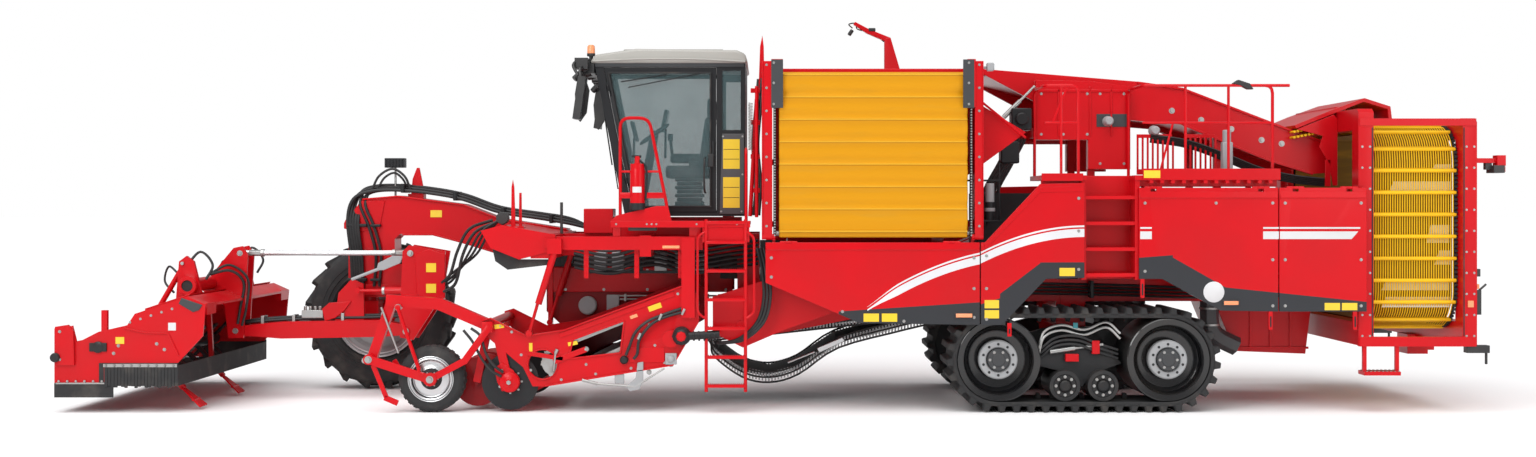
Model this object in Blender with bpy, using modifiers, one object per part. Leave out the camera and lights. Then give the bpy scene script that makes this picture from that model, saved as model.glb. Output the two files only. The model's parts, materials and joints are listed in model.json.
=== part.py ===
"""Self-propelled two-row potato harvester, as separate sub-parts in one Blender scene.

Metres, +Z up. The machine travels towards -X and its left side faces -Y. The origin lies
on the ground under the middle of the machine's box. Each object is one closed solid, and
the origin of a moving one lies on its joint's axis.
"""

import bmesh
import bpy
from math import cos, hypot, pi, radians, sin
from mathutils import Matrix, Vector

# Fits
TOUCH = 0.0003
SEAM = 0.012
SINK = 0.01
LEFT = -1
RIGHT = 1

# Whole machine
REAR_X = 7.59
BODY_HALF_WIDTH = 1.56

# Main frame
BEAM_Y = 0.62
BEAM_WIDTH = 0.12
BEAM_LOW = 1.12
BEAM_HIGH = 1.36
CROSS_LOW = 1.13
BEAM_FRONT_X = -2.60
BEAM_REAR_X = 6.0597

# Steered front wheel
WHEEL_X = -4.71
WHEEL_Y = 1.05
WHEEL_Z = 0.875
WHEEL_RADIUS = 0.825
WHEEL_WIDTH = 0.60
LUG_HEIGHT = 0.036
RIM_RADIUS = 0.50
KINGPIN_Y = 0.42
LEG_LOW = 1.12

# Rubber tracks
TRACK_INNER_Y = 0.76
TRACK_WIDTH = 0.72
TRACK_FRONT_X = 2.30
TRACK_REAR_X = 4.08
BELT_THICKNESS = 0.045
BELT_LUG = 0.062
DRIVE_RADIUS = 0.44
ROLLER_RADIUS = 0.162

# Side panels
PANEL_THICKNESS = 0.03
PANEL_TOP = 1.78
PANEL_LOW = 0.92
REAR_PANEL_TOP = 2.35
REAR_PANEL_LOW = 1.06

# Cab
CAB_HALF_WIDTH = 0.89
CAB_WALL = 0.045
CAB_FLOOR = 2.05
CAB_EAVES = 3.70
CAB_ROOF_HEIGHT = 0.14
CAB_REAR_X = -0.36
PILLAR_B_X = -0.67
PILLAR_A_LOW_X = -1.66
PILLAR_A_HIGH_X = -1.99
DOOR_LOW = 2.09
DOOR_HIGH = 3.66

# Bunker and its discharge conveyor
BUNKER_FRONT_X = -0.02
BUNKER_REAR_X = 1.99
BUNKER_LOW = 1.82
BUNKER_HIGH = 3.60
BUNKER_WALL = 0.04
CONVEYOR_LOW = 1.81
CONVEYOR_HIGH = 3.67
CONVEYOR_OUTER_Y = -1.56
CONVEYOR_INNER_Y = -1.29
CONVEYOR_PIVOT_Y = -1.52
CONVEYOR_PIVOT_Z = 1.84
POCKET_PITCH = 0.234

# Rear ring elevator
RING_FRONT_X = 6.22
RING_REAR_X = 7.15
RING_LOW = 0.84
RING_HIGH = 3.04
ELEVATOR_HALF_WIDTH = 1.48

# Topper linkage: a parallelogram of a lower arm and an upper tube
ARM_REAR_X = -4.16
ARM_Z = 0.76
ARM_LENGTH = 1.92
LINK_RISE = 0.87
LINK_STEP_X = 0.05
TOPPER_NEAR_Y = -1.50
TOPPER_FAR_Y = 1.66
TOPPER_X = ARM_REAR_X - ARM_LENGTH
HOOD_NOSE_X = TOPPER_X - 1.49
ROTOR_X = TOPPER_X - 0.82
ROTOR_Z = 0.55
ROTOR_RADIUS = 0.29

# Digging unit
DIG_NEAR_Y = -1.45
DIG_FAR_Y = 0.19
DIG_PIVOT_X = -0.95
DIG_PIVOT_Z = 1.06
DEPTH_WHEEL_X = -3.64
DEPTH_WHEEL_RADIUS = 0.35
DISC_X = -2.82
DISC_RADIUS = 0.30
DIABOLO_X = -3.19
DIABOLO_Z = 0.30

# Name: colour, roughness, metallic
FINISHES = {
    "red_paint": ((0.62, 0.012, 0.018, 1.0), 0.32, 0.0),
    "deep_red_paint": ((0.40, 0.008, 0.012, 1.0), 0.40, 0.0),
    "black_paint": ((0.025, 0.026, 0.028, 1.0), 0.42, 0.0),
    "grey_paint": ((0.07, 0.075, 0.08, 1.0), 0.45, 0.0),
    "silver_paint": ((0.55, 0.56, 0.57, 1.0), 0.35, 0.6),
    "bare_steel": ((0.48, 0.48, 0.47, 1.0), 0.40, 1.0),
    "black_rubber": ((0.022, 0.022, 0.022, 1.0), 0.75, 0.0),
    "yellow_belt": ((0.80, 0.45, 0.02, 1.0), 0.50, 0.0),
    "yellow_web": ((0.72, 0.46, 0.04, 1.0), 0.45, 0.0),
    "roof_white": ((0.62, 0.61, 0.57, 1.0), 0.38, 0.0),
    "cab_glass": ((0.16, 0.25, 0.25, 1.0), 0.06, 0.0),
    "seat_cloth": ((0.05, 0.05, 0.055, 1.0), 0.85, 0.0),
    "grey_plastic": ((0.10, 0.10, 0.105, 1.0), 0.55, 0.0),
}

PARTS_COLLECTION = "potato_harvester"
CUTTERS_COLLECTION = "cutters"


# Scene and materials


def clear_scene():
    """Remove every object and make the two collections."""
    for old in list(bpy.data.objects):
        bpy.data.objects.remove(old, do_unlink=True)
    for name in (PARTS_COLLECTION, CUTTERS_COLLECTION):
        collection = bpy.data.collections.new(name)
        bpy.context.scene.collection.children.link(collection)
    bpy.data.collections[CUTTERS_COLLECTION].hide_render = True


def finish(name):
    """The Principled material of a finish, made when first asked for."""
    known = bpy.data.materials.get(name)
    if known:
        return known
    colour, roughness, metallic = FINISHES[name]
    made = bpy.data.materials.new(name)
    made.use_nodes = True
    made.diffuse_color = colour
    shader = made.node_tree.nodes["Principled BSDF"]
    shader.inputs["Base Color"].default_value = colour
    shader.inputs["Roughness"].default_value = roughness
    shader.inputs["Metallic"].default_value = metallic
    return made


# Simple solids, all in world coordinates


def solid_from(bm, name="shape"):
    """An object in the cutters' collection that holds the bmesh."""
    bmesh.ops.recalc_face_normals(bm, faces=bm.faces)
    mesh = bpy.data.meshes.new(name)
    bm.to_mesh(mesh)
    bm.free()
    made = bpy.data.objects.new(name, mesh)
    bpy.data.collections[CUTTERS_COLLECTION].objects.link(made)
    made.display_type = "WIRE"
    made.hide_render = True
    return made


def box(x, y, z, turn=None):
    """A box over three (low, high) spans; turn is (axis letter, degrees) about its centre."""
    spans = (sorted(x), sorted(y), sorted(z))
    centre = Vector([(low + high) / 2 for low, high in spans])
    size = [high - low for low, high in spans]
    bm = bmesh.new()
    bmesh.ops.create_cube(bm, size=1.0, matrix=Matrix.Diagonal((*size, 1.0)))
    spin = Matrix.Rotation(radians(turn[1]), 4, turn[0]) if turn else Matrix.Identity(4)
    bmesh.ops.transform(bm, matrix=Matrix.Translation(centre) @ spin, verts=bm.verts)
    return solid_from(bm)


def along(start, end):
    """The matrix that stands +Z at the middle of start-end, pointing at end."""
    start, end = Vector(start), Vector(end)
    turn = (end - start).to_track_quat("Z", "Y").to_matrix().to_4x4()
    return Matrix.Translation((start + end) / 2) @ turn


def rod(start, end, radius, sides=12, end_radius=None):
    """A cylinder, or a cone, from start to end."""
    depth = (Vector(end) - Vector(start)).length
    top = radius if end_radius is None else end_radius
    bm = bmesh.new()
    bmesh.ops.create_cone(
        bm,
        cap_ends=True,
        segments=sides,
        radius1=radius,
        radius2=top,
        depth=depth,
        matrix=along(start, end),
    )
    return solid_from(bm)


def bar(start, end, width, height):
    """A straight rectangular bar from start to end; height lies in the XZ plane."""
    reach = Vector(end) - Vector(start)
    across = Vector((0, 1, 0)) if abs(reach.normalized().y) < 0.9 else Vector((1, 0, 0))
    ahead = reach.normalized()
    up = ahead.cross(across).normalized()
    across = up.cross(ahead)
    turn = Matrix((across, up, ahead)).transposed().to_4x4()
    middle = (Vector(start) + Vector(end)) / 2
    size = Matrix.Diagonal((width, height, reach.length, 1.0))
    bm = bmesh.new()
    bmesh.ops.create_cube(bm, size=1.0, matrix=Matrix.Translation(middle) @ turn @ size)
    return solid_from(bm)


def mesh_of(curve_object, flat_sides=True):
    """Turn a curve object into a mesh object with welded caps, and remove the curve."""
    graph = bpy.context.evaluated_depsgraph_get()
    mesh = bpy.data.meshes.new_from_object(curve_object.evaluated_get(graph))
    mesh.transform(curve_object.matrix_world)
    bpy.data.objects.remove(curve_object, do_unlink=True)
    bm = bmesh.new()
    bm.from_mesh(mesh)
    bpy.data.meshes.remove(mesh)
    bmesh.ops.remove_doubles(bm, verts=bm.verts, dist=0.00002)
    if flat_sides:
        bmesh.ops.dissolve_limit(
            bm, angle_limit=radians(0.1), verts=bm.verts, edges=bm.edges, use_dissolve_boundaries=False
        )
    return solid_from(bm)


def curve_object(lines, dimensions, cyclic):
    """A curve object with one POLY spline through the points of each line."""
    curve = bpy.data.curves.new("outline", "CURVE")
    curve.dimensions = dimensions
    for points in lines:
        line = curve.splines.new("POLY")
        line.points.add(len(points) - 1)
        for place, point in zip(line.points, points):
            place.co = (*point, 0.0)[:3] + (1.0,) if len(point) == 2 else (*point, 1.0)
        line.use_cyclic_u = cyclic
    made = bpy.data.objects.new("outline", curve)
    bpy.data.collections[CUTTERS_COLLECTION].objects.link(made)
    return made


# How an outline's own axes stand in the world, per plane
PLANES = {
    "XZ": Matrix(((1, 0, 0, 0), (0, 0, -1, 0), (0, 1, 0, 0), (0, 0, 0, 1))),
    "YZ": Matrix(((0, 0, 1, 0), (1, 0, 0, 0), (0, 1, 0, 0), (0, 0, 0, 1))),
    "XY": Matrix.Identity(4),
}
PLANE_NORMALS = {"XZ": Vector((0, 1, 0)), "YZ": Vector((1, 0, 0)), "XY": Vector((0, 0, 1))}


def plate(outline, span, plane="XZ", holes=()):
    """A flat outline, less its holes, extruded over the (low, high) span across its plane."""
    low, high = sorted(span)
    flat = curve_object((outline, *holes), "2D", True)
    flat.data.fill_mode = "BOTH"
    flat.data.extrude = (high - low) / 2
    flat.matrix_world = Matrix.Translation(PLANE_NORMALS[plane] * (low + high) / 2) @ PLANES[plane]
    bpy.context.view_layer.update()
    return mesh_of(flat, flat_sides=not holes)


def rail(points, radius, cyclic=False, roundness=1):
    """A round tube through the points; roundness is the curve's bevel resolution."""
    line = curve_object((points,), "3D", cyclic)
    line.data.bevel_depth = radius
    line.data.bevel_resolution = roundness
    line.data.use_fill_caps = True
    bpy.context.view_layer.update()
    return mesh_of(line)


def turned(profile, centre, steps=32):
    """A profile of (radius, place) rows turned about a Y axis through centre.

    The rows run from the left face to the right one, outside of the solid, and both ends
    lie on the axis, or the profile is closed.
    """
    bm = bmesh.new()
    ring = [bm.verts.new((max(radius, 0.0), place, 0.0)) for radius, place in profile]
    for first, second in zip(ring, ring[1:]):
        bm.edges.new((first, second))
    if profile[0][0] > 0.0:
        bm.edges.new((ring[-1], ring[0]))
    mesh = bpy.data.meshes.new("profile")
    bm.to_mesh(mesh)
    bm.free()
    shape = bpy.data.objects.new("profile", mesh)
    bpy.data.collections[CUTTERS_COLLECTION].objects.link(shape)
    screw = shape.modifiers.new("turn", "SCREW")
    screw.axis = "Y"
    screw.steps = steps
    screw.render_steps = steps
    screw.use_merge_vertices = True
    screw.merge_threshold = 0.00005
    shape.matrix_world = Matrix.Translation(centre)
    bpy.context.view_layer.update()
    return mesh_of(shape)


def smooth(points, radius, sides=4):
    """The points with each inner corner rounded by a short arc of the radius."""
    points = [Vector(point) for point in points]
    rounded = [points[0]]
    for before, corner, after in zip(points, points[1:], points[2:]):
        reach = min(radius, (corner - before).length * 0.45, (after - corner).length * 0.45)
        start = corner + (before - corner).normalized() * reach
        end = corner + (after - corner).normalized() * reach
        for step in range(sides + 1):
            share = step / sides
            rounded.append(
                start * (1 - share) ** 2 + corner * 2 * share * (1 - share) + end * share**2
            )
    rounded.append(points[-1])
    return [tuple(point) for point in rounded]


# Joining and cutting


def combine(base, others, operation):
    """Unite the others with base, or cut them from it, and remove them."""
    if not others:
        return
    group = bpy.data.collections.new("operands")
    for other in others:
        group.objects.link(other)
    step = base.modifiers.new("combine", "BOOLEAN")
    step.operand_type = "COLLECTION"
    step.collection = group
    step.operation = operation
    step.solver = "EXACT"
    bpy.context.view_layer.update()
    graph = bpy.context.evaluated_depsgraph_get()
    result = bpy.data.meshes.new_from_object(base.evaluated_get(graph))
    base.modifiers.clear()
    base.data = result
    for other in others:
        bpy.data.objects.remove(other, do_unlink=True)
    bpy.data.collections.remove(group)


def part(name, look, solids, cuts=(), pivot=(0.0, 0.0, 0.0), smooth_angle=35.0):
    """One sub-part: the solids united, less the cuts, its origin on pivot."""
    base = solids[0]
    combine(base, list(solids[1:]), "UNION")
    combine(base, list(cuts), "DIFFERENCE")
    bm = bmesh.new()
    bm.from_mesh(base.data)
    bmesh.ops.remove_doubles(bm, verts=bm.verts, dist=0.00001)
    mesh = bpy.data.meshes.new(name)
    bm.to_mesh(mesh)
    bm.free()
    mesh.transform(Matrix.Translation(-Vector(pivot)))
    mesh.materials.clear()
    mesh.materials.append(finish(look))
    mesh.shade_smooth()
    mesh.set_sharp_from_angle(angle=radians(smooth_angle))
    bpy.data.objects.remove(base, do_unlink=True)
    made = bpy.data.objects.new(name, mesh)
    made.location = pivot
    bpy.data.collections[PARTS_COLLECTION].objects.link(made)
    return made


def side_name(side):
    """The word for a side of the machine."""
    return "left" if side == LEFT else "right"


def mirrored(span, side):
    """A (low, high) span of distances from the middle plane, on the given side."""
    return tuple(sorted(side * value for value in span))


# Main frame


def gooseneck():
    """The arch over the front wheel, with the leg that holds the kingpin."""
    leg_front, leg_rear = WHEEL_X - 0.21, WHEEL_X + 0.32
    outline = (
        (leg_front, LEG_LOW),
        (leg_front, 2.04),
        (leg_front + 0.16, 2.23),
        (-4.35, 2.26),
        (-3.60, 2.16),
        (-3.19, 2.00),
        (-2.40, 1.88),
        (-2.40, 1.60),
        (-3.12, 1.60),
        (-3.61, 1.75),
        (-3.95, 1.84),
        (leg_rear + 0.06, 1.84),
        (leg_rear, 1.78),
        (leg_rear, LEG_LOW),
    )
    return [plate(outline, (KINGPIN_Y - 0.18, KINGPIN_Y + 0.18))]


def linkage_bracket():
    """Two plates on the leg that carry the topper's arm and upper tube."""
    link_x, link_z = ARM_REAR_X + LINK_STEP_X, ARM_Z + LINK_RISE
    outline = (
        (ARM_REAR_X - 0.07, ARM_Z + 0.10),
        (ARM_REAR_X - 0.07, ARM_Z - 0.07),
        (ARM_REAR_X + 0.08, ARM_Z - 0.10),
        (ARM_REAR_X + 0.34, ARM_Z + 0.30),
        (ARM_REAR_X + 0.44, link_z + 0.02),
        (link_x - 0.02, link_z + 0.09),
        (link_x - 0.09, link_z + 0.02),
    )
    solids = [plate(outline, span) for span in ((-0.24, -0.21), (0.06, 0.09))]
    solids.append(box((ARM_REAR_X + 0.12, ARM_REAR_X + 0.26), (-0.23, 0.26), (1.20, 1.50)))
    solids.append(box((WHEEL_X + 0.28, ARM_REAR_X + 0.26), (0.07, 0.28), (1.20, 1.50)))
    solids.append(rod((ARM_REAR_X, -0.26, ARM_Z), (ARM_REAR_X, -0.20, ARM_Z), 0.045))
    solids.append(rod((link_x, -0.26, link_z), (link_x, -0.20, link_z), 0.035))
    return solids


def topper_cylinder():
    """The topper's lift cylinder, held by the bracket and free at its rod's eye."""
    z = 1.21
    x = ARM_REAR_X + 0.14
    return [
        rod((x, -0.17, z), (x - 0.40, -0.17, z), 0.042),
        rod((x - 0.39, -0.17, z), (x - 0.68, -0.17, z), 0.018),
        rod((x - 0.70, -0.19, z), (x - 0.70, -0.15, z), 0.035),
        box((x - 0.06, x + 0.10), (-0.225, -0.12), (z - 0.04, z + 0.04)),
    ]


def frame_beams():
    """The two long beams, high at the front over the digging unit and low behind it."""
    solids = []
    for side in (LEFT, RIGHT):
        y = mirrored((BEAM_Y - BEAM_WIDTH / 2, BEAM_Y + BEAM_WIDTH / 2), side)
        solids.append(box((-0.44, BEAM_REAR_X), y, (BEAM_LOW, BEAM_HIGH)))
        solids.append(box((BEAM_FRONT_X, -0.22), y, (1.62, 1.86)))
        solids.append(box((-0.45, -0.21), y, (BEAM_LOW, 1.86)))
    return solids


# Cross members: front x, rear x, low z, high z, left y, right y
CROSS_MEMBERS = (
    (-2.60, -2.36, 1.61, 1.87, -1.46, 0.69),
    (-1.46, -1.34, 1.63, 1.85, -1.46, 0.60),
    (-0.42, -0.24, CROSS_LOW, 1.35, -0.60, 0.60),
    (0.10, 0.24, CROSS_LOW, BUNKER_LOW - TOUCH, -0.60, 0.60),
    (0.86, 1.00, CROSS_LOW, 1.35, -0.60, 0.60),
    (1.80, 1.94, CROSS_LOW, BUNKER_LOW - TOUCH, -0.69, 0.69),
    (3.08, 3.30, 1.00, 1.35, -0.69, 0.69),
    (4.52, 4.66, CROSS_LOW, 1.35, -0.69, 0.69),
    (5.92, BEAM_REAR_X, CROSS_LOW, 1.35, -BODY_HALF_WIDTH + 0.12, BODY_HALF_WIDTH - 0.12),
)


# Front and rear ends of each panel along X
PANEL_ENDS = {
    "a": (-0.14, 2.09),
    "b": (2.09 + SEAM, 3.18),
    "c": (3.75, 5.21 - SEAM),
    "d": (5.21, 6.12),
}
# Distance of each panel's two hinge tabs, or fixed carriers, in from its front and rear ends
PANEL_TABS = {"a": (0.24, 0.29), "b": (0.198, 0.18), "c": (0.15, 0.178), "d": (0.17, 0.18)}
HINGED_PANELS = {"a": PANEL_TOP, "c": REAR_PANEL_TOP, "d": REAR_PANEL_TOP}
HINGE_RADIUS = 0.015
TAB_WIDTH = 0.06
HINGE_Y = BODY_HALF_WIDTH - PANEL_THICKNESS / 2


def tab_places(letter):
    """Places along X of a panel's two hinge tabs, or of its carriers."""
    front, rear = PANEL_ENDS[letter]
    return (front + PANEL_TABS[letter][0], rear - PANEL_TABS[letter][1])


def panel_carriers():
    """Outriggers on both sides, with the hinge tabs that the side panels turn on."""
    solids = []
    for side in (LEFT, RIGHT):
        stand = mirrored((BEAM_Y - 0.05, BEAM_Y + 0.05), side)
        for letter in PANEL_TABS:
            top = HINGED_PANELS.get(letter, PANEL_TOP)
            behind = 0.06 if letter in HINGED_PANELS else PANEL_THICKNESS + TOUCH
            reach = BODY_HALF_WIDTH - behind
            for x in tab_places(letter):
                span = (x - TAB_WIDTH / 2, x + TAB_WIDTH / 2)
                arm = mirrored((BEAM_Y, reach), side)
                solids.append(box(span, arm, (top - 0.22, top - 0.12)))
                solids.append(box((x - 0.04, x + 0.04), stand, (BEAM_HIGH - SINK, top - 0.13)))
                if letter not in HINGED_PANELS:
                    continue
                solids.append(
                    box(span, mirrored((reach - 0.05, reach - 0.005), side), (top - 0.21, top + 0.01)),
                )
                solids.append(box(span, mirrored((reach - 0.04, HINGE_Y), side), (top - 0.012, top + 0.009)))
                ends = [(place, side * HINGE_Y, top) for place in span]
                solids.append(rod(*ends, HINGE_RADIUS, sides=12))
    return solids


def track_axle():
    """The cross beam that both bogies swing on."""
    x = (TRACK_FRONT_X + TRACK_REAR_X) / 2
    return [
        box((x - 0.13, x + 0.13), (-0.70, 0.70), (0.62, 0.84)),
        box((x - 0.10, x + 0.10), (-0.35, 0.35), (0.80, 1.10)),
        box((x - 0.16, x + 0.16), (-0.68, -0.56), (0.80, 1.14)),
        box((x - 0.16, x + 0.16), (0.56, 0.68), (0.80, 1.14)),
    ]


def intake_hood():
    """The sloping cover over the mouth of the sieving web, and its near beam."""
    outline = (
        (-3.12, 1.90),
        (-3.02, 1.72),
        (-2.72, 1.60),
        (-2.34, 1.70),
        (-2.34, 1.86),
        (-2.90, 1.96),
    )
    return [
        plate(outline, (-1.48, 0.30)),
        box((BEAM_FRONT_X + 0.02, -0.80), (-1.46, -1.36), (1.70, 1.84)),
        box((-0.92, -0.80), (-1.45, -0.60), (1.70, 1.84)),
    ]


LIFT_TOP = (-2.33, 1.73)
LIFT_EYE = (-2.61, 0.83)


def lift_cylinders():
    """Two cylinders outboard of the digging unit, free at their rods' eyes."""
    solids = []
    share = 0.66
    overlap = 0.03
    middle = [top + (low - top) * share for top, low in zip(LIFT_TOP, LIFT_EYE)]
    for inner, outer in ((DIG_NEAR_Y - TOUCH, DIG_NEAR_Y - 0.09), (DIG_FAR_Y + TOUCH, DIG_FAR_Y + 0.09)):
        y = (inner + outer) / 2
        top = (LIFT_TOP[0], y, LIFT_TOP[1])
        joint = (middle[0], y, middle[1])
        eye = (LIFT_EYE[0], y, LIFT_EYE[1])
        solids.append(rod(top, joint, 0.036, sides=12))
        solids.append(rod((joint[0], y, joint[2] + overlap), eye, 0.017, sides=8))
        solids.append(rod((eye[0], inner, eye[2]), (eye[0], outer, eye[2]), 0.034, sides=12))
        solids.append(box((top[0] - 0.09, top[0] + 0.06), (inner, outer), (1.66, 1.82)))
    solids.append(box((-2.45, LIFT_TOP[0] + 0.06), (DIG_NEAR_Y - 0.06, DIG_NEAR_Y + 0.10), (1.72, 1.82)))
    return solids


def digging_hangers():
    """Ears under the front beams that the digging unit swings on, outboard of its sides."""
    x = (DIG_PIVOT_X - 0.07, DIG_PIVOT_X + 0.07)
    near = DIG_NEAR_Y - TOUCH
    far = DIG_FAR_Y + TOUCH
    return [
        box(x, (near - 0.045, near), (DIG_PIVOT_Z - 0.07, 1.83)),
        box(x, (near - 0.044, near + 0.04), (1.71, 1.83)),
        box(x, (far, far + 0.045), (DIG_PIVOT_Z - 0.07, 1.74)),
        box((-1.42, x[1]), (far + 0.001, far + 0.06), (1.64, 1.75)),
    ]


def main_frame():
    """The welded frame: beams, cross members, gooseneck, axle and brackets."""
    solids = frame_beams()
    for x0, x1, z0, z1, y0, y1 in CROSS_MEMBERS:
        solids.append(box((x0, x1), (y0, y1), (z0, z1)))
    solids += gooseneck() + linkage_bracket() + topper_cylinder()
    solids += panel_carriers() + track_axle() + intake_hood() + lift_cylinders()
    solids += digging_hangers() + conveyor_brackets()
    for side in (LEFT, RIGHT):
        for x in (-1.40, -0.56):
            y = mirrored((BEAM_Y - 0.05, BEAM_Y + 0.05), side)
            solids.append(box((x - 0.05, x + 0.05), y, (1.80, CAB_FLOOR - TOUCH)))
    solids.append(box((-1.90, -0.40), (-BEAM_Y - 0.04, -BEAM_Y), (1.84, CAB_FLOOR - 0.01)))
    return part("main_frame", "red_paint", solids)


def engine():
    """The engine as one plain block on the beams."""
    size_x, size_y, size_z = 1.10, 0.90, 0.95
    front, low = 2.20, BEAM_HIGH - 0.01 + TOUCH
    y = (-0.52, -0.52 + size_y)
    return part("engine_block", "grey_paint", [box((front, front + size_x), y, (low, low + size_z))])


# Side panels


# Outline of each panel in the XZ plane, by its name's letter
PANEL_OUTLINES = {
    "a": (
        (PANEL_ENDS["a"][0], PANEL_TOP),
        (PANEL_ENDS["a"][1], PANEL_TOP),
        (PANEL_ENDS["a"][1], PANEL_LOW),
        (0.84, PANEL_LOW + 0.02),
        (PANEL_ENDS["a"][0], 1.36),
    ),
    "b": (
        (PANEL_ENDS["b"][0], PANEL_TOP),
        (2.145, PANEL_TOP),
        (2.72, REAR_PANEL_TOP + 0.04),
        (PANEL_ENDS["b"][1], REAR_PANEL_TOP + 0.05),
        (PANEL_ENDS["b"][1], 1.41),
        (2.78, 1.40),
        (2.32, PANEL_LOW),
        (PANEL_ENDS["b"][0], PANEL_LOW),
    ),
    "c": (
        (PANEL_ENDS["c"][0], REAR_PANEL_TOP),
        (PANEL_ENDS["c"][1], REAR_PANEL_TOP),
        (PANEL_ENDS["c"][1], REAR_PANEL_LOW),
        (4.60, REAR_PANEL_LOW + 0.01),
        (3.99, 1.40),
        (PANEL_ENDS["c"][0], 1.40),
    ),
    "d": (
        (PANEL_ENDS["d"][0], REAR_PANEL_TOP),
        (PANEL_ENDS["d"][1], REAR_PANEL_TOP),
        (PANEL_ENDS["d"][1], REAR_PANEL_LOW),
        (PANEL_ENDS["d"][0], REAR_PANEL_LOW),
    ),
}


def side_panel(letter, side):
    """A side panel; the hinged ones turn about the middle of their top edge."""
    outer = BODY_HALF_WIDTH
    skin = mirrored((outer - PANEL_THICKNESS, outer), side)
    solids = [plate(PANEL_OUTLINES[letter], skin)]
    if letter not in HINGED_PANELS:
        return part(f"side_panel_{letter}_{side_name(side)}", "red_paint", solids)
    top = HINGED_PANELS[letter]
    cuts = []
    for x in tab_places(letter):
        span = (x - TAB_WIDTH / 2 - TOUCH, x + TAB_WIDTH / 2 + TOUCH)
        cuts.append(box(span, mirrored((outer - 0.10, outer + 0.10), side), (top - 0.05, top + 0.10)))
        for start in (span[0] - TAB_WIDTH, span[1]):
            ends = [(place, side * HINGE_Y, top) for place in (start, start + TAB_WIDTH)]
            solids.append(rod(*ends, HINGE_RADIUS, sides=12))
    pivot = (0.0, side * HINGE_Y, top)
    return part(f"side_panel_{letter}_{side_name(side)}", "red_paint", solids, cuts, pivot=pivot)


def side_panels():
    """All side panels."""
    for side in (LEFT, RIGHT):
        for letter in PANEL_OUTLINES:
            side_panel(letter, side)


# Cab


CAB_RAKE = (PILLAR_A_HIGH_X - PILLAR_A_LOW_X) / (CAB_EAVES - CAB_FLOOR)
DOOR_GAP = 0.006
DOOR_FRAME = 0.055
PILLAR_WIDTH = 0.09
GLASS_THICKNESS = 0.008


def cab_front(z):
    """The place of the raked front wall's outer face at a height."""
    return PILLAR_A_LOW_X + (z - CAB_FLOOR) * CAB_RAKE


def door_outline(inset):
    """The outline of the door opening, made smaller all round by the inset."""
    low, high = DOOR_LOW + inset, DOOR_HIGH - inset
    lead = PILLAR_WIDTH + inset * hypot(1.0, CAB_RAKE)
    rear = PILLAR_B_X - inset
    return ((cab_front(low) + lead, low), (rear, low), (rear, high), (cab_front(high) + lead, high))


def quarter_outline(inset):
    """The outline of a rear quarter window."""
    front, rear = PILLAR_B_X + 0.06 + inset, CAB_REAR_X - 0.05 - inset
    return ((front, 2.98 + inset), (rear, 2.98 + inset), (rear, 3.62 - inset), (front, 3.62 - inset))


def raked_slab(low, high, depth, thickness):
    """The outline of a slab that lies in the raked front wall, depth behind its face."""
    rows = ((low, depth), (low, depth + thickness), (high, depth + thickness), (high, depth))
    return tuple((cab_front(z) + back, z) for z, back in rows)


def door_hinges():
    """Start, middle and end of each hinge barrel; the cab has the first half, the door the second."""
    barrels = []
    for z in (2.34, 3.34):
        lead = PILLAR_WIDTH + DOOR_GAP
        rows = [(cab_front(z + step) + lead, -CAB_HALF_WIDTH, z + step) for step in (0, 0.06, 0.12)]
        barrels.append(rows)
    return barrels


def cab_shell():
    """The hollow cab: floor, pillars, walls and window openings."""
    wide = (-CAB_HALF_WIDTH, CAB_HALF_WIDTH)
    inside = (-CAB_HALF_WIDTH + CAB_WALL, CAB_HALF_WIDTH - CAB_WALL)
    outer = plate(
        (
            (cab_front(CAB_FLOOR), CAB_FLOOR),
            (CAB_REAR_X, CAB_FLOOR),
            (CAB_REAR_X, CAB_EAVES),
            (cab_front(CAB_EAVES), CAB_EAVES),
        ),
        wide,
    )
    low, high = CAB_FLOOR + 0.06, CAB_EAVES + 0.10
    hollow = plate(
        (
            (cab_front(low) + CAB_WALL, low),
            (CAB_REAR_X - CAB_WALL, low),
            (CAB_REAR_X - CAB_WALL, high),
            (cab_front(high) + CAB_WALL, high),
        ),
        inside,
    )
    cuts = [
        hollow,
        plate(raked_slab(2.22, 3.62, -0.10, 0.30), (-0.80, 0.80)),
        plate(door_outline(0.0), (-1.0, -0.80)),
        plate(door_outline(0.0), (0.80, 1.0)),
        plate(quarter_outline(0.0), (-1.0, -0.80)),
        plate(quarter_outline(0.0), (0.80, 1.0)),
    ]
    solids = [outer]
    for start, middle, end in door_hinges():
        solids.append(rod(start, middle, 0.014, sides=10))
        cuts.append(rod(Vector(middle) + Vector((0, 0, 0.0001)), end, 0.021, sides=10))
    combine(solids[0], solids[1:], "UNION")
    return part("cab_shell", "black_paint", solids[:1], cuts)


def cab_windows():
    """The windscreen and the fixed side windows, each seated in its opening."""
    y = 0.80 - TOUCH
    part("windscreen", "cab_glass", [plate(raked_slab(2.2203, 3.6197, 0.015, GLASS_THICKNESS), (-y, y))])
    outer = CAB_HALF_WIDTH - 0.012
    span = (outer - GLASS_THICKNESS, outer)
    part("window_right", "cab_glass", [plate(door_outline(TOUCH), span)])
    for side in (LEFT, RIGHT):
        name = f"quarter_window_{side_name(side)}"
        part(name, "cab_glass", [plate(quarter_outline(TOUCH), mirrored(span, side))])


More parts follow.
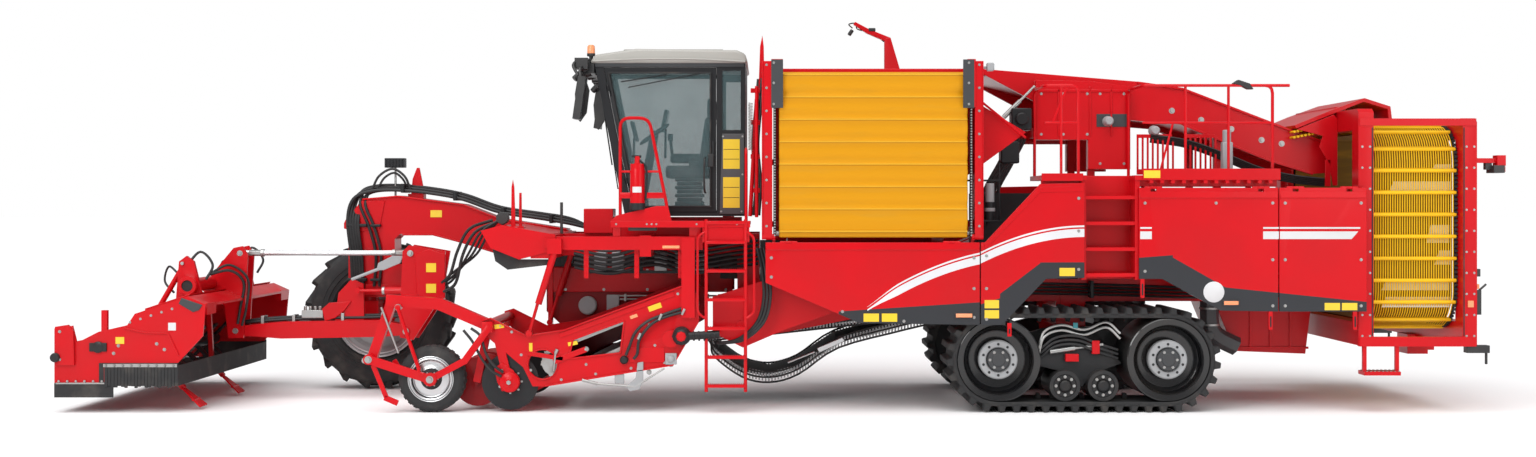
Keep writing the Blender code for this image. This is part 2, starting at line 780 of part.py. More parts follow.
def cab_door():
    """The left door, hinged along the raked front pillar, with its glass."""
    y = (-CAB_HALF_WIDTH, -CAB_HALF_WIDTH + 0.04)
    solids = [plate(door_outline(DOOR_GAP), y)]
    cuts = [plate(door_outline(DOOR_GAP + DOOR_FRAME), (-1.0, -0.80))]
    for start, middle, end in door_hinges():
        cuts.append(rod(start, middle, 0.021, sides=10))
    combine(solids[0], cuts, "DIFFERENCE")
    for start, middle, end in door_hinges():
        step = (Vector(end) - Vector(middle)).normalized() * TOUCH
        solids.append(rod(Vector(middle) + step, Vector(end) - step, 0.014, sides=10))
    handle_x = PILLAR_B_X - 0.035
    solids.append(box((handle_x - 0.012, handle_x + 0.012), (-0.93, -0.88), (2.70, 2.86)))
    pivot = door_hinges()[0][0]
    part("cab_door", "black_paint", solids, pivot=pivot)
    glass_y = (-CAB_HALF_WIDTH + 0.015, -CAB_HALF_WIDTH + 0.015 + GLASS_THICKNESS)
    outline = door_outline(DOOR_GAP + DOOR_FRAME + TOUCH)
    part("cab_door_glass", "cab_glass", [plate(outline, glass_y)], pivot=pivot)


def cab_roof():
    """The pale roof, with its overhang and raised middle."""
    z = CAB_EAVES + TOUCH
    front, rear = cab_front(CAB_EAVES) - 0.05, CAB_REAR_X + 0.03
    outline = (
        (front, z),
        (rear, z),
        (rear - 0.03, z + 0.10),
        (rear - 0.12, z + CAB_ROOF_HEIGHT),
        (front + 0.50, z + CAB_ROOF_HEIGHT + 0.015),
        (front + 0.06, z + 0.09),
    )
    roof = plate(outline, (-0.93, 0.93))
    return part("cab_roof", "roof_white", [eased(roof, 0.02)])


def cab_mirrors():
    """The dark visor under the roof's front, with a mirror on an arm at each side."""
    z = CAB_EAVES
    x = cab_front(z)
    solids = [box((x - 0.12, x - TOUCH), (-0.92, 0.92), (z - 0.11, z - TOUCH))]
    for side in (LEFT, RIGHT):
        root = (x - 0.08, side * 0.88, z - 0.05)
        bend = (x - 0.14, side * 1.10, z - 0.06)
        drop = (x - 0.12, side * 1.12, z - 0.20)
        solids.append(rail(smooth((root, bend, drop), 0.06), 0.016))
        solids.append(
            box((x - 0.17, x - 0.09), mirrored((1.00, 1.22), side), (z - 0.62, z - 0.16), turn=("Y", 8))
        )
        lamp = mirrored((0.86, 1.02), side)
        solids.append(box((x - 0.20, x - 0.06), lamp, (z - 0.07, z + 0.05)))
    return part("cab_mirrors", "black_paint", solids)


def cab_inside():
    """The driver's seat and the console with the steering wheel."""
    floor = CAB_FLOOR + 0.06 + TOUCH
    seat = [
        eased(box((-1.26, -0.76), (-0.26, 0.26), (floor + 0.36, floor + 0.50)), 0.03),
        eased(box((-0.86, -0.74), (-0.25, 0.25), (floor + 0.42, floor + 1.06), turn=("Y", 8)), 0.03),
        eased(box((-0.80, -0.70), (-0.14, 0.14), (floor + 1.00, floor + 1.26)), 0.03),
        box((-1.16, -0.84), (-0.17, 0.17), (floor, floor + 0.38)),
        box((-1.24, -0.86), (0.30, 0.44), (floor + 0.54, floor + 0.66)),
        box((-1.00, -0.90), (0.20, 0.34), (floor + 0.40, floor + 0.56)),
    ]
    part("driver_seat", "seat_cloth", seat)
    hub = Vector((-1.40, 0.0, floor + 0.86))
    tilt = Matrix.Rotation(radians(-35), 3, "Y")
    ring = [hub + tilt @ Vector((0.19 * cos(a), 0.19 * sin(a), 0)) for a in ring_angles(16)]
    console = [
        box((-1.62, -1.48), (-0.20, 0.20), (floor, floor + 0.30)),
        rod((-1.55, 0.0, floor + 0.05), tuple(hub), 0.05, sides=10),
        rail([tuple(point) for point in ring], 0.014, cyclic=True),
    ]
    for angle in ring_angles(3):
        tip = hub + tilt @ Vector((0.185 * cos(angle), 0.185 * sin(angle), 0))
        console.append(rod(tuple(hub), tuple(tip), 0.011, sides=8))
    part("steering_console", "grey_plastic", console)


def ring_angles(count, start=0.0):
    """Evenly spaced angles round a circle."""
    return [start + 2 * pi * step / count for step in range(count)]


def eased(shape, width, segments=1):
    """The solid with all its edges bevelled."""
    step = shape.modifiers.new("ease", "BEVEL")
    step.width = width
    step.segments = segments
    step.limit_method = "ANGLE"
    bpy.context.view_layer.update()
    graph = bpy.context.evaluated_depsgraph_get()
    result = bpy.data.meshes.new_from_object(shape.evaluated_get(graph))
    shape.modifiers.clear()
    shape.data = result
    return shape


def ladder(x, y, z, pitch, tube=0.018):
    """Two uprights and rungs; x and z are spans, and y is the ladder's plane."""
    solids = [rod((side, y, z[0]), (side, y, z[1]), tube, sides=8) for side in x]
    count = int((z[1] - z[0]) / pitch)
    for step in range(count):
        height = z[0] + pitch * (step + 0.15)
        solids.append(box(x, (y - 0.035, y + 0.035), (height, height + 0.03)))
    return solids


ACCESS_DECK_Z = 2.0
LADDER_X = (-0.76, -0.35)
LADDER_Y = -1.51


def cab_access():
    """The step platform beside the cab, its ladder, rails and fire bottle."""
    top = ACCESS_DECK_Z
    low = 1.84 + TOUCH
    solids = [
        box((-1.76, -0.30), (-1.50, -0.93), (top - 0.035, top)),
        box((-1.74, -1.66), (-1.45, -1.37), (low, top - 0.03)),
        box((-0.94, -0.82), (-1.45, -1.37), (low, top - 0.03)),
        box((-0.80, -0.31), (-1.50, -1.46 - TOUCH), (1.78, top - 0.03)),
    ]
    solids += ladder(LADDER_X, LADDER_Y, (0.22, top + 0.02), 0.30)
    solids.append(box((LADDER_X[0], LADDER_X[1]), (LADDER_Y - 0.02, LADDER_Y + 0.03), (top - 0.03, top)))
    rail_points = (
        (-1.66, -1.48, top - 0.02),
        (-1.66, -1.48, 3.08),
        (-1.36, -1.48, 3.08),
        (-1.17, -1.48, 2.15),
        (-1.17, -1.48, top - 0.02),
    )
    solids.append(rail(smooth(rail_points, 0.10), 0.017))
    solids.append(rod((-1.67, -1.48, 2.52), (-1.235, -1.48, 2.52), 0.012, sides=8))
    solids.append(rod((-1.48, -1.48, 2.18), (-1.48, -1.48, 2.60), 0.075, sides=14))
    solids.append(rod((-1.48, -1.48, 2.59), (-1.48, -1.48, 2.68), 0.03, sides=8))
    solids.append(box((-1.66, -1.20), (-1.50, -1.46), (2.24, 2.30)))
    for x, swing in ((LADDER_X[0], -0.09), (LADDER_X[1], 0.09)):
        bow = (
            (x, LADDER_Y, 1.90),
            (x + swing, LADDER_Y, 1.84),
            (x + swing, LADDER_Y, 1.04),
            (x, LADDER_Y, 0.98),
        )
        solids.append(rail(smooth(bow, 0.06, sides=3), 0.014))
    grab = (
        (-0.345, -1.48, top - 0.02),
        (-0.345, -1.48, 2.76),
        (-0.345, -1.20, 2.76),
        (-0.345, -1.20, top - 0.02),
    )
    solids.append(rail(smooth(grab, 0.08, sides=3), 0.015))
    return part("cab_access", "red_paint", solids)


# Bunker and discharge conveyor


def bunker():
    """The open hopper for the crop, with its cross bar and folded camera post."""
    near = CONVEYOR_INNER_Y + 0.05
    far = 1.50
    wall = BUNKER_WALL
    low, high = BUNKER_LOW, BUNKER_HIGH
    x = (BUNKER_FRONT_X, BUNKER_REAR_X)
    outer = box(x, (near, far), (low, high))
    inside = box((x[0] + wall, x[1] - wall), (near + wall, far - wall), (low + wall, high + 0.2))
    lip = box((x[0] + 0.10, x[1] - 0.10), (near - 0.2, near + 0.2), (low + 0.42, high + 0.2))
    wing = ((x[1] - 0.01, 3.33), (2.62, 2.94), (x[1] - 0.01, 2.47))
    post = ((1.20, high - 0.05), (1.42, high - 0.05), (1.27, 4.06), (1.20, 4.04))
    boom = ((1.21, 4.02), (1.27, 4.06), (1.03, 4.155), (0.87, 4.24), (0.85, 4.21), (1.00, 4.11))
    solids = [
        outer,
        plate(wing, (near, near + 0.035)),
        box((x[0] + 0.01, x[1] - 0.01), (-0.04, 0.04), (high - 0.09, high)),
        plate(post, (-0.035, 0.035)),
        plate(boom, (-0.03, 0.03)),
    ]
    base = solids[0]
    combine(base, [inside, lip], "DIFFERENCE")
    for side_y in (near, far):
        solids.append(box((x[0] - 0.03, x[0] + 0.01), (side_y - 0.04, side_y + 0.04), (low, high)))
    return part("bunker", "red_paint", solids)


CONVEYOR_POSTS = ((-0.18, -0.07), (2.04, 2.13))
BELT_X = (0.0, 1.97)
# Each fixed ear's X span, and the X span of the tie that joins it to the frame
CONVEYOR_EARS = (((-0.07 + TOUCH, -0.04), (-0.25, -0.04)), ((2.01, 2.04 - TOUCH), (1.90, 2.04 - TOUCH)))
CONVEYOR_PIVOT = (0.0, CONVEYOR_PIVOT_Y, CONVEYOR_PIVOT_Z)


def conveyor_brackets():
    """Fixed ears on the bunker's mounts that the discharge conveyor swings on."""
    solids = []
    for x, beam in CONVEYOR_EARS:
        pin = [(place, CONVEYOR_PIVOT_Y, CONVEYOR_PIVOT_Z) for place in x]
        solids.append(rod(*pin, 0.028, sides=12))
        drop = (CONVEYOR_PIVOT_Z - 0.035, CONVEYOR_PIVOT_Z)
        solids.append(box(x, (CONVEYOR_PIVOT_Y - 0.012, -1.43), drop))
        solids.append(box(x, (-1.50, -1.43), (1.60, CONVEYOR_PIVOT_Z)))
        solids.append(box(x, (-1.47, -BEAM_Y), (1.58, 1.64)))
        solids.append(box(beam, (-BEAM_Y - 0.06, -BEAM_Y + 0.02), (1.58, 1.64)))
    return solids


def discharge_conveyor():
    """The folding side conveyor: posts, cross tubes and the pocket belt between them."""
    solids = []
    y = (CONVEYOR_OUTER_Y, CONVEYOR_INNER_Y)
    for low, high in CONVEYOR_POSTS:
        outline = (
            (y[0], CONVEYOR_LOW + 0.022),
            (y[0] + 0.022, CONVEYOR_LOW),
            (y[0] + 0.16, CONVEYOR_LOW),
            (y[1], CONVEYOR_LOW + 0.12),
            (y[1], CONVEYOR_HIGH),
            (y[0], CONVEYOR_HIGH),
        )
        solids.append(plate(outline, (low, high), plane="YZ"))
    for z in (CONVEYOR_LOW + 0.16, 2.62, CONVEYOR_HIGH - 0.10):
        span = (CONVEYOR_POSTS[0][1] - SINK, CONVEYOR_POSTS[1][0] + SINK)
        solids.append(box(span, (y[1] - 0.07, y[1] - 0.01), (z - 0.03, z + 0.03)))
    for x in (CONVEYOR_POSTS[0][1], CONVEYOR_POSTS[1][0]):
        inward = 0.11 if x < 1.0 else -0.08
        solids.append(box((x - inward * 0.1, x + inward), (y[0] - 0.012, y[0] + 0.012), (3.19, 3.69)))
    part("discharge_frame", "red_paint", solids, pivot=CONVEYOR_PIVOT)

    low, high = CONVEYOR_LOW + 0.02, 3.57
    front, back = y[0] + 0.025, y[1] - 0.07 - TOUCH
    outline = [(back, low + 0.03), (back, high - 0.03), (back - 0.03, high)]
    pockets = int((high - low) / POCKET_PITCH)
    for row in range(pockets, 0, -1):
        bottom = high - 0.02 - (pockets - row + 1) * POCKET_PITCH
        for share, depth in ((0.92, 0.018), (0.62, 0.0), (0.34, 0.004), (0.10, 0.030)):
            outline.append((front + depth, bottom + share * POCKET_PITCH))
    outline.append((front + 0.03, low))
    outline.append((back - 0.03, low))
    belt = plate(tuple(outline), BELT_X, plane="YZ")
    part("discharge_belt", "yellow_belt", [belt], pivot=CONVEYOR_PIVOT)


# Sorting line and picking platform


HOUSING_Y = 0.74


def sorting_unit():
    """The trough that brings the crop from the ring elevator up to the bunker."""
    side_outline = (
        (2.20, 3.66),
        (2.90, 3.60),
        (3.92, 3.52),
        (4.42, 3.45),
        (5.69, 2.96),
        (6.00, 2.86),
        (6.00, 2.52),
        (5.84, 2.51),
        (5.35, 2.66),
        (4.40, 3.05),
        (3.56, 3.12),
        (3.50, 2.92),
        (2.90, 2.92),
        (2.80, 3.30),
        (2.20, 3.62),
    )
    solids = [plate(side_outline, span) for span in ((-0.66, -0.61), (0.61, 0.66))]
    floor = (
        (2.24, 3.63),
        (2.24, 3.59),
        (3.60, 3.20),
        (4.40, 3.10),
        (5.98, 2.58),
        (5.98, 2.62),
        (4.42, 3.15),
        (3.62, 3.25),
    )
    solids.append(plate(floor, (-0.62, 0.62)))
    solids.append(box((2.92, 3.48), (-0.64, 0.64), (2.94, 3.05)))
    housing = (
        (2.80, 3.53),
        (3.40, 3.52),
        (3.83, 3.46),
        (3.83, 2.56),
        (3.37, 2.56),
        (3.37, 2.88),
        (2.80, 2.88),
    )
    solids += [plate(housing, mirrored((0.62, HOUSING_Y), side)) for side in (LEFT, RIGHT)]
    for x, top in ((3.42, 2.95), (4.80, 2.92)):
        for side in (LEFT, RIGHT):
            leg = mirrored((0.59, 0.65), side)
            solids.append(box((x - 0.04, x + 0.04), leg, (BEAM_HIGH + TOUCH, top)))
    return part("sorting_unit", "red_paint", solids)


DECK_Z = 2.48
DECK_X = (2.74, 5.22)
REAR_LADDER_X = (3.18, 3.74)


def railing(x, y, posts):
    """One stretch of railing along X, with a return to the machine at each end."""
    top, middle, base = 3.42, 3.03, DECK_Z - 0.02
    run = ((x[0], y + 0.70, base), (x[0], y + 0.70, top), (x[0], y, top), (x[1], y, top))
    solids = [rail(smooth(run + ((x[1], y, base),), 0.08, sides=3), 0.017)]
    solids.append(rod((x[0], y, middle), (x[1], y, middle), 0.013, sides=8))
    for place in posts:
        solids.append(rod((place, y, base), (place, y, top), 0.015, sides=8))
    return solids


def picking_platform():
    """The deck beside the sorting line, with its railing and ladder."""
    y = (-1.54, -0.72)
    deck = box(DECK_X, y, (DECK_Z - 0.05, DECK_Z))
    gap = box((REAR_LADDER_X[0] + 0.03, REAR_LADDER_X[1] - 0.03), (-1.60, -1.22), (2.0, 2.6))
    combine(deck, [gap], "DIFFERENCE")
    solids = [deck]
    for x in REAR_LADDER_X:
        solids.append(box((x - 0.025, x + 0.025), (-1.52, -1.40), (1.39, DECK_Z - 0.01)))
        solids.append(box((x - 0.02, x + 0.02), (-1.42, -1.22), (1.41, DECK_Z - 0.01)))
    solids.append(box(REAR_LADDER_X, (-1.25, -1.22), (1.39, DECK_Z - 0.01)))
    for step in range(4):
        z = 1.42 + 0.27 * step
        solids.append(box(REAR_LADDER_X, (-1.51, -1.23), (z, z + 0.035)))
    solids += railing((2.78, 3.13), -1.48, (2.95,))
    solids += railing((3.80, 5.16), -1.48, (4.25, 4.70))
    for x, arm_top in (
        (tab_places("c")[0], REAR_PANEL_TOP - 0.12),
        (tab_places("c")[1], REAR_PANEL_TOP - 0.12),
        (3.00, PANEL_TOP - 0.12),
    ):
        solids.append(box((x - 0.025, x + 0.025), (-1.10, -1.04), (arm_top + TOUCH, DECK_Z - 0.03)))
    return part("picking_platform", "red_paint", solids)


# Rear ring elevator


def portal(x, near_top):
    """One upright frame of the elevator, in a YZ plane."""
    half, top, low = ELEVATOR_HALF_WIDTH, near_top, 0.70
    outer = plate(
        (
            (-half, low),
            (half, low),
            (half, top - 0.04),
            (half - 0.05, top),
            (-half + 0.05, top),
            (-half, top - 0.04),
        ),
        x,
        plane="YZ",
    )
    inner = box((x[0] - 0.1, x[1] + 0.1), (-half + 0.20, half - 0.20), (low + 0.24, top - 0.22))
    combine(outer, [inner], "DIFFERENCE")
    return outer


def elevator_frame():
    """The rear frame: two portals, their side beams, hood, steps, hitch and lamp arms."""
    front, rear = (6.06, RING_FRONT_X - TOUCH), (RING_REAR_X + TOUCH, 7.30)
    solids = [portal(front, 3.18), portal(rear, 3.08)]
    half = ELEVATOR_HALF_WIDTH
    for side in (LEFT, RIGHT):
        y = mirrored((half - 0.06, half + 0.01), side)
        solids.append(box((front[0] + 0.01, rear[1] - 0.01), y, (3.00, 3.075)))
        solids.append(box((front[0] + 0.01, rear[1] - 0.01), y, (0.69, 0.79)))
        arm = mirrored((half - 0.05, half - 0.01), side)
        solids.append(box((rear[1] - 0.01, REAR_X - 0.03), arm, (2.61, 2.66)))
        solids.append(box((REAR_X - 0.09, REAR_X), mirrored((half - 0.09, half + 0.03), side), (2.58, 2.69)))
    hood = (
        (5.60, 3.035),
        (6.00, 3.20),
        (6.36, 3.33),
        (6.64, 3.24),
        (6.66, 3.08),
        (6.62, 3.08),
        (6.61, 3.21),
        (6.35, 3.29),
        (6.02, 3.16),
        (5.62, 3.00),
    )
    solids.append(plate(hood, (-0.80, 0.80)))
    solids.append(box((6.07, 6.19), (-0.70, 0.70), (3.10, 3.24)))
    for x in (6.13, 6.47):
        solids.append(box((x - 0.02, x + 0.02), (-half + 0.01, -half + 0.05), (0.40, 0.72)))
    solids.append(box((6.11, 6.49), (-half - 0.04, -half + 0.16), (0.39, 0.43)))
    solids.append(box((7.06, 7.29), (-0.16, 0.16), (0.50, 0.72)))
    solids.append(box((7.26, 7.38), (-0.11, 0.11), (0.54, 0.66)))
    return part("elevator_frame", "red_paint", solids)


RING_Y = 1.37
RING_DEPTH = 0.12
RING_CORNER = 0.42


def ring_outline(half, low, high, corner, pitch=None, depth=0.0):
    """A rounded rectangle in the YZ plane; a pitch gives its sides cross pockets."""
    corners = (
        (half, high, 0.0),
        (-half, high, pi / 2),
        (-half, low, pi),
        (half, low, 1.5 * pi),
    )
    points = []
    for y, z, start in corners:
        centre = (y - corner * (1 if y > 0 else -1), z - corner * (1 if z == high else -1))
        for step in range(7):
            angle = start + step * pi / 12
            points.append((centre[0] + corner * cos(angle), centre[1] + corner * sin(angle)))
        if not pitch:
            continue
        upright = start in (pi / 2, 1.5 * pi)
        run = high - low - 2 * corner if upright else 2 * (half - corner)
        count = int(run / pitch)
        for row in range(count):
            place = (row + 0.5) * run / count
            for shift, dip in ((-0.10, 0.0), (0.0, depth), (0.10, 0.0)):
                along_run = place + shift * pitch
                if start == 0.0:
                    points.append((half - corner - along_run, high - dip))
                elif start == pi / 2:
                    points.append((-half + dip, high - corner - along_run))
                elif start == pi:
                    points.append((-half + corner + along_run, low + dip))
                else:
                    points.append((half - dip, low + corner + along_run))
    return tuple(points)


def ring_web():
    """The rod web that carries the crop up round the inside of the rear frame."""
    x = (RING_FRONT_X, RING_REAR_X)
    half = RING_Y
    outer = ring_outline(half, RING_LOW, RING_HIGH, RING_CORNER, POCKET_PITCH, 0.035)
    inner = (half - RING_DEPTH, RING_LOW + RING_DEPTH, RING_HIGH - RING_DEPTH, RING_CORNER - RING_DEPTH)
    return part("ring_web", "yellow_web", [plate(outer, x, plane="YZ", holes=(ring_outline(*inner),))])


def belly_hopper():
    """The open hopper under the rear beams."""
    top = BEAM_LOW - TOUCH
    outline = ((4.80, top), (5.03, 0.56), (5.81, 0.53), (5.88, top))
    inner = ((4.84, top + 0.1), (5.06, 0.60), (5.78, 0.57), (5.84, top + 0.1))
    y = (-0.50, BEAM_Y + 0.04)
    return part(
        "belly_hopper", "red_paint", [plate(outline, y)], [plate(inner, (y[0] + 0.03, y[1] - 0.03))]
    )


def air_duct():
    """The bent grey duct under the left beam."""
    points = ((4.72, -BEAM_Y, BEAM_LOW - TOUCH), (4.72, -BEAM_Y, 0.76), (5.02, -BEAM_Y, 0.62))
    return part("air_duct", "grey_paint", [rail(smooth(points, 0.16, sides=3), 0.105)])


def rear_sieving_web():
    """The second web, whose slack lower run hangs below the beams."""
    outer = (
        (-0.72, 0.74),
        (1.95, 1.02),
        (1.98, 0.98),
        (1.40, 0.86),
        (0.66, 0.66),
        (0.22, 0.37),
        (-0.10, 0.28),
        (-0.40, 0.34),
        (-0.70, 0.56),
        (-0.78, 0.68),
    )
    inner = (
        (-0.68, 0.70),
        (1.72, 0.95),
        (1.38, 0.90),
        (0.64, 0.70),
        (0.20, 0.41),
        (-0.10, 0.32),
        (-0.38, 0.38),
        (-0.66, 0.59),
    )
    band = plate(outer, (-0.52, 0.52))
    solids = [band]
    combine(band, [plate(inner, (-0.6, 0.6))], "DIFFERENCE")
    for x, z in ((-0.33, 0.77), (0.93, 0.90)):
        for y in (mirrored((0.45, 0.50), LEFT), mirrored((0.45, 0.50), RIGHT)):
            solids.append(box((x - 0.03, x + 0.03), y, (z, CROSS_LOW - TOUCH)))
        solids.append(rod((x, -0.51, z), (x, 0.51, z), 0.045, sides=12))
    return part("rear_sieving_web", "bare_steel", solids)


# Rubber tracks and their bogies


BELT_RADIUS = DRIVE_RADIUS + BELT_THICKNESS
TRACK_Z = BELT_RADIUS + BELT_LUG
TRACK_MIDDLE_X = (TRACK_FRONT_X + TRACK_REAR_X) / 2
LUG_PITCH = 0.154
DRIVE_FACETS = 32


def track_point(way, radius):
    """A point of the track's loop at a distance along the belt's outer face."""
    run = TRACK_REAR_X - TRACK_FRONT_X
    arc = pi * BELT_RADIUS
    way %= 2 * (run + arc)
    if way < run:
        return (TRACK_REAR_X - way, TRACK_Z + radius)
    if way < run + arc:
        angle = pi / 2 + (way - run) / BELT_RADIUS
        return (TRACK_FRONT_X + radius * cos(angle), TRACK_Z + radius * sin(angle))
    if way < 2 * run + arc:
        return (TRACK_FRONT_X + way - run - arc, TRACK_Z - radius)
    angle = 1.5 * pi + (way - 2 * run - arc) / BELT_RADIUS
    return (TRACK_REAR_X + radius * cos(angle), TRACK_Z + radius * sin(angle))


def track(side):
    """One rubber belt as a fixed loop, with its lugs in its outline."""
    length = 2 * (TRACK_REAR_X - TRACK_FRONT_X) + 2 * pi * BELT_RADIUS
    count = round(length / LUG_PITCH)
    pitch = length / count
    outline = []
    for lug in range(count):
        for share, rise in ((0.0, 0.0), (0.42, 0.0), (0.54, BELT_LUG), (0.88, BELT_LUG)):
            outline.append(track_point((lug + share) * pitch, BELT_RADIUS + rise))
    inside = []
    for x, start in ((TRACK_FRONT_X, pi / 2), (TRACK_REAR_X, 1.5 * pi)):
        for step in range(DRIVE_FACETS // 2 + 1):
            angle = start + 2 * pi * step / DRIVE_FACETS
            inside.append((x + DRIVE_RADIUS * cos(angle), TRACK_Z + DRIVE_RADIUS * sin(angle)))
    y = mirrored((TRACK_INNER_Y, TRACK_INNER_Y + TRACK_WIDTH), side)
    belt = plate(tuple(outline), y, holes=(tuple(inside),))
    return part(f"track_{side_name(side)}", "black_rubber", [belt])


def dished_wheel(x, radius, side):
    """A drive wheel with a deep dish and a raised hub on its outer face."""
    inner, outer = TRACK_INNER_Y + 0.02, TRACK_INNER_Y + TRACK_WIDTH - 0.02
    rows = (
        (0.0, inner),
        (radius, inner),
        (radius, outer),
        (radius - 0.075, outer - 0.01),
        (radius - 0.085, outer - 0.15),
        (0.21, outer - 0.17),
        (0.20, outer - 0.06),
        (0.11, outer - 0.05),
        (0.10, outer - 0.01),
        (0.0, outer - 0.01),
    )
    profile = [(distance, side * y) for distance, y in rows]
    if side == LEFT:
        profile.reverse()
    return turned(profile, (x, 0.0, TRACK_Z), steps=DRIVE_FACETS)


def bogie(side):
    """The track's carrier: both drive wheels, four rollers and the frame between them."""
    inner = 0.70 + TOUCH
    fit = DRIVE_RADIUS - TOUCH
    solids = [dished_wheel(x, fit, side) for x in (TRACK_FRONT_X, TRACK_REAR_X)]
    x0, x1 = TRACK_FRONT_X - 0.10, TRACK_REAR_X + 0.10
    side_plate = (
        (x0, TRACK_Z - 0.10),
        (x0, TRACK_Z + 0.10),
        (TRACK_MIDDLE_X - 0.25, TRACK_Z + 0.30),
        (TRACK_MIDDLE_X + 0.25, TRACK_Z + 0.30),
        (x1, TRACK_Z + 0.10),
        (x1, TRACK_Z - 0.10),
        (TRACK_MIDDLE_X, TRACK_Z - 0.22),
    )
    solids.append(plate(side_plate, mirrored((inner, TRACK_INNER_Y + 0.04), side)))
    arm = (
        (2.72, TRACK_Z - 0.07),
        (2.84, TRACK_Z + 0.13),
        (3.10, TRACK_Z + 0.20),
        (3.44, TRACK_Z + 0.14),
        (3.62, TRACK_Z - 0.05),
        (3.30, TRACK_Z - 0.16),
        (3.20, TRACK_Z - 0.30),
        (3.10, TRACK_Z - 0.16),
    )
    solids.append(plate(arm, mirrored((TRACK_INNER_Y + 0.02, 1.30), side)))
    roller_z = TRACK_Z - DRIVE_RADIUS + ROLLER_RADIUS + 0.004
    for x in (3.00, 3.40):
        ends = [(x, side * y, roller_z) for y in (0.84, 1.42)]
        solids.append(rod(*ends, ROLLER_RADIUS, sides=24))
        solids.append(rod((x, side * 1.40, roller_z), (x, side * 1.45, roller_z), 0.055, sides=12))
        solids.append(bar((x, side * 0.98, roller_z), (x, side * 0.98, TRACK_Z), 0.10, 0.12))
    return part(f"bogie_{side_name(side)}", "grey_paint", solids)


# Front wheel


def front_wheel():
    """The big steered tyre with its cleats, and its silver rim."""
    z = WHEEL_Z
    half = WHEEL_WIDTH / 2
    radius = WHEEL_RADIUS
    centre = (WHEEL_X, WHEEL_Y, z)
    profile = (
        (RIM_RADIUS, -half + 0.08),
        (RIM_RADIUS + 0.03, -half + 0.02),
        (radius - 0.16, -half - 0.0),
        (radius - 0.05, -half + 0.04),
        (radius, -half + 0.12),
        (radius, half - 0.12),
        (radius - 0.05, half - 0.04),
        (radius - 0.16, half - 0.0),
        (RIM_RADIUS + 0.03, half - 0.02),
        (RIM_RADIUS, half - 0.08),
    )
    tyre = turned(profile, centre, steps=40)
    solids = [tyre]
    cleats = 20
    for step in range(cleats):
        for side in (LEFT, RIGHT):
            angle = -pi / 2 + 2 * pi * (step + (0.5 if side == RIGHT else 0.0)) / cleats
            place = Matrix.Translation(centre) @ Matrix.Rotation(-angle, 4, "Y")
            slant = Matrix.Rotation(radians(side * 32), 4, "X")
            cleat = box((radius - 0.05, radius + LUG_HEIGHT), (-0.025, half - 0.035), (-0.03, 0.03))
            if side == LEFT:
                cleat.data.transform(Matrix.Scale(-1, 4, (0, 1, 0)))
                cleat.data.flip_normals()
            cleat.data.transform(place @ slant)
            solids.append(cleat)
    part("front_tyre", "black_rubber", solids, pivot=centre)
    bead = RIM_RADIUS - TOUCH
    outline = (
        (0.0, -0.02),
        (0.20, -0.02),
        (bead - 0.12, -0.05),
        (bead - 0.09, -half + 0.12),
        (bead - 0.03, -half + 0.04),
        (bead, -half + 0.04),
        (bead, half - 0.04),
        (bead - 0.02, half - 0.04),
        (bead - 0.06, half - 0.10),
        (bead - 0.10, 0.0),
        (0.20, 0.02),
        (0.0, 0.02),
    )
    rim = turned(outline, centre, steps=40)
    cap = rod((centre[0], centre[1] + 0.01, z), (centre[0], centre[1] + 0.10, z), 0.12, sides=20)
    part("front_rim", "silver_paint", [rim, cap], pivot=centre)


def front_knuckle():
    """The steered knuckle under the leg, with its stub axle and hub flange."""
    z = WHEEL_Z
    y = KINGPIN_Y
    face = WHEEL_Y - 0.02 - TOUCH
    solids = [
        box((WHEEL_X - 0.12, WHEEL_X + 0.12), (y - 0.12, y + 0.12), (z - 0.13, LEG_LOW - 0.05)),
        rod((WHEEL_X, y, z - 0.05), (WHEEL_X, y, LEG_LOW - TOUCH), 0.10, sides=20),
        rod((WHEEL_X, y, z), (WHEEL_X, face, z), 0.075),
        rod((WHEEL_X, face - 0.05, z), (WHEEL_X, face, z), 0.17, sides=24),
        bar((WHEEL_X + 0.05, y, z), (WHEEL_X + 0.30, y, z + 0.02), 0.08, 0.06),
    ]
    return part("front_knuckle", "red_paint", solids, pivot=(WHEEL_X, y, LEG_LOW))


# Topper and its linkage


ARM_REAR = (ARM_REAR_X, 0.0, ARM_Z)
ARM_FRONT = (ARM_REAR_X - ARM_LENGTH, 0.0, ARM_Z)
LINK_REAR = (ARM_REAR_X + LINK_STEP_X, 0.0, ARM_Z + LINK_RISE)
LINK_FRONT = (ARM_REAR_X + LINK_STEP_X - ARM_LENGTH, 0.0, ARM_Z + LINK_RISE)


def topper_arm():
    """The lower beam that carries the topper."""
    beam = (
        (ARM_REAR_X - 0.02, ARM_Z + 0.06),
        (ARM_REAR_X - 0.30, ARM_Z + 0.12),
        (ARM_FRONT[0] + 0.50, ARM_Z + 0.10),
        (ARM_FRONT[0] + 0.02, ARM_Z + 0.05),
        (ARM_FRONT[0] + 0.02, ARM_Z - 0.05),
        (ARM_FRONT[0] + 0.50, ARM_Z - 0.09),
        (ARM_REAR_X - 0.30, ARM_Z - 0.07),
        (ARM_REAR_X - 0.02, ARM_Z - 0.05),
    )
    lug = ((-5.00, ARM_Z + 0.05), (-4.66, ARM_Z + 0.05), (-4.67, 1.28), (-4.80, 1.34), (-4.95, 1.18))
    solids = [
        plate(beam, (-0.16, 0.02)),
        rod((ARM_REAR_X, -0.20 + TOUCH, ARM_Z), (ARM_REAR_X, 0.06 - TOUCH, ARM_Z), 0.065, sides=16),
        rod((ARM_FRONT[0], -0.17 + TOUCH, ARM_Z), (ARM_FRONT[0], 0.03 - TOUCH, ARM_Z), 0.065, sides=16),
        plate(lug, (-0.10, -0.06)),
    ]
    return part("topper_arm", "red_paint", solids, pivot=ARM_REAR)


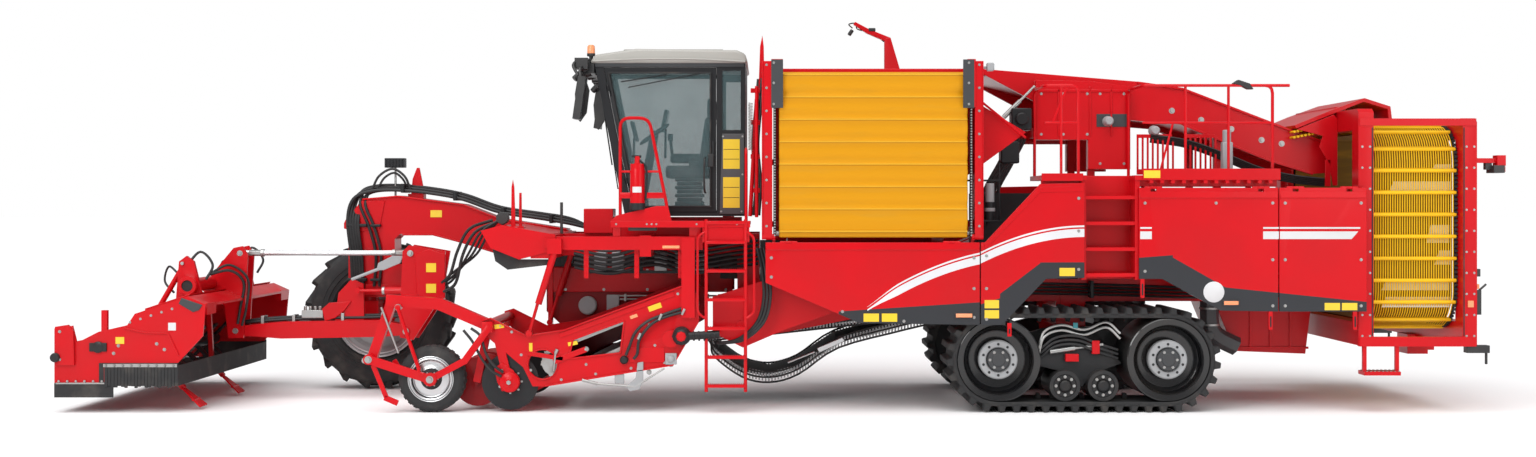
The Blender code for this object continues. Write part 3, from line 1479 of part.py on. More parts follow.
def topper_link():
    """The upper tube that keeps the topper level."""
    z = LINK_REAR[2]
    solids = [
        rod((LINK_REAR[0], -0.20 + TOUCH, z), (LINK_REAR[0], 0.06 - TOUCH, z), 0.04, sides=12),
        rod((LINK_REAR[0], -0.07, z), (LINK_FRONT[0], -0.07, z), 0.03, sides=12),
        rod((LINK_FRONT[0], -0.16, z), (LINK_FRONT[0], 0.02, z), 0.038, sides=12),
    ]
    return part("topper_link", "silver_paint", solids, pivot=LINK_REAR)


HOOD_TOP = (
    (TOPPER_X - 1.255, 0.73),
    (TOPPER_X - 1.03, 0.845),
    (TOPPER_X - 0.73, 0.914),
    (TOPPER_X - 0.65, 1.034),
    (TOPPER_X - 0.1, 1.215),
    (TOPPER_X + 0.09, 1.13),
)
HOOD_SKIN = 0.025
SKIRT_LOW = 0.28


def hood_end(y_low):
    """One end plate of the topper's hood."""
    outline = HOOD_TOP + (
        (TOPPER_X + 0.06, 0.80),
        (TOPPER_X - 0.21, 0.51),
        (TOPPER_X - 0.26, 0.50),
        (TOPPER_X - 0.97, 0.50),
        (TOPPER_X - 0.97, 0.31),
        (HOOD_NOSE_X, 0.31),
        (HOOD_NOSE_X, 0.88),
        (TOPPER_X - 1.3, 0.91),
    )
    return plate(outline, (y_low, y_low + HOOD_SKIN))


def hood_skin():
    """The folded sheet between the hood's end plates."""
    lower = tuple((x, z - HOOD_SKIN) for x, z in reversed(HOOD_TOP))
    sheet = plate(HOOD_TOP + lower, (TOPPER_NEAR_Y + 0.01, TOPPER_FAR_Y - 0.01))
    front = (
        (TOPPER_X - 1.22, 0.75),
        (TOPPER_X - 1.25, 0.75),
        (HOOD_NOSE_X + 0.02, 0.36),
        (HOOD_NOSE_X, 0.31),
        (HOOD_NOSE_X + 0.03, 0.31),
        (TOPPER_X - 1.22, 0.70),
    )
    return [sheet, plate(front, (TOPPER_NEAR_Y + 0.01, TOPPER_FAR_Y - 0.01))]


def headstock():
    """The two plates between the arm, the upper tube and the topper's cross tube."""
    x, z = ARM_FRONT[0], ARM_Z
    outline = (
        (x + 0.09, z - 0.08),
        (x + 0.10, z + 0.14),
        (LINK_FRONT[0] + 0.09, LINK_FRONT[2] - 0.02),
        (LINK_FRONT[0] + 0.03, LINK_FRONT[2] + 0.08),
        (LINK_FRONT[0] - 0.07, LINK_FRONT[2] + 0.06),
        (TOPPER_X - 0.26, 1.40),
        (TOPPER_X - 0.38, 1.22),
        (TOPPER_X - 0.12, 1.04),
        (x - 0.08, z - 0.08),
    )
    solids = [plate(outline, span) for span in ((-0.20, -0.17), (0.03, 0.06))]
    solids.append(
        rod(
            (TOPPER_X - 0.28, TOPPER_NEAR_Y + 0.55, 1.30),
            (TOPPER_X - 0.28, TOPPER_FAR_Y - 0.55, 1.30),
            0.075,
            sides=16,
        ),
    )
    for y in (TOPPER_NEAR_Y + 0.62, TOPPER_FAR_Y - 0.66):
        mast = (
            (TOPPER_X - 0.44, 1.06),
            (TOPPER_X - 0.4, 1.56),
            (TOPPER_X - 0.32, 1.62),
            (TOPPER_X - 0.24, 1.56),
            (TOPPER_X - 0.14, 1.15),
            (TOPPER_X - 0.16, 1.06),
        )
        solids.append(plate(mast, (y, y + 0.05)))
        solids.append(
            rod((TOPPER_X - 0.36, y + 0.08, 1.54), (TOPPER_X - 0.64, y + 0.08, 1.06), 0.03, sides=10),
        )
        solids.append(
            rod((TOPPER_X - 0.36, y + 0.02, 1.54), (TOPPER_X - 0.36, y + 0.11, 1.54), 0.035, sides=10),
        )
    return solids


def finger_hand(y):
    """A fan of spring fingers that holds the haulm down behind the topper."""
    solids = [
        bar((TOPPER_X - 0.42, y, 1.10), (TOPPER_X - 0.38, y, 0.36), 0.04, 0.05),
        bar((TOPPER_X - 0.4, y, 0.40), (TOPPER_X - 0.25, y, 0.22), 0.05, 0.05),
    ]
    for spread in (-0.10, -0.05, 0.0, 0.05, 0.10):
        solids.append(
            bar(
                (TOPPER_X - 0.27, y + spread * 0.2, 0.235),
                (TOPPER_X - 0.04, y + spread, 0.035),
                0.022,
                0.018,
            ),
        )
    solids.append(bar((TOPPER_X - 0.12, y - 0.10, 0.105), (TOPPER_X - 0.12, y + 0.10, 0.105), 0.03, 0.02))
    return solids


def topper_housing():
    """The topper's hood with its headstock, belt cover, markers and finger hands."""
    solids = hood_skin() + [hood_end(TOPPER_NEAR_Y), hood_end(TOPPER_FAR_Y - HOOD_SKIN)]
    solids += headstock()
    cover = (
        (TOPPER_X - 1.47, 0.50),
        (TOPPER_X - 1.47, 0.90),
        (TOPPER_X - 1.34, 0.92),
        (TOPPER_X - 1.28, 0.86),
        (TOPPER_X - 1.27, 0.50),
    )
    solids.append(plate(cover, (TOPPER_NEAR_Y - 0.035, TOPPER_NEAR_Y + 0.01)))
    solids.append(
        box((TOPPER_X - 1.0, TOPPER_X - 0.94), (TOPPER_NEAR_Y, TOPPER_NEAR_Y + 0.05), (0.83, 1.07)),
    )
    for y in (TOPPER_NEAR_Y, TOPPER_FAR_Y):
        inward = 0.012 if y < 0 else -0.012
        solids.append(rod((ROTOR_X, y, ROTOR_Z), (ROTOR_X, y + 2 * inward, ROTOR_Z), 0.08, sides=16))
    for y in (-1.16, 0.17):
        solids += finger_hand(y)
    for y in (TOPPER_NEAR_Y + 0.05, TOPPER_FAR_Y - 0.35):
        solids.append(box((TOPPER_X + 0.02, TOPPER_X + 0.09), (y, y + 0.30), (1.02, 1.14)))
    return part("topper_housing", "red_paint", solids, pivot=ARM_FRONT)


def topper_rotor():
    """The flail rotor across the hood."""
    near = TOPPER_NEAR_Y + HOOD_SKIN + TOUCH
    far = TOPPER_FAR_Y - HOOD_SKIN - TOUCH
    solids = [rod((ROTOR_X, near, ROTOR_Z), (ROTOR_X, far, ROTOR_Z), 0.07, sides=16)]
    count = 14
    for step in range(count):
        y = near + (step + 0.5) * (far - near) / count
        angle = pi / 4 if step % 2 else 3 * pi / 4
        tip = (ROTOR_RADIUS * cos(angle), ROTOR_RADIUS * sin(angle))
        start = (ROTOR_X - tip[0], y, ROTOR_Z - tip[1])
        end = (ROTOR_X + tip[0], y, ROTOR_Z + tip[1])
        solids.append(bar(start, end, 0.10, 0.03))
    return part("topper_rotor", "black_paint", solids, pivot=(ROTOR_X, 0.0, ROTOR_Z))


def topper_skirt():
    """The black rubber skirts that hang round the hood's lower edges."""
    out = 0.012
    near, far = TOPPER_NEAR_Y - TOUCH, TOPPER_FAR_Y + TOUCH
    rear = (TOPPER_X - 0.205, TOPPER_X - 0.193)
    solids = [box((TOPPER_X - 1.02, rear[1]), (near - out, near), (SKIRT_LOW, 0.52))]
    solids.append(box((TOPPER_X - 1.02, rear[1]), (far, far + out), (SKIRT_LOW, 0.52)))
    solids.append(box(rear, (near - out, far + out), (SKIRT_LOW, 0.495)))
    front = (HOOD_NOSE_X + 0.002, HOOD_NOSE_X + 0.014)
    low_span = (0.16, 0.31 - TOUCH)
    solids.append(box(front, (near - out, far + out), low_span))
    for span in ((near - out, near), (far, far + out)):
        solids.append(box((front[0], TOPPER_X - 0.87), span, (0.16, 0.305)))
    return part("topper_skirt", "black_rubber", solids, pivot=ARM_FRONT)


# Digging unit


DIG_PIVOT = (DIG_PIVOT_X, 0.0, DIG_PIVOT_Z)
SIDE_PLATE = 0.03


def digging_side(y_low):
    """One side plate of the digging unit, with its openings."""
    outline = (
        (-3.12, 0.96),
        (-3.02, 0.99),
        (-2.64, 0.80),
        (-2.25, 0.86),
        (-0.99, 1.33),
        (-0.84, 1.22),
        (-0.84, 0.94),
        (-1.11, 0.49),
        (-2.45, 0.27),
        (-2.58, 0.27),
        (-2.68, 0.47),
        (-3.12, 0.84),
    )
    side = plate(outline, (y_low, y_low + SIDE_PLATE))
    windows = [
        rod((-2.474, y_low - 0.1, 0.50), (-2.474, y_low + 0.1, 0.50), 0.15, sides=20),
        plate(((-2.20, 0.56), (-2.16, 0.76), (-1.62, 0.96), (-1.66, 0.62)), (y_low - 0.1, y_low + 0.1)),
    ]
    combine(side, windows, "DIFFERENCE")
    return side


def depth_wheel_carrier():
    """The near post and fork that hold the depth wheel."""
    y0, y1 = DIG_NEAR_Y, DIG_NEAR_Y + 0.12
    y = (y0 + y1) / 2
    front = (-4.283, 0.557)
    hub = (DEPTH_WHEEL_X, DEPTH_WHEEL_RADIUS)
    wheel_y = DIG_NEAR_Y - 0.04
    fork_y = wheel_y - 0.027
    solids = [
        bar((-3.03, y, 0.90), (-3.56, y, 1.13), 0.12, 0.12),
        bar((-3.52, y, 1.13), (-4.12, y, 1.17), 0.12, 0.12),
        bar((-4.05, y, 1.20), (front[0], y, front[1] - 0.03), 0.10, 0.10),
        rod((front[0], wheel_y - 0.05, front[1]), (front[0], y, front[1]), 0.055, sides=12),
        bar((front[0], fork_y, front[1]), (hub[0] + 0.06, fork_y, hub[1] - 0.02), 0.04, 0.09),
        bar((hub[0], fork_y, hub[1]), (-3.27, fork_y, 0.55), 0.04, 0.07),
        bar((-3.29, fork_y, 0.53), (-3.02, fork_y, 0.90), 0.04, 0.07),
        box((-3.10, -2.99), (wheel_y - 0.04, y0 + 0.01), (0.84, 0.95)),
        rod((hub[0], wheel_y - 0.06, hub[1]), (hub[0], wheel_y - TOUCH, hub[1]), 0.07, sides=12),
        rod((-3.98, fork_y, 1.10), (-3.76, fork_y, 0.46), 0.020, sides=8),
        rod((-3.98, fork_y - 0.01, 1.10), (-3.98, y, 1.10), 0.03, sides=8),
        rod((-3.76, fork_y, 0.48), (-3.76, fork_y, 0.38), 0.021, sides=8),
    ]
    return solids


def share_frame():
    """Cross tubes, share blades, disc holders and the roller arms."""
    near, far = DIG_NEAR_Y + 0.01, DIG_FAR_Y - 0.01
    share = ((-2.92, 0.05), (-2.90, 0.045), (-2.44, 0.27), (-2.44, 0.31), (-2.50, 0.31))
    solids = [
        rod((-3.06, near, 0.91), (-3.06, far, 0.91), 0.05, sides=12),
        rod((-2.475, near, 0.305), (-2.475, far, 0.305), 0.030, sides=12),
        rod((-1.13, DIG_NEAR_Y - 0.05, 0.77), (-1.13, near, 0.77), 0.09, sides=16),
        plate(share, (DIG_NEAR_Y + 0.10, DIG_FAR_Y - 0.10)),
    ]
    for y in (DIG_NEAR_Y + 0.15, DIG_FAR_Y - 0.17):
        solids.append(bar((-3.06, y, 0.91), (DIABOLO_X, y, DIABOLO_Z), 0.03, 0.08))
    for outer, inner in ((DIG_NEAR_Y, DIG_NEAR_Y + SIDE_PLATE), (DIG_FAR_Y, DIG_FAR_Y - SIDE_PLATE)):
        y = (outer + inner) / 2
        solids.append(bar((-2.96, y, 0.84), (-2.84, y, 0.34), 0.03, 0.09))
        solids.append(rod((DISC_X, outer, 0.318), (DISC_X, inner, 0.318), 0.095, sides=16))
    return solids


def digging_frame():
    """The digging unit's frame, which swings on the hangers under the front beams."""
    solids = [digging_side(DIG_NEAR_Y), digging_side(DIG_FAR_Y - SIDE_PLATE)]
    solids += depth_wheel_carrier() + share_frame()
    return part("digging_frame", "red_paint", solids, pivot=DIG_PIVOT)


def sieving_web():
    """The rod web between the digging unit's sides, with its rollers."""
    y = (DIG_NEAR_Y + SIDE_PLATE + TOUCH, DIG_FAR_Y - SIDE_PLATE - TOUCH)
    outer = (
        (-2.46, 0.63),
        (-1.06, 1.19),
        (-0.92, 1.14),
        (-0.90, 1.02),
        (-1.00, 0.94),
        (-2.30, 0.35),
        (-2.40, 0.37),
        (-2.50, 0.50),
    )
    inner = (
        (-2.44, 0.60),
        (-1.05, 1.155),
        (-0.95, 1.12),
        (-0.935, 1.04),
        (-1.01, 0.975),
        (-2.31, 0.39),
        (-2.37, 0.40),
        (-2.46, 0.51),
    )
    band = plate(outer, y)
    combine(band, [plate(inner, (y[0] - 0.1, y[1] + 0.1))], "DIFFERENCE")
    solids = [band]
    for x, z, radius in ((-1.02, 1.07, 0.085), (-2.38, 0.49, 0.10)):
        solids.append(rod((x, y[0], z), (x, y[1], z), radius, sides=16))
    return part("sieving_web", "bare_steel", solids, pivot=DIG_PIVOT)


def depth_wheel():
    """The small tyred wheel that sets the digging depth."""
    y = DIG_NEAR_Y - 0.04
    radius = DEPTH_WHEEL_RADIUS - 0.002
    rows = (
        (0.0, 0.0),
        (0.10, 0.0),
        (0.12, 0.05),
        (0.19, 0.06),
        (0.20, 0.01),
        (0.235, 0.0),
        (0.30, 0.0),
        (radius - 0.01, 0.03),
        (radius, 0.07),
        (radius, 0.16),
        (radius - 0.01, 0.20),
        (0.30, 0.23),
        (0.0, 0.23),
    )
    centre = (DEPTH_WHEEL_X, y, DEPTH_WHEEL_RADIUS)
    wheel = turned(rows, centre, steps=40)
    return part("depth_wheel", "black_rubber", [wheel], pivot=centre)


def cutting_disc(side):
    """A flat disc that cuts the haulm at one side of the digging unit."""
    face = DIG_NEAR_Y + SIDE_PLATE + TOUCH if side == LEFT else DIG_FAR_Y - SIDE_PLATE - TOUCH
    inward = 1 if side == LEFT else -1
    rows = ((0.0, 0.0), (0.085, 0.0), (0.09, 0.008), (DISC_RADIUS - 0.02, 0.009), (DISC_RADIUS, 0.012))
    rows += ((DISC_RADIUS - 0.02, 0.015), (0.0, 0.016))
    centre = (DISC_X, face, 0.318)
    disc = turned([(radius, inward * place) for radius, place in rows], centre, steps=36)
    return part(f"cutting_disc_{side_name(side)}", "black_paint", [disc], pivot=centre)


# One roller's outline: place along the shaft from its middle, radius
DIABOLO_ROWS = (
    (-0.24, 0.03),
    (-0.24, 0.26),
    (-0.21, 0.26),
    (-0.08, 0.13),
    (0.08, 0.13),
    (0.21, 0.26),
    (0.24, 0.26),
    (0.24, 0.03),
)


def diabolo_rollers():
    """Two waisted rollers on one shaft, each following a ridge."""
    near, far = DIG_NEAR_Y + 0.15 + 0.015 + TOUCH, DIG_FAR_Y - 0.17 - 0.015 - TOUCH
    centre = (DIABOLO_X, 0.0, DIABOLO_Z)
    pitch = 0.70
    middle = (near + far) / 2
    rows = [(0.0, near), (0.03, near)]
    for shift in (-pitch / 2, pitch / 2):
        y = middle + shift
        for place, radius in DIABOLO_ROWS:
            rows.append((radius, y + place))
    rows += [(0.03, far), (0.0, far)]
    rollers = turned(rows, centre, steps=28)
    return part("diabolo_rollers", "deep_red_paint", [rollers], pivot=centre)


def sieving_housing():
    """The wall of the main sieving channel, on the far side of the digging unit."""
    wall = (
        (-2.34, 1.62 - TOUCH),
        (-0.50, 1.62 - TOUCH),
        (-0.50, 1.20),
        (-0.84, 1.18),
        (-0.84, 0.86),
        (-1.25, 0.62),
        (-2.30, 0.62),
        (-2.66, 0.95),
        (-2.66, 1.50),
        (-2.40, 1.58),
    )
    y = (DIG_FAR_Y + 0.12, DIG_FAR_Y + 0.15)
    solids = [plate(wall, y), box((-2.33, -0.50), (y[0], BEAM_Y), (1.59, 1.62 - TOUCH))]
    for x in (-2.20, -1.45, -0.62):
        solids.append(box((x - 0.02, x + 0.02), (y[1] - SINK, BEAM_Y - 0.02), (1.30, 1.60)))
    solids.append(rod((-2.20, y[0] + 0.01, 0.80), (-2.20, BEAM_Y, 0.80), 0.11, sides=16))
    return part("sieving_housing", "deep_red_paint", solids)


def intake_curtain():
    """The black rubber curtain under the intake hood."""
    outline = (
        (-3.01, 1.716 - 1.1 * TOUCH),
        (-2.72, 1.60 - 1.1 * TOUCH),
        (-2.37, 1.60 - 1.1 * TOUCH),
        (-2.42, 1.54),
        (-2.85, 1.49),
        (-2.98, 1.58),
    )
    return part("intake_curtain", "black_rubber", [plate(outline, (-1.40, -1.385))])


def main():
    """Build the whole machine."""
    clear_scene()
    main_frame()
    engine()
    side_panels()
    cab_shell()
    cab_windows()
    cab_door()
    cab_roof()
    cab_mirrors()
    cab_inside()
    cab_access()
    bunker()
    discharge_conveyor()
    sorting_unit()
    picking_platform()
    elevator_frame()
    ring_web()
    belly_hopper()
    air_duct()
    rear_sieving_web()
    for side in (LEFT, RIGHT):
        track(side)
        bogie(side)
    front_wheel()
    front_knuckle()
    topper_arm()
    topper_link()
    topper_housing()
    topper_rotor()
    topper_skirt()
    digging_frame()
    sieving_web()
    depth_wheel()
    cutting_disc(LEFT)
    cutting_disc(RIGHT)
    diabolo_rollers()
    intake_curtain()
    sieving_housing()


main()
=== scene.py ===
"""Looks of the self-propelled potato harvester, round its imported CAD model."""

import json
import logging
import math
from dataclasses import dataclass
from enum import Enum
from typing import Any, Iterable, Optional, Sequence

import bmesh
import bpy
from mathutils import Matrix, Vector

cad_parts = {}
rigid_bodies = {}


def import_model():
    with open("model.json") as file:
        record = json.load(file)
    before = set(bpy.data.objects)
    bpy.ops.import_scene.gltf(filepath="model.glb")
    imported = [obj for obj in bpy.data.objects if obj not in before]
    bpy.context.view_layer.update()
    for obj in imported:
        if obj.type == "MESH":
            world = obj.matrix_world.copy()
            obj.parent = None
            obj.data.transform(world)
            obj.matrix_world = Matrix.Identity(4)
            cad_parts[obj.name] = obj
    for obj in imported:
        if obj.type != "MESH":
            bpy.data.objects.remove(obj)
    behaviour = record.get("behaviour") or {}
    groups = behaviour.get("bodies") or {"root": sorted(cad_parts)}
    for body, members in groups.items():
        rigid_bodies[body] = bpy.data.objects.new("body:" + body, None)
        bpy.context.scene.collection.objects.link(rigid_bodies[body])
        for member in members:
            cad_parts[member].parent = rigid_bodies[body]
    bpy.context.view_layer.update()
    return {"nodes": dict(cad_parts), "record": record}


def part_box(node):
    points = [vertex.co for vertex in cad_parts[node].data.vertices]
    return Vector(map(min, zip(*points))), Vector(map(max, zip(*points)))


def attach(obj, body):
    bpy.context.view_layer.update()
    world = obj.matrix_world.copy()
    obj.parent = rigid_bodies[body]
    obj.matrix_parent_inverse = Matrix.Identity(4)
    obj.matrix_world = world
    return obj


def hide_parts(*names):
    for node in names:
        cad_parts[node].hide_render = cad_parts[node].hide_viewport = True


LOG = logging.getLogger("harvester")
Point = Sequence[float]
Colour = tuple[float, float, float]
# Corners nearer to each other than this, in metres, are joined
WELD = 5e-05
# Edges under the first angle, in degrees, are dropped, and edges over the second are rounded
FLAT_EDGE = 0.5
SHARP_EDGE = 38

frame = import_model()


# Shader maths


class Value:
    """A number socket in a node tree that takes part in Python sums."""

    def __init__(self, tree: "Shade", socket: bpy.types.NodeSocket) -> None:
        """Wrap a socket.

        Args:
            tree: the material builder that owns the socket.
            socket: the output socket.
        """
        self.tree = tree
        self.socket = socket

    def _math(self, kind: str, *values: Any) -> "Value":
        """Add a Math node over the values.

        Args:
            kind: the operation.
            *values: numbers or sockets.

        Returns:
            The value.
        """
        return self.tree.node("ShaderNodeMath", {"operation": kind}, *values)

    def __add__(self, other: Any) -> "Value":
        """Sum.

        Args:
            other: a number or a socket.

        Returns:
            The value.
        """
        return self._math("ADD", self, other)

    __radd__ = __add__

    def __sub__(self, other: Any) -> "Value":
        """Difference.

        Args:
            other: a number or a socket.

        Returns:
            The value.
        """
        return self._math("SUBTRACT", self, other)

    def __rsub__(self, other: Any) -> "Value":
        """Difference, from the right.

        Args:
            other: a number or a socket.

        Returns:
            The value.
        """
        return self._math("SUBTRACT", other, self)

    def __mul__(self, other: Any) -> "Value":
        """Product.

        Args:
            other: a number or a socket.

        Returns:
            The value.
        """
        return self._math("MULTIPLY", self, other)

    __rmul__ = __mul__

    def __truediv__(self, other: Any) -> "Value":
        """Quotient.

        Args:
            other: a number or a socket.

        Returns:
            The value.
        """
        return self._math("DIVIDE", self, other)

    def __gt__(self, other: Any) -> "Value":
        """1 where the left value is greater.

        Args:
            other: a number or a socket.

        Returns:
            The value.
        """
        return self._math("GREATER_THAN", self, other)

    def __lt__(self, other: Any) -> "Value":
        """1 where the left value is less.

        Args:
            other: a number or a socket.

        Returns:
            The value.
        """
        return self._math("LESS_THAN", self, other)

    def abs(self) -> "Value":
        """Size without sign.

        Returns:
            The value.
        """
        return self._math("ABSOLUTE", self)

    def fract(self) -> "Value":
        """Fraction.

        Returns:
            The value.
        """
        return self._math("FRACT", self)

    def sin(self) -> "Value":
        """Sine.

        Returns:
            The value.
        """
        return self._math("SINE", self)

    def ramp(self, low: float, high: float, start: float = 0.0, end: float = 1.0) -> "Value":
        """Map low..high to start..end, clamped and smooth.

        Args:
            low: input at the start.
            high: input at the end.
            start: output at low.
            end: output at high.

        Returns:
            The mapped value.
        """
        settings = {"interpolation_type": "SMOOTHSTEP"}
        return self.tree.node("ShaderNodeMapRange", settings, self, low, high, start, end)


class Shade:
    """Builds the node tree of one material, or of the world."""

    def __init__(self, name: str, world: bool = False) -> None:
        """Make an empty material or world.

        Args:
            name: its name.
            world: whether it is a world.
        """
        self.owner = (bpy.data.worlds if world else bpy.data.materials).new(name)
        self.output = "ShaderNodeOutputWorld" if world else "ShaderNodeOutputMaterial"
        self.owner.use_nodes = True
        self.nodes = self.owner.node_tree.nodes
        self.links = self.owner.node_tree.links
        self.nodes.clear()
        self.coords: Optional[bpy.types.NodeSocket] = None

    def put(self, socket: bpy.types.NodeSocket, value: Any) -> None:
        """Set or link one input socket.

        Args:
            socket: the input.
            value: a number, a tuple, a socket or a wrapped socket.
        """
        if isinstance(value, Value):
            self.links.new(value.socket, socket)
        elif isinstance(value, bpy.types.NodeSocket):
            self.links.new(value, socket)
        elif value is not None:
            if isinstance(value, tuple) and len(value) == 3 and (socket.type == "RGBA"):
                value = (*value, 1.0)
            socket.default_value = value

    def raw(self, kind: str, settings: dict[str, Any], **inputs: Any) -> bpy.types.Node:
        """Add any node, its settings first and then its sockets.

        Args:
            kind: the node's type name.
            settings: properties to set; "stops" fills a colour ramp.
            **inputs: socket name, with _ for a space, to its value or link.

        Returns:
            The node.
        """
        made = self.nodes.new(kind)
        for key, value in settings.items():
            if key != "stops":
                setattr(made, key, value)
        for index, (place, tone) in enumerate(settings.get("stops", ())):
            elements = made.color_ramp.elements
            element = elements[index] if index < len(elements) else elements.new(place)
            element.position = place
            element.color = (*tone, 1.0)
        for key, value in inputs.items():
            self.put(made.inputs[key.replace("_", " ")], value)
        return made

    def node(self, kind: str, settings: dict[str, Any], *values: Any) -> Value:
        """Add a node from its sockets in order and wrap its first output.

        Args:
            kind: the node's type name.
            settings: properties to set first.
            *values: a value or a link for each socket, in order.

        Returns:
            The first output.
        """
        made = self.raw(kind, settings)
        for socket, value in zip(made.inputs, values):
            self.put(socket, value)
        return Value(self, made.outputs[0])

    def place(self) -> bpy.types.NodeSocket:
        """The object's own coordinates, in metres.

        Returns:
            The coordinate socket.
        """
        if self.coords is None:
            self.coords = self.raw("ShaderNodeTexCoord", {}).outputs["Object"]
        return self.coords

    def xyz(self) -> tuple[Value, Value, Value]:
        """The object's coordinates as three values.

        Returns:
            x, y and z.
        """
        parts = self.raw("ShaderNodeSeparateXYZ", {}, Vector=self.place())
        x, y, z = (Value(self, output) for output in parts.outputs)
        return (x, y, z)

    def facing(self) -> tuple[Value, Value, Value]:
        """The surface's normal in the object's axes, as three values.

        Returns:
            The normal's x, y and z.
        """
        normal = self.raw("ShaderNodeTexCoord", {}).outputs["Normal"]
        parts = self.raw("ShaderNodeSeparateXYZ", {}, Vector=normal)
        x, y, z = (Value(self, output) for output in parts.outputs)
        return (x, y, z)

    def noise(self, scale: float, detail: float = 3.0, stretch: Point = (1, 1, 1)) -> Value:
        """Noise from 0 to 1.

        Args:
            scale: blobs per metre.
            detail: octaves.
            stretch: factors on the coordinates.

        Returns:
            The noise value.
        """
        where: Any = self.place()
        if tuple(stretch) != (1, 1, 1):
            mapped = self.raw("ShaderNodeMapping", {}, Vector=where, Scale=tuple(stretch))
            where = mapped.outputs["Vector"]
        made = self.raw("ShaderNodeTexNoise", {}, Vector=where, Scale=scale, Detail=detail)
        return Value(self, made.outputs[0])

    def mix(self, share: Any, first: Any, second: Any) -> bpy.types.NodeSocket:
        """Blend two colours.

        Args:
            share: 0 for the first, 1 for the second.
            first: a colour or a socket.
            second: a colour or a socket.

        Returns:
            The colour socket.
        """
        made = self.raw("ShaderNodeMix", {"data_type": "RGBA"})
        for index, value in ((0, share), (6, first), (7, second)):
            self.put(made.inputs[index], value)
        return made.outputs[2]

    def bump(self, height: Value, strength: float, depth: float) -> bpy.types.NodeSocket:
        """A bumped normal.

        Args:
            height: the height, 0 to 1.
            strength: the bump's strength.
            depth: the height's size in metres.

        Returns:
            The normal socket.
        """
        made = self.raw("ShaderNodeBump", {}, Strength=strength, Distance=depth, Height=height)
        return made.outputs["Normal"]

    def shader(self, **inputs: Any) -> bpy.types.Node:
        """A Principled shader with the given sockets.

        Args:
            **inputs: socket name, with _ for a space, to its value or link.

        Returns:
            The node.
        """
        return self.raw("ShaderNodeBsdfPrincipled", {}, **inputs)

    def done(self, surface: bpy.types.Node) -> bpy.types.Material:
        """Link the shader to the output.

        Args:
            surface: the last shader node.

        Returns:
            The finished material.
        """
        self.raw(self.output, {}, Surface=surface.outputs[0])
        return self.owner


# Finishes


@dataclass(frozen=True)
class Finish:
    """A finish that makes its own procedural material."""

    name: str
    colour: Colour = (0.5, 0.5, 0.5)
    rough: float = 0.5

    def material(self) -> bpy.types.Material:
        """The material, made once and then shared.

        Returns:
            The material.
        """
        return bpy.data.materials.get(self.name) or self.make(Shade(self.name))

    def make(self, tree: Shade) -> bpy.types.Material:
        """Build the node tree.

        Args:
            tree: an empty material builder.

        Returns:
            The finished material.
        """
        raise NotImplementedError


@dataclass(frozen=True)
class Paint(Finish):
    """Gloss paint with orange peel, faint mottling and dust low down and on ledges."""

    rough: float = 0.3
    dust: float = 0.07
    coat: float = 0.1

    def surface(self, tree: Shade, base: Any) -> bpy.types.Node:
        """The painted surface over a base colour.

        Args:
            tree: the material builder.
            base: a colour or a colour socket.

        Returns:
            The shader node.
        """
        z = tree.xyz()[2]
        blotch = tree.noise(1.7, 4.0)
        speck = tree.noise(38.0, 3.0)
        nz = tree.facing()[2]
        low = z.ramp(2.4, 0.3, 0.25, 1.0)
        ledge = nz.ramp(0.3, 0.95, 0.35, 1.0)
        dusty = blotch.ramp(0.35, 0.75) * (speck * 0.5 + 0.5) * low * ledge * self.dust
        shade = tree.mix(blotch.ramp(0.3, 0.7, 0.0, 0.1), base, (0.0, 0.0, 0.0))
        tone = tree.mix(dusty, shade, (0.34, 0.27, 0.2))
        peel = tree.noise(210.0, 2.0)
        return tree.shader(
            Base_Color=tone, Roughness=dusty * 0.9 + speck * 0.08 + (self.rough - 0.04),
            Specular_IOR_Level=0.18, Coat_Weight=self.coat, Coat_Roughness=0.12,
            Normal=tree.bump(peel, 0.1, 0.001),
        )

    def make(self, tree: Shade) -> bpy.types.Material:
        """Plain paint.

        Args:
            tree: an empty material builder.

        Returns:
            The finished material.
        """
        return tree.done(self.surface(tree, self.colour))


@dataclass(frozen=True)
class PanelPaint(Paint):
    """Body paint with a dark lower band and a pale double sweep, both drawn by rule.

    Each band row is (x at its left end, z there, x at its right end, z there): the dark
    colour lies under the line. Each sweep row has the same four values and a width.
    """

    band: tuple[tuple[float, float, float, float], ...] = ()
    sweep: tuple[tuple[float, float, float, float, float], ...] = ()
    band_colour: Colour = (0.035, 0.037, 0.042)

    def make(self, tree: Shade) -> bpy.types.Material:
        """Paint, band and sweep.

        Args:
            tree: an empty material builder.

        Returns:
            The finished material.
        """
        x, _, z = tree.xyz()
        tone: Any = self.colour
        for x0, z0, x1, z1 in self.band:
            rise = (z1 - z0) / (x1 - x0)
            inside = (z < (x - x0) * rise + z0) * (x > x0) * (x < x1)
            tone = tree.mix(inside, tone, self.band_colour)
        for x0, z0, x1, z1, width in self.sweep:
            rise = (z1 - z0) / (x1 - x0)
            share = (x - x0) / (x1 - x0)
            middle = (x - x0) * rise + z0 + share * (1.0 - share) * 0.28
            along = (x > x0) * (x < x1)
            taper = share.ramp(0.0, 0.3, 0.2 if z0 < 1.2 else 1.0, 1.0) * (width / 2)
            thick = ((z - middle).abs() < taper) * along
            thin = ((z - middle - taper - 0.026).abs() < taper * 0.22) * along
            tone = tree.mix(thick + thin, tone, (0.74, 0.75, 0.77))
        return tree.done(self.surface(tree, tone))


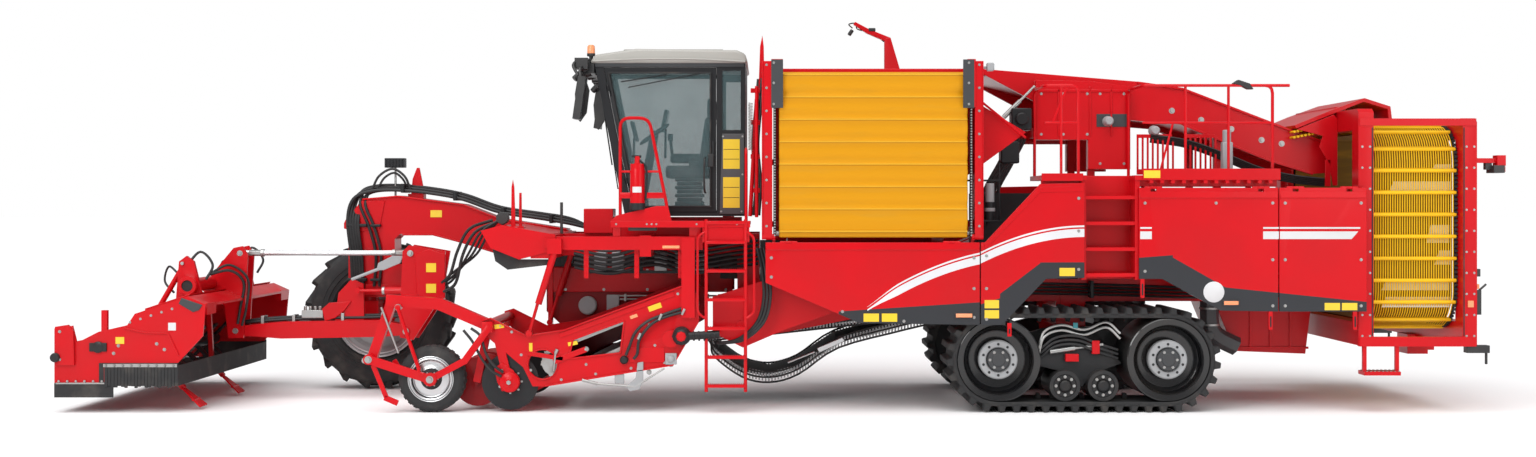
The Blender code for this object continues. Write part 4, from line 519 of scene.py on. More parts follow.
@dataclass(frozen=True)
class Rubber(Finish):
    """Matt rubber with a fine grain and dust in its hollows."""

    colour: Colour = (0.018, 0.018, 0.019)
    rough: float = 0.72
    dust: float = 0.25

    def make(self, tree: Shade) -> bpy.types.Material:
        """Rubber.

        Args:
            tree: an empty material builder.

        Returns:
            The finished material.
        """
        grain = tree.noise(160.0, 4.0)
        patch = tree.noise(5.0, 4.0)
        dusty = patch.ramp(0.45, 0.8) * self.dust
        return tree.done(
            tree.shader(
                Base_Color=tree.mix(dusty, self.colour, (0.2, 0.17, 0.14)),
                Roughness=grain * 0.16 + (self.rough - 0.05), Normal=tree.bump(grain, 0.25, 0.001),
            ),
        )


@dataclass(frozen=True)
class Steel(Finish):
    """Bare or plated steel with fine scratches and a little rust."""

    colour: Colour = (0.52, 0.52, 0.51)
    rough: float = 0.32
    rust: float = 0.12

    def make(self, tree: Shade) -> bpy.types.Material:
        """Steel.

        Args:
            tree: an empty material builder.

        Returns:
            The finished material.
        """
        streak = tree.noise(26.0, 5.0, (1.0, 9.0, 1.0))
        patch = tree.noise(7.0, 5.0)
        rusty = patch.ramp(0.52, 0.82) * self.rust
        return tree.done(
            tree.shader(
                Base_Color=tree.mix(rusty, self.colour, (0.22, 0.1, 0.045)), Metallic=rusty * -0.8 + 0.95,
                Roughness=streak * 0.22 + rusty * 0.5 + (self.rough - 0.08),
                Normal=tree.bump(streak, 0.12, 0.0008),
            ),
        )


@dataclass(frozen=True)
class Plastic(Finish):
    """Moulded plastic with a fine leather grain."""

    rough: float = 0.45
    grain: float = 0.2

    def make(self, tree: Shade) -> bpy.types.Material:
        """Plastic.

        Args:
            tree: an empty material builder.

        Returns:
            The finished material.
        """
        pebble = tree.noise(320.0, 2.0)
        patch = tree.noise(3.0, 3.0)
        return tree.done(
            tree.shader(
                Base_Color=tree.mix(patch.ramp(0.3, 0.8, 0.0, 0.12), self.colour, (0.2, 0.19, 0.17)),
                Roughness=pebble * 0.14 + (self.rough - 0.06), Normal=tree.bump(pebble, self.grain, 0.001),
            ),
        )


@dataclass(frozen=True)
class Glass(Finish):
    """Tinted pane that shows what is behind it, with a patchy film of dust."""

    colour: Colour = (0.1, 0.17, 0.18)
    rough: float = 0.04
    alpha: float = 0.36

    def make(self, tree: Shade) -> bpy.types.Material:
        """Glass.

        Args:
            tree: an empty material builder.

        Returns:
            The finished material.
        """
        film = tree.noise(3.0, 4.0).ramp(0.4, 0.8, 0.0, 0.1)
        return tree.done(
            tree.shader(
                Base_Color=tree.mix(film, self.colour, (0.5, 0.5, 0.47)), Roughness=film * 0.8 + self.rough,
                Alpha=film * 0.6 + self.alpha,
            ),
        )


@dataclass(frozen=True)
class Belt(Finish):
    """Coated belt cloth: satin, slightly ribbed across, with rub marks, and with a pitch, painted shade in
    the folds between its pockets.
    """

    colour: Colour = (0.66, 0.29, 0.002)
    rough: float = 0.46
    pitch: float = 0.0
    fold: float = 0.0

    def make(self, tree: Shade) -> bpy.types.Material:
        """Belt; a pitch paints shade into the folds between its pockets, counted from the height of one
        fold.

        Args:
            tree: an empty material builder.

        Returns:
            The finished material.
        """
        x, _, z = tree.xyz()
        tone: Any = self.colour
        if self.pitch:
            share = ((z - self.fold) / self.pitch).fract()
            # Painted shade in the pocket folds: darkest just above each fold, and darker again over the
            # upper part of each pocket towards the next fold.
            shadow = share.ramp(0.0, 0.1, 0.75, 0.0) + share.ramp(0.45, 1.0, 0.0, 0.28)
            tone = tree.mix(shadow, tone, (0.26, 0.1, 0.0))
        ribs = (x * 55.0).fract()
        rub = tree.noise(3.0, 5.0, (0.5, 1.0, 4.0))
        worn = rub.ramp(0.48, 0.8, 0.0, 0.35)
        grain = tree.noise(240.0, 2.0)
        return tree.done(
            tree.shader(
                Base_Color=tree.mix(worn, tone, (0.5, 0.26, 0.02)), Specular_IOR_Level=0.18,
                Roughness=worn * 0.5 + grain * 0.08 + self.rough,
                Normal=tree.bump(ribs * 0.2 + grain, 0.1, 0.001),
            ),
        )


@dataclass(frozen=True)
class Cloth(Finish):
    """Woven seat cover."""

    colour: Colour = (0.045, 0.045, 0.05)
    rough: float = 0.85

    def make(self, tree: Shade) -> bpy.types.Material:
        """Cloth.

        Args:
            tree: an empty material builder.

        Returns:
            The finished material.
        """
        x, y, z = tree.xyz()
        weave = ((x + z) * 700.0).sin() * ((y + z) * 700.0).sin() * 0.5 + 0.5
        patch = tree.noise(9.0, 3.0)
        return tree.done(
            tree.shader(
                Base_Color=tree.mix(weave * 0.25 + patch * 0.2, self.colour, (0.12, 0.12, 0.13)),
                Roughness=weave * 0.1 + (self.rough - 0.05), Normal=tree.bump(weave, 0.35, 0.001),
            ),
        )


@dataclass(frozen=True)
class Lamp(Finish):
    """Ribbed lens."""

    rough: float = 0.12

    def make(self, tree: Shade) -> bpy.types.Material:
        """Lens.

        Args:
            tree: an empty material builder.

        Returns:
            The finished material.
        """
        z = tree.xyz()[2]
        ribs = (z * 120.0).fract()
        return tree.done(
            tree.shader(
                Base_Color=tree.mix(ribs * 0.3, self.colour, (0.9, 0.9, 0.9)),
                Roughness=ribs * 0.1 + self.rough, Normal=tree.bump(ribs, 0.4, 0.002),
            ),
        )


RED = Paint("harvester red", (0.58, 0.002, 0.007))
# A darker copy of the harvester red: painted shade for red parts that sit in shadow, such as the diabolo
# rollers and the web guides.
SHADED_RED = Paint("shaded red", (0.26, 0.003, 0.006), 0.42, 0.25, 0.1)
SATIN_BLACK = Paint("satin black", (0.02, 0.021, 0.023), 0.38, 0.12, 0.1)
DARK_GREY = Paint("machine grey", (0.055, 0.058, 0.062), 0.42, 0.15, 0.1)
LIGHT_GREY = Paint("hub grey", (0.36, 0.37, 0.38), 0.38, 0.3, 0.1)
SILVER = Steel("silver tube", (0.62, 0.63, 0.64), 0.3, 0.03)
STEEL = Steel("worn steel", (0.42, 0.42, 0.41), 0.36, 0.35)
SHARE_STEEL = Steel("share steel", (0.3, 0.28, 0.27), 0.45, 0.6)
RUBBER = Rubber("black rubber")
TYRE = Rubber("tyre rubber", (0.02, 0.02, 0.021), 0.78, 0.2)
HOSE = Rubber("hose rubber", (0.012, 0.012, 0.013), 0.5, 0.08)
YELLOW_BELT = Belt("golden belt")
# Its pitch paints shade into the folds between the pockets.
POCKET_BELT = Belt("golden pocket belt", pitch=0.234, fold=3.05)
YELLOW_WEB = Belt("golden web", (0.84, 0.5, 0.012), 0.4)
ROOF = Plastic("roof moulding", (0.38, 0.37, 0.34), 0.38, 0.05)
GREY_PLASTIC = Plastic("grey moulding", (0.06, 0.06, 0.065), 0.5, 0.2)
BLACK_PLASTIC = Plastic("black moulding", (0.015, 0.015, 0.016), 0.42, 0.15)
GLASS = Glass("cab glass")
SEAT = Cloth("seat cloth")
AMBER = Lamp("amber lens", (0.9, 0.22, 0.01))
RED_LENS = Lamp("red lens", (0.45, 0.01, 0.01))
CLEAR_LENS = Lamp("clear lens", (0.75, 0.78, 0.8))
PLATE_YELLOW = Plastic("yellow plate", (0.85, 0.58, 0.02), 0.35, 0.03)
PLATE_WHITE = Plastic("white plate", (0.66, 0.66, 0.67), 0.35, 0.03)
MIRROR_GLASS = Steel("mirror face", (0.8, 0.82, 0.84), 0.08, 0.0)

SLOT_FINISH = {
    "red_paint": RED, "deep_red_paint": SHADED_RED, "black_paint": SATIN_BLACK, "grey_paint": DARK_GREY,
    "silver_paint": SILVER, "bare_steel": STEEL, "black_rubber": RUBBER, "black_tyre": TYRE,
    "yellow_belt": YELLOW_BELT, "yellow_web": YELLOW_WEB, "roof_white": ROOF, "cab_glass": GLASS,
    "seat_cloth": SEAT, "grey_plastic": GREY_PLASTIC,
}
FINISH_SLOT = {finish.name: slot for slot, finish in SLOT_FINISH.items()}
FINISH_SLOT |= {
    HOSE.name: "black_rubber", POCKET_BELT.name: "yellow_belt", SHARE_STEEL.name: "bare_steel",
    "front panel paint": "red_paint", "middle panel paint": "red_paint", "rear panel paint": "red_paint",
}


# Shapes


def smooth_path(points: Sequence[Point], steps: int = 6) -> list[Vector]:
    """A Catmull-Rom curve through the points.

    Args:
        points: the route.
        steps: new points for each stretch.

    Returns:
        The points of the curve.
    """
    route = [Vector(point) for point in points]
    route = [route[0] * 2 - route[1], *route, route[-1] * 2 - route[-2]]
    made = []
    for a, b, c, d in zip(route, route[1:], route[2:], route[3:]):
        for step in range(steps):
            t = step / steps
            square, cube = a * 2 - b * 5 + c * 4 - d, b * 3 - a - c * 3 + d
            made.append(0.5 * (b * 2 + (c - a) * t + square * t * t + cube * t ** 3))
    made.append(route[-2])
    return made


class Axis(Enum):
    """The axis that an outline is extruded, or a round shape turned, along."""

    X = "X"
    Y = "Y"
    Z = "Z"

    def matrix(self) -> Matrix:
        """Stand local +Z along the axis, with local X and Y as the outline's two axes.

        Returns:
            The turn.
        """
        if self is Axis.X:
            return Matrix(((0, 0, 1, 0), (1, 0, 0, 0), (0, 1, 0, 0), (0, 0, 0, 1)))
        if self is Axis.Y:
            return Matrix(((1, 0, 0, 0), (0, 0, -1, 0), (0, 1, 0, 0), (0, 0, 0, 1)))
        return Matrix.Identity(4)


class Piece:
    """One object in the making: shapes are added to it, and done() hands it over."""

    def __init__(self, name: str, finish: Finish, body: str = "chassis") -> None:
        """Start a piece.

        Args:
            name: its name.
            finish: what it is made of.
            body: the CAD body that it rides on.
        """
        self.name = name
        self.finish = finish
        self.body = body
        self.bm = bmesh.new()

    def move(self, verts: Iterable[Any], matrix: Matrix) -> None:
        """Move new vertices by the matrix.

        Args:
            verts: the vertices.
            matrix: the move.
        """
        bmesh.ops.transform(self.bm, matrix=matrix, verts=list(verts))

    def box(self, x: Point, y: Point, z: Point, turn: Optional[tuple[str, float]] = None) -> "Piece":
        """Add a box over three spans.

        Args:
            x: low and high x.
            y: low and high y.
            z: low and high z.
            turn: axis letter and degrees about its centre.

        Returns:
            The piece.
        """
        centre = Vector([(a + b) / 2 for a, b in (x, y, z)])
        size = [abs(b - a) for a, b in (x, y, z)]
        spin = Matrix.Rotation(math.radians(turn[1]), 4, turn[0]) if turn else Matrix.Identity(4)
        made = bmesh.ops.create_cube(self.bm, size=1.0)
        self.move(made["verts"], Matrix.Translation(centre) @ spin @ Matrix.Diagonal((*size, 1.0)))
        return self

    def rod(
        self, start: Point, end: Point, radius: float, sides: int = 16, tip: Optional[float] = None,
    ) -> "Piece":
        """Add a cylinder or cone.

        Args:
            start: centre of one end.
            end: centre of the other.
            radius: at the start.
            sides: facets.
            tip: radius at the end, or the same.

        Returns:
            The piece.
        """
        a, b = Vector(start), Vector(end)
        turn = (b - a).to_track_quat("Z", "Y").to_matrix().to_4x4()
        made = bmesh.ops.create_cone(
            self.bm, cap_ends=True, segments=sides, radius1=radius, radius2=radius if tip is None else tip,
            depth=(b - a).length,
        )
        self.move(made["verts"], Matrix.Translation((a + b) / 2) @ turn)
        return self

    def bar(self, start: Point, end: Point, width: float, height: float) -> "Piece":
        """Add a straight flat bar; height lies across its run in the XZ plane.

        Args:
            start: centre of one end.
            end: centre of the other.
            width: size along Y.
            height: size across the run.

        Returns:
            The piece.
        """
        a, b = Vector(start), Vector(end)
        ahead = (b - a).normalized()
        across = Vector((0, 1, 0)) if abs(ahead.y) < 0.9 else Vector((1, 0, 0))
        up = ahead.cross(across).normalized()
        across = up.cross(ahead)
        turn = Matrix((across, up, ahead)).transposed().to_4x4()
        made = bmesh.ops.create_cube(self.bm, size=1.0)
        size = Matrix.Diagonal((width, height, (b - a).length, 1.0))
        self.move(made["verts"], Matrix.Translation((a + b) / 2) @ turn @ size)
        return self

    def plate(self, outline: Sequence[Point], span: Point, axis: Axis = Axis.Y) -> "Piece":
        """Add a flat outline with a thickness.

        Args:
            outline: corners in the plane across the axis: x,z or y,z or x,y.
            span: low and high place along the axis.
            axis: the extrusion axis.

        Returns:
            The piece.
        """
        low, high = min(span), max(span)
        sign = -1.0 if axis is Axis.Y else 1.0
        near = [self.bm.verts.new((u, v, sign * low)) for u, v in outline]
        far = [self.bm.verts.new((u, v, sign * high)) for u, v in outline]
        count = len(near)
        for index in range(count):
            after = (index + 1) % count
            self.bm.faces.new((near[index], near[after], far[after], far[index]))
        self.bm.faces.new(near)
        self.bm.faces.new(far)
        self.move(near + far, axis.matrix())
        return self

    def slab(self, low: Sequence[Point], high: Sequence[Point]) -> "Piece":
        """Add a solid between two loops that have as many corners as each other.

        Args:
            low: the lower loop.
            high: the upper loop.

        Returns:
            The piece.
        """
        verts = [self.bm.verts.new(corner) for corner in low]
        top = [self.bm.verts.new(corner) for corner in high]
        self.bm.faces.new(verts[::-1])
        self.bm.faces.new(top)
        for index in range(len(verts)):
            after = (index + 1) % len(verts)
            self.bm.faces.new((verts[index], verts[after], top[after], top[index]))
        return self

    def sheet(self, corners: Sequence[Point]) -> "Piece":
        """Add one flat face.

        Args:
            corners: its corners in order.

        Returns:
            The piece.
        """
        self.bm.faces.new([self.bm.verts.new(corner) for corner in corners])
        return self

    def ring_band(self, outer: Sequence[Point], inner: Sequence[Point], span: Point, axis: Axis) -> "Piece":
        """Add a closed band between two loops that have as many points as each other.

        Args:
            outer: the outer loop, in the plane across the axis.
            inner: the inner loop.
            span: low and high place along the axis.
            axis: the extrusion axis.

        Returns:
            The piece.
        """
        sign = -1.0 if axis is Axis.Y else 1.0
        rings = [
            [self.bm.verts.new((u, v, sign * place)) for u, v in loop]
            for loop, place in ((outer, span[0]), (outer, span[1]), (inner, span[1]), (inner, span[0]))
        ]
        count = len(outer)
        for first, second in zip(rings, rings[1:] + rings[:1]):
            for index in range(count):
                after = (index + 1) % count
                self.bm.faces.new((first[index], first[after], second[after], second[index]))
        self.move([vert for ring in rings for vert in ring], axis.matrix())
        return self

    def tube(self, points: Sequence[Point], radius: float, sides: int = 8, closed: bool = False) -> "Piece":
        """Add a round tube along the points.

        Args:
            points: the route.
            radius: of the tube.
            sides: facets round it.
            closed: whether the route is a loop.

        Returns:
            The piece.
        """
        route = [Vector(point) for point in points]
        count = len(route)
        rings = []
        side = Vector((0, 0, 1))
        for index, point in enumerate(route):
            before = route[index - 1] if index or closed else point
            after = route[(index + 1) % count] if index < count - 1 or closed else point
            ahead = (after - before).normalized()
            if index == 0 and abs(ahead.z) > 0.95:
                side = Vector((1, 0, 0))
            side = (side - ahead * side.dot(ahead)).normalized()
            other = ahead.cross(side)
            ring = []
            for facet in range(sides):
                angle = 2 * math.pi * facet / sides
                offset = side * math.cos(angle) + other * math.sin(angle)
                ring.append(self.bm.verts.new(point + offset * radius))
            rings.append(ring)
        pairs = list(zip(rings, rings[1:]))
        if closed:
            pairs.append((rings[-1], rings[0]))
        for first, second in pairs:
            for facet in range(sides):
                after = (facet + 1) % sides
                self.bm.faces.new((first[facet], first[after], second[after], second[facet]))
        if not closed:
            self.bm.faces.new(rings[0][::-1])
            self.bm.faces.new(rings[-1])
        return self

    def hoop(self, centre: Point, radius: float, thick: float, steps: int = 60, sides: int = 8) -> "Piece":
        """Add a round ring that stands in the XZ plane.

        Args:
            centre: its middle.
            radius: of its centre line.
            thick: radius of the wire.
            steps: facets along it.
            sides: facets round the wire.

        Returns:
            The piece.
        """
        x, y, z = centre
        turns = [2 * math.pi * step / steps for step in range(steps)]
        ring = [(x + radius * math.cos(turn), y, z + radius * math.sin(turn)) for turn in turns]
        return self.tube(ring, thick, sides, closed=True)

    def hose(self, points: Sequence[Point], radius: float, steps: int = 6) -> "Piece":
        """Add a bent hose through the points.

        Args:
            points: the route.
            radius: of the hose.
            steps: new points for each stretch.

        Returns:
            The piece.
        """
        return self.tube(smooth_path(points, steps), radius, 8)

    def turned(self, rows: Sequence[Point], centre: Point, axis: Axis = Axis.Y, steps: int = 40) -> "Piece":
        """Add a turned shape.

        Args:
            rows: (radius, place along the axis) from one end to the other.
            centre: where the axis's zero lies.
            axis: the turning axis.
            steps: facets round it.

        Returns:
            The piece.
        """
        rings = []
        for radius, place in rows:
            if radius <= 1e-06:
                rings.append([self.bm.verts.new((0, 0, place))])
                continue
            ring = []
            for step in range(steps):
                angle = 2 * math.pi * step / steps
                ring.append(self.bm.verts.new((radius * math.cos(angle), radius * math.sin(angle), place)))
            rings.append(ring)
        for first, second in zip(rings, rings[1:]):
            for step in range(steps):
                after = (step + 1) % steps
                corners = [first[step % len(first)], first[after % len(first)]]
                corners += [second[after % len(second)], second[step % len(second)]]
                unique = list(dict.fromkeys(corners))
                if len(unique) > 2:
                    self.bm.faces.new(unique)
        spin = {
            Axis.X: Matrix.Rotation(math.pi / 2, 4, "Y"), Axis.Y: Matrix.Rotation(-math.pi / 2, 4, "X"),
            Axis.Z: Matrix.Identity(4),
        }[axis]
        self.move([vert for ring in rings for vert in ring], Matrix.Translation(Vector(centre)) @ spin)
        return self

    def boxes(self, *rows: Sequence[Any]) -> "Piece":
        """Add several boxes.

        Args:
            *rows: what box() takes, a row for each.

        Returns:
            The piece.
        """
        for row in rows:
            self.box(*row)
        return self

    def rods(self, *rows: Sequence[Any]) -> "Piece":
        """Add several cylinders or cones.

        Args:
            *rows: what rod() takes, a row for each.

        Returns:
            The piece.
        """
        for row in rows:
            self.rod(*row)
        return self

    def bars(self, *rows: Sequence[Any]) -> "Piece":
        """Add several flat bars.

        Args:
            *rows: what bar() takes, a row for each.

        Returns:
            The piece.
        """
        for row in rows:
            self.bar(*row)
        return self

    def plates(self, *rows: Sequence[Any]) -> "Piece":
        """Add several plates.

        Args:
            *rows: what plate() takes, a row for each.

        Returns:
            The piece.
        """
        for row in rows:
            self.plate(*row)
        return self

    def hoses(self, *rows: Sequence[Any]) -> "Piece":
        """Add several hoses.

        Args:
            *rows: what hose() takes, a row for each.

        Returns:
            The piece.
        """
        for row in rows:
            self.hose(*row)
        return self

    def turnings(self, *rows: Sequence[Any]) -> "Piece":
        """Add several turned shapes.

        Args:
            *rows: what turned() takes, a row for each.

        Returns:
            The piece.
        """
        for row in rows:
            self.turned(*row)
        return self

    def bolts(
        self, places: Iterable[Point], axis: Axis = Axis.Y, size: float = 0.011, out: float = -1.0,
    ) -> "Piece":
        """Add bolt heads with washers.

        Args:
            places: centres on the surface.
            axis: the bolts' axis.
            size: radius of a head.
            out: +1 or -1, the way the heads point along the axis.

        Returns:
            The piece.
        """
        way = {Axis.X: Vector((1, 0, 0)), Axis.Y: Vector((0, 1, 0)), Axis.Z: Vector((0, 0, 1))}[axis] * out
        for place in places:
            base = Vector(place)
            self.rod(base - way * 0.002, base + way * 0.002, size * 1.5, 12)
            self.rod(base + way * 0.002, base + way * (0.002 + size * 0.7), size, 6, size * 0.92)
        return self

    def done(
        self, bevel: float = 0.0, smooth: float = 40.0, replaces: Sequence[str] = (), segments: int = 2,
    ) -> bpy.types.Object:
        """Make the object, ride it on its body and return it.

        Args:
            bevel: width of rounded edges in metres.
            smooth: edges under this angle are shaded smooth.
            replaces: CAD nodes that it stands for.
            segments: steps across a rounded edge.

        Returns:
            The object.
        """
        bmesh.ops.recalc_face_normals(self.bm, faces=self.bm.faces)
        mesh = bpy.data.meshes.new(self.name)
        self.bm.to_mesh(mesh)
        self.bm.free()
        mesh.materials.append(self.finish.material())
        mesh.shade_smooth()
        mesh.set_sharp_from_angle(angle=math.radians(smooth))
        made = bpy.data.objects.new(self.name, mesh)
        bpy.context.scene.collection.objects.link(made)
        if bevel:
            round_edges(made, bevel, segments)
        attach(made, self.body)
        if replaces:
            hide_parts(*replaces)
        LOG.info("%s rides on %s", self.name, self.body)
        return made


def round_edges(made: bpy.types.Object, width: float, segments: int = 2) -> None:
    """Round an object's sharp edges with a modifier.

    Args:
        made: the object.
        width: of the rounding in metres.
        segments: steps across it.
    """
    step = made.modifiers.new("rounded", "BEVEL")
    step.width = width
    step.segments = segments
    step.limit_method = "ANGLE"
    step.angle_limit = math.radians(SHARP_EDGE)
    step.use_clamp_overlap = True
    step.harden_normals = False


def body_of_node(node: str) -> str:
    """The CAD body that a node belongs to.

    Args:
        node: the CAD node.

    Returns:
        The body's name.
    """
    bodies = frame["record"]["behaviour"]["bodies"]
    return next((name for name, nodes in bodies.items() if node in nodes))


def rounded(node: str, finish: Finish, width: float = 0.006, segments: int = 2) -> bpy.types.Object:
    """A copy of a CAD node with softly rounded edges, which stands for the node.

    Args:
        node: the CAD node.
        finish: its finish.
        width: width of the rounding in metres.
        segments: steps across it.

    Returns:
        The new object.
    """
    bm = bmesh.new()
    bm.from_mesh(frame["nodes"][node].data)
    bmesh.ops.remove_doubles(bm, verts=bm.verts, dist=WELD)
    bmesh.ops.dissolve_limit(bm, angle_limit=math.radians(FLAT_EDGE), verts=bm.verts, edges=bm.edges)
    piece = Piece(f"{node}_skin", finish, body_of_node(node))
    piece.bm.free()
    piece.bm = bm
    return piece.done(bevel=width, segments=segments, replaces=(node,))


def dress(finish: Finish, *nodes: str) -> None:
    """Give CAD nodes a finish.

    Args:
        finish: the finish.
        *nodes: the CAD nodes.
    """
    for node in nodes:
        slots = frame["nodes"][node].data.materials
        slots.clear()
        slots.append(finish.material())


# Studio


@dataclass
class Studio:
    """The floor, the lights, the backdrop and the camera.

    Attributes:
        eye: where the camera stands.
        lens: focal length in mm.
        shift_y: vertical shift, as a share of the picture's width.
        floor_size: side of the floor in metres.
        ambient: strength of the backdrop's light on the machine.
        sun: strength of the overhead light.
        sun_angle: its spread in radians, which softens the shadows.
    """

    eye: Point = (-0.115, -19.55, 2.17)
    lens: float = 40.5
    shift_y: float = -0.0153
    floor_size: float = 600.0
    ambient: float = 0.4
    sun: float = 2.4
    sun_angle: float = 1.1

    def build(self) -> None:
        """Build all of it."""
        self.backdrop()
        self.floor()
        self.lights()
        self.camera()

    def backdrop(self) -> None:
        """A white backdrop for the camera and for reflections, and a softer one for light."""
        tree = Shade("studio", world=True)
        rays = tree.raw("ShaderNodeLightPath", {}).outputs
        seen = tree.node(
            "ShaderNodeMath", {"operation": "MAXIMUM"}, rays["Is Camera Ray"], rays["Is Transmission Ray"],
        )
        tone = tree.mix(seen, (self.ambient, self.ambient, self.ambient * 1.02), (1.0, 1.0, 1.0))
        bpy.context.scene.world = tree.done(tree.raw("ShaderNodeBackground", {}, Color=tone))

    def floor(self) -> None:
        """A plain pale floor."""
        bm = bmesh.new()
        bmesh.ops.create_grid(bm, x_segments=1, y_segments=1, size=self.floor_size / 2)
        mesh = bpy.data.meshes.new("floor")
        bm.to_mesh(mesh)
        bm.free()
        ground = bpy.data.objects.new("floor", mesh)
        ground.location.z = -0.002
        tree = Shade("floor")
        shader = tree.shader(Base_Color=(0.95, 0.95, 0.95, 1), Roughness=1.0)
        mesh.materials.append(tree.done(shader))
        bpy.context.scene.collection.objects.link(ground)

    def lights(self) -> None:
        """A broad overhead light and two soft ones from the camera's side."""
        for name, place, aim, size, power in (
            ("key", (-9.0, -15.0, 9.0), (0.0, 0.0, 1.2), 7.0, 1000.0),
            ("fill", (12.0, -13.0, 6.0), (1.5, 0.0, 1.2), 8.0, 420.0),
            ("overhead", (-2.0, -6.0, 16.0), (0.0, 0.0, 0.0), self.sun_angle, self.sun),
        ):
            lamp = bpy.data.lights.new(name, "SUN" if name == "overhead" else "AREA")
            if name == "overhead":
                lamp.angle = size
            else:
                lamp.size = size
            lamp.energy = power
            made = bpy.data.objects.new(name, lamp)
            made.location = place
            way = Vector(aim) - Vector(place)
            made.rotation_euler = way.to_track_quat("-Z", "Y").to_euler()
            bpy.context.scene.collection.objects.link(made)

    def camera(self) -> None:
        """The camera of the photograph, level and square to the machine's side."""
        data = bpy.data.cameras.new("camera")
        data.lens = self.lens
        data.sensor_width = 36.0
        data.shift_y = self.shift_y
        data.clip_end = 300.0
        made = bpy.data.objects.new("camera", data)
        made.location = self.eye
        made.rotation_euler = (math.pi / 2, 0.0, 0.0)
        bpy.context.scene.collection.objects.link(made)
        bpy.context.scene.camera = made


# Front: topper and gooseneck


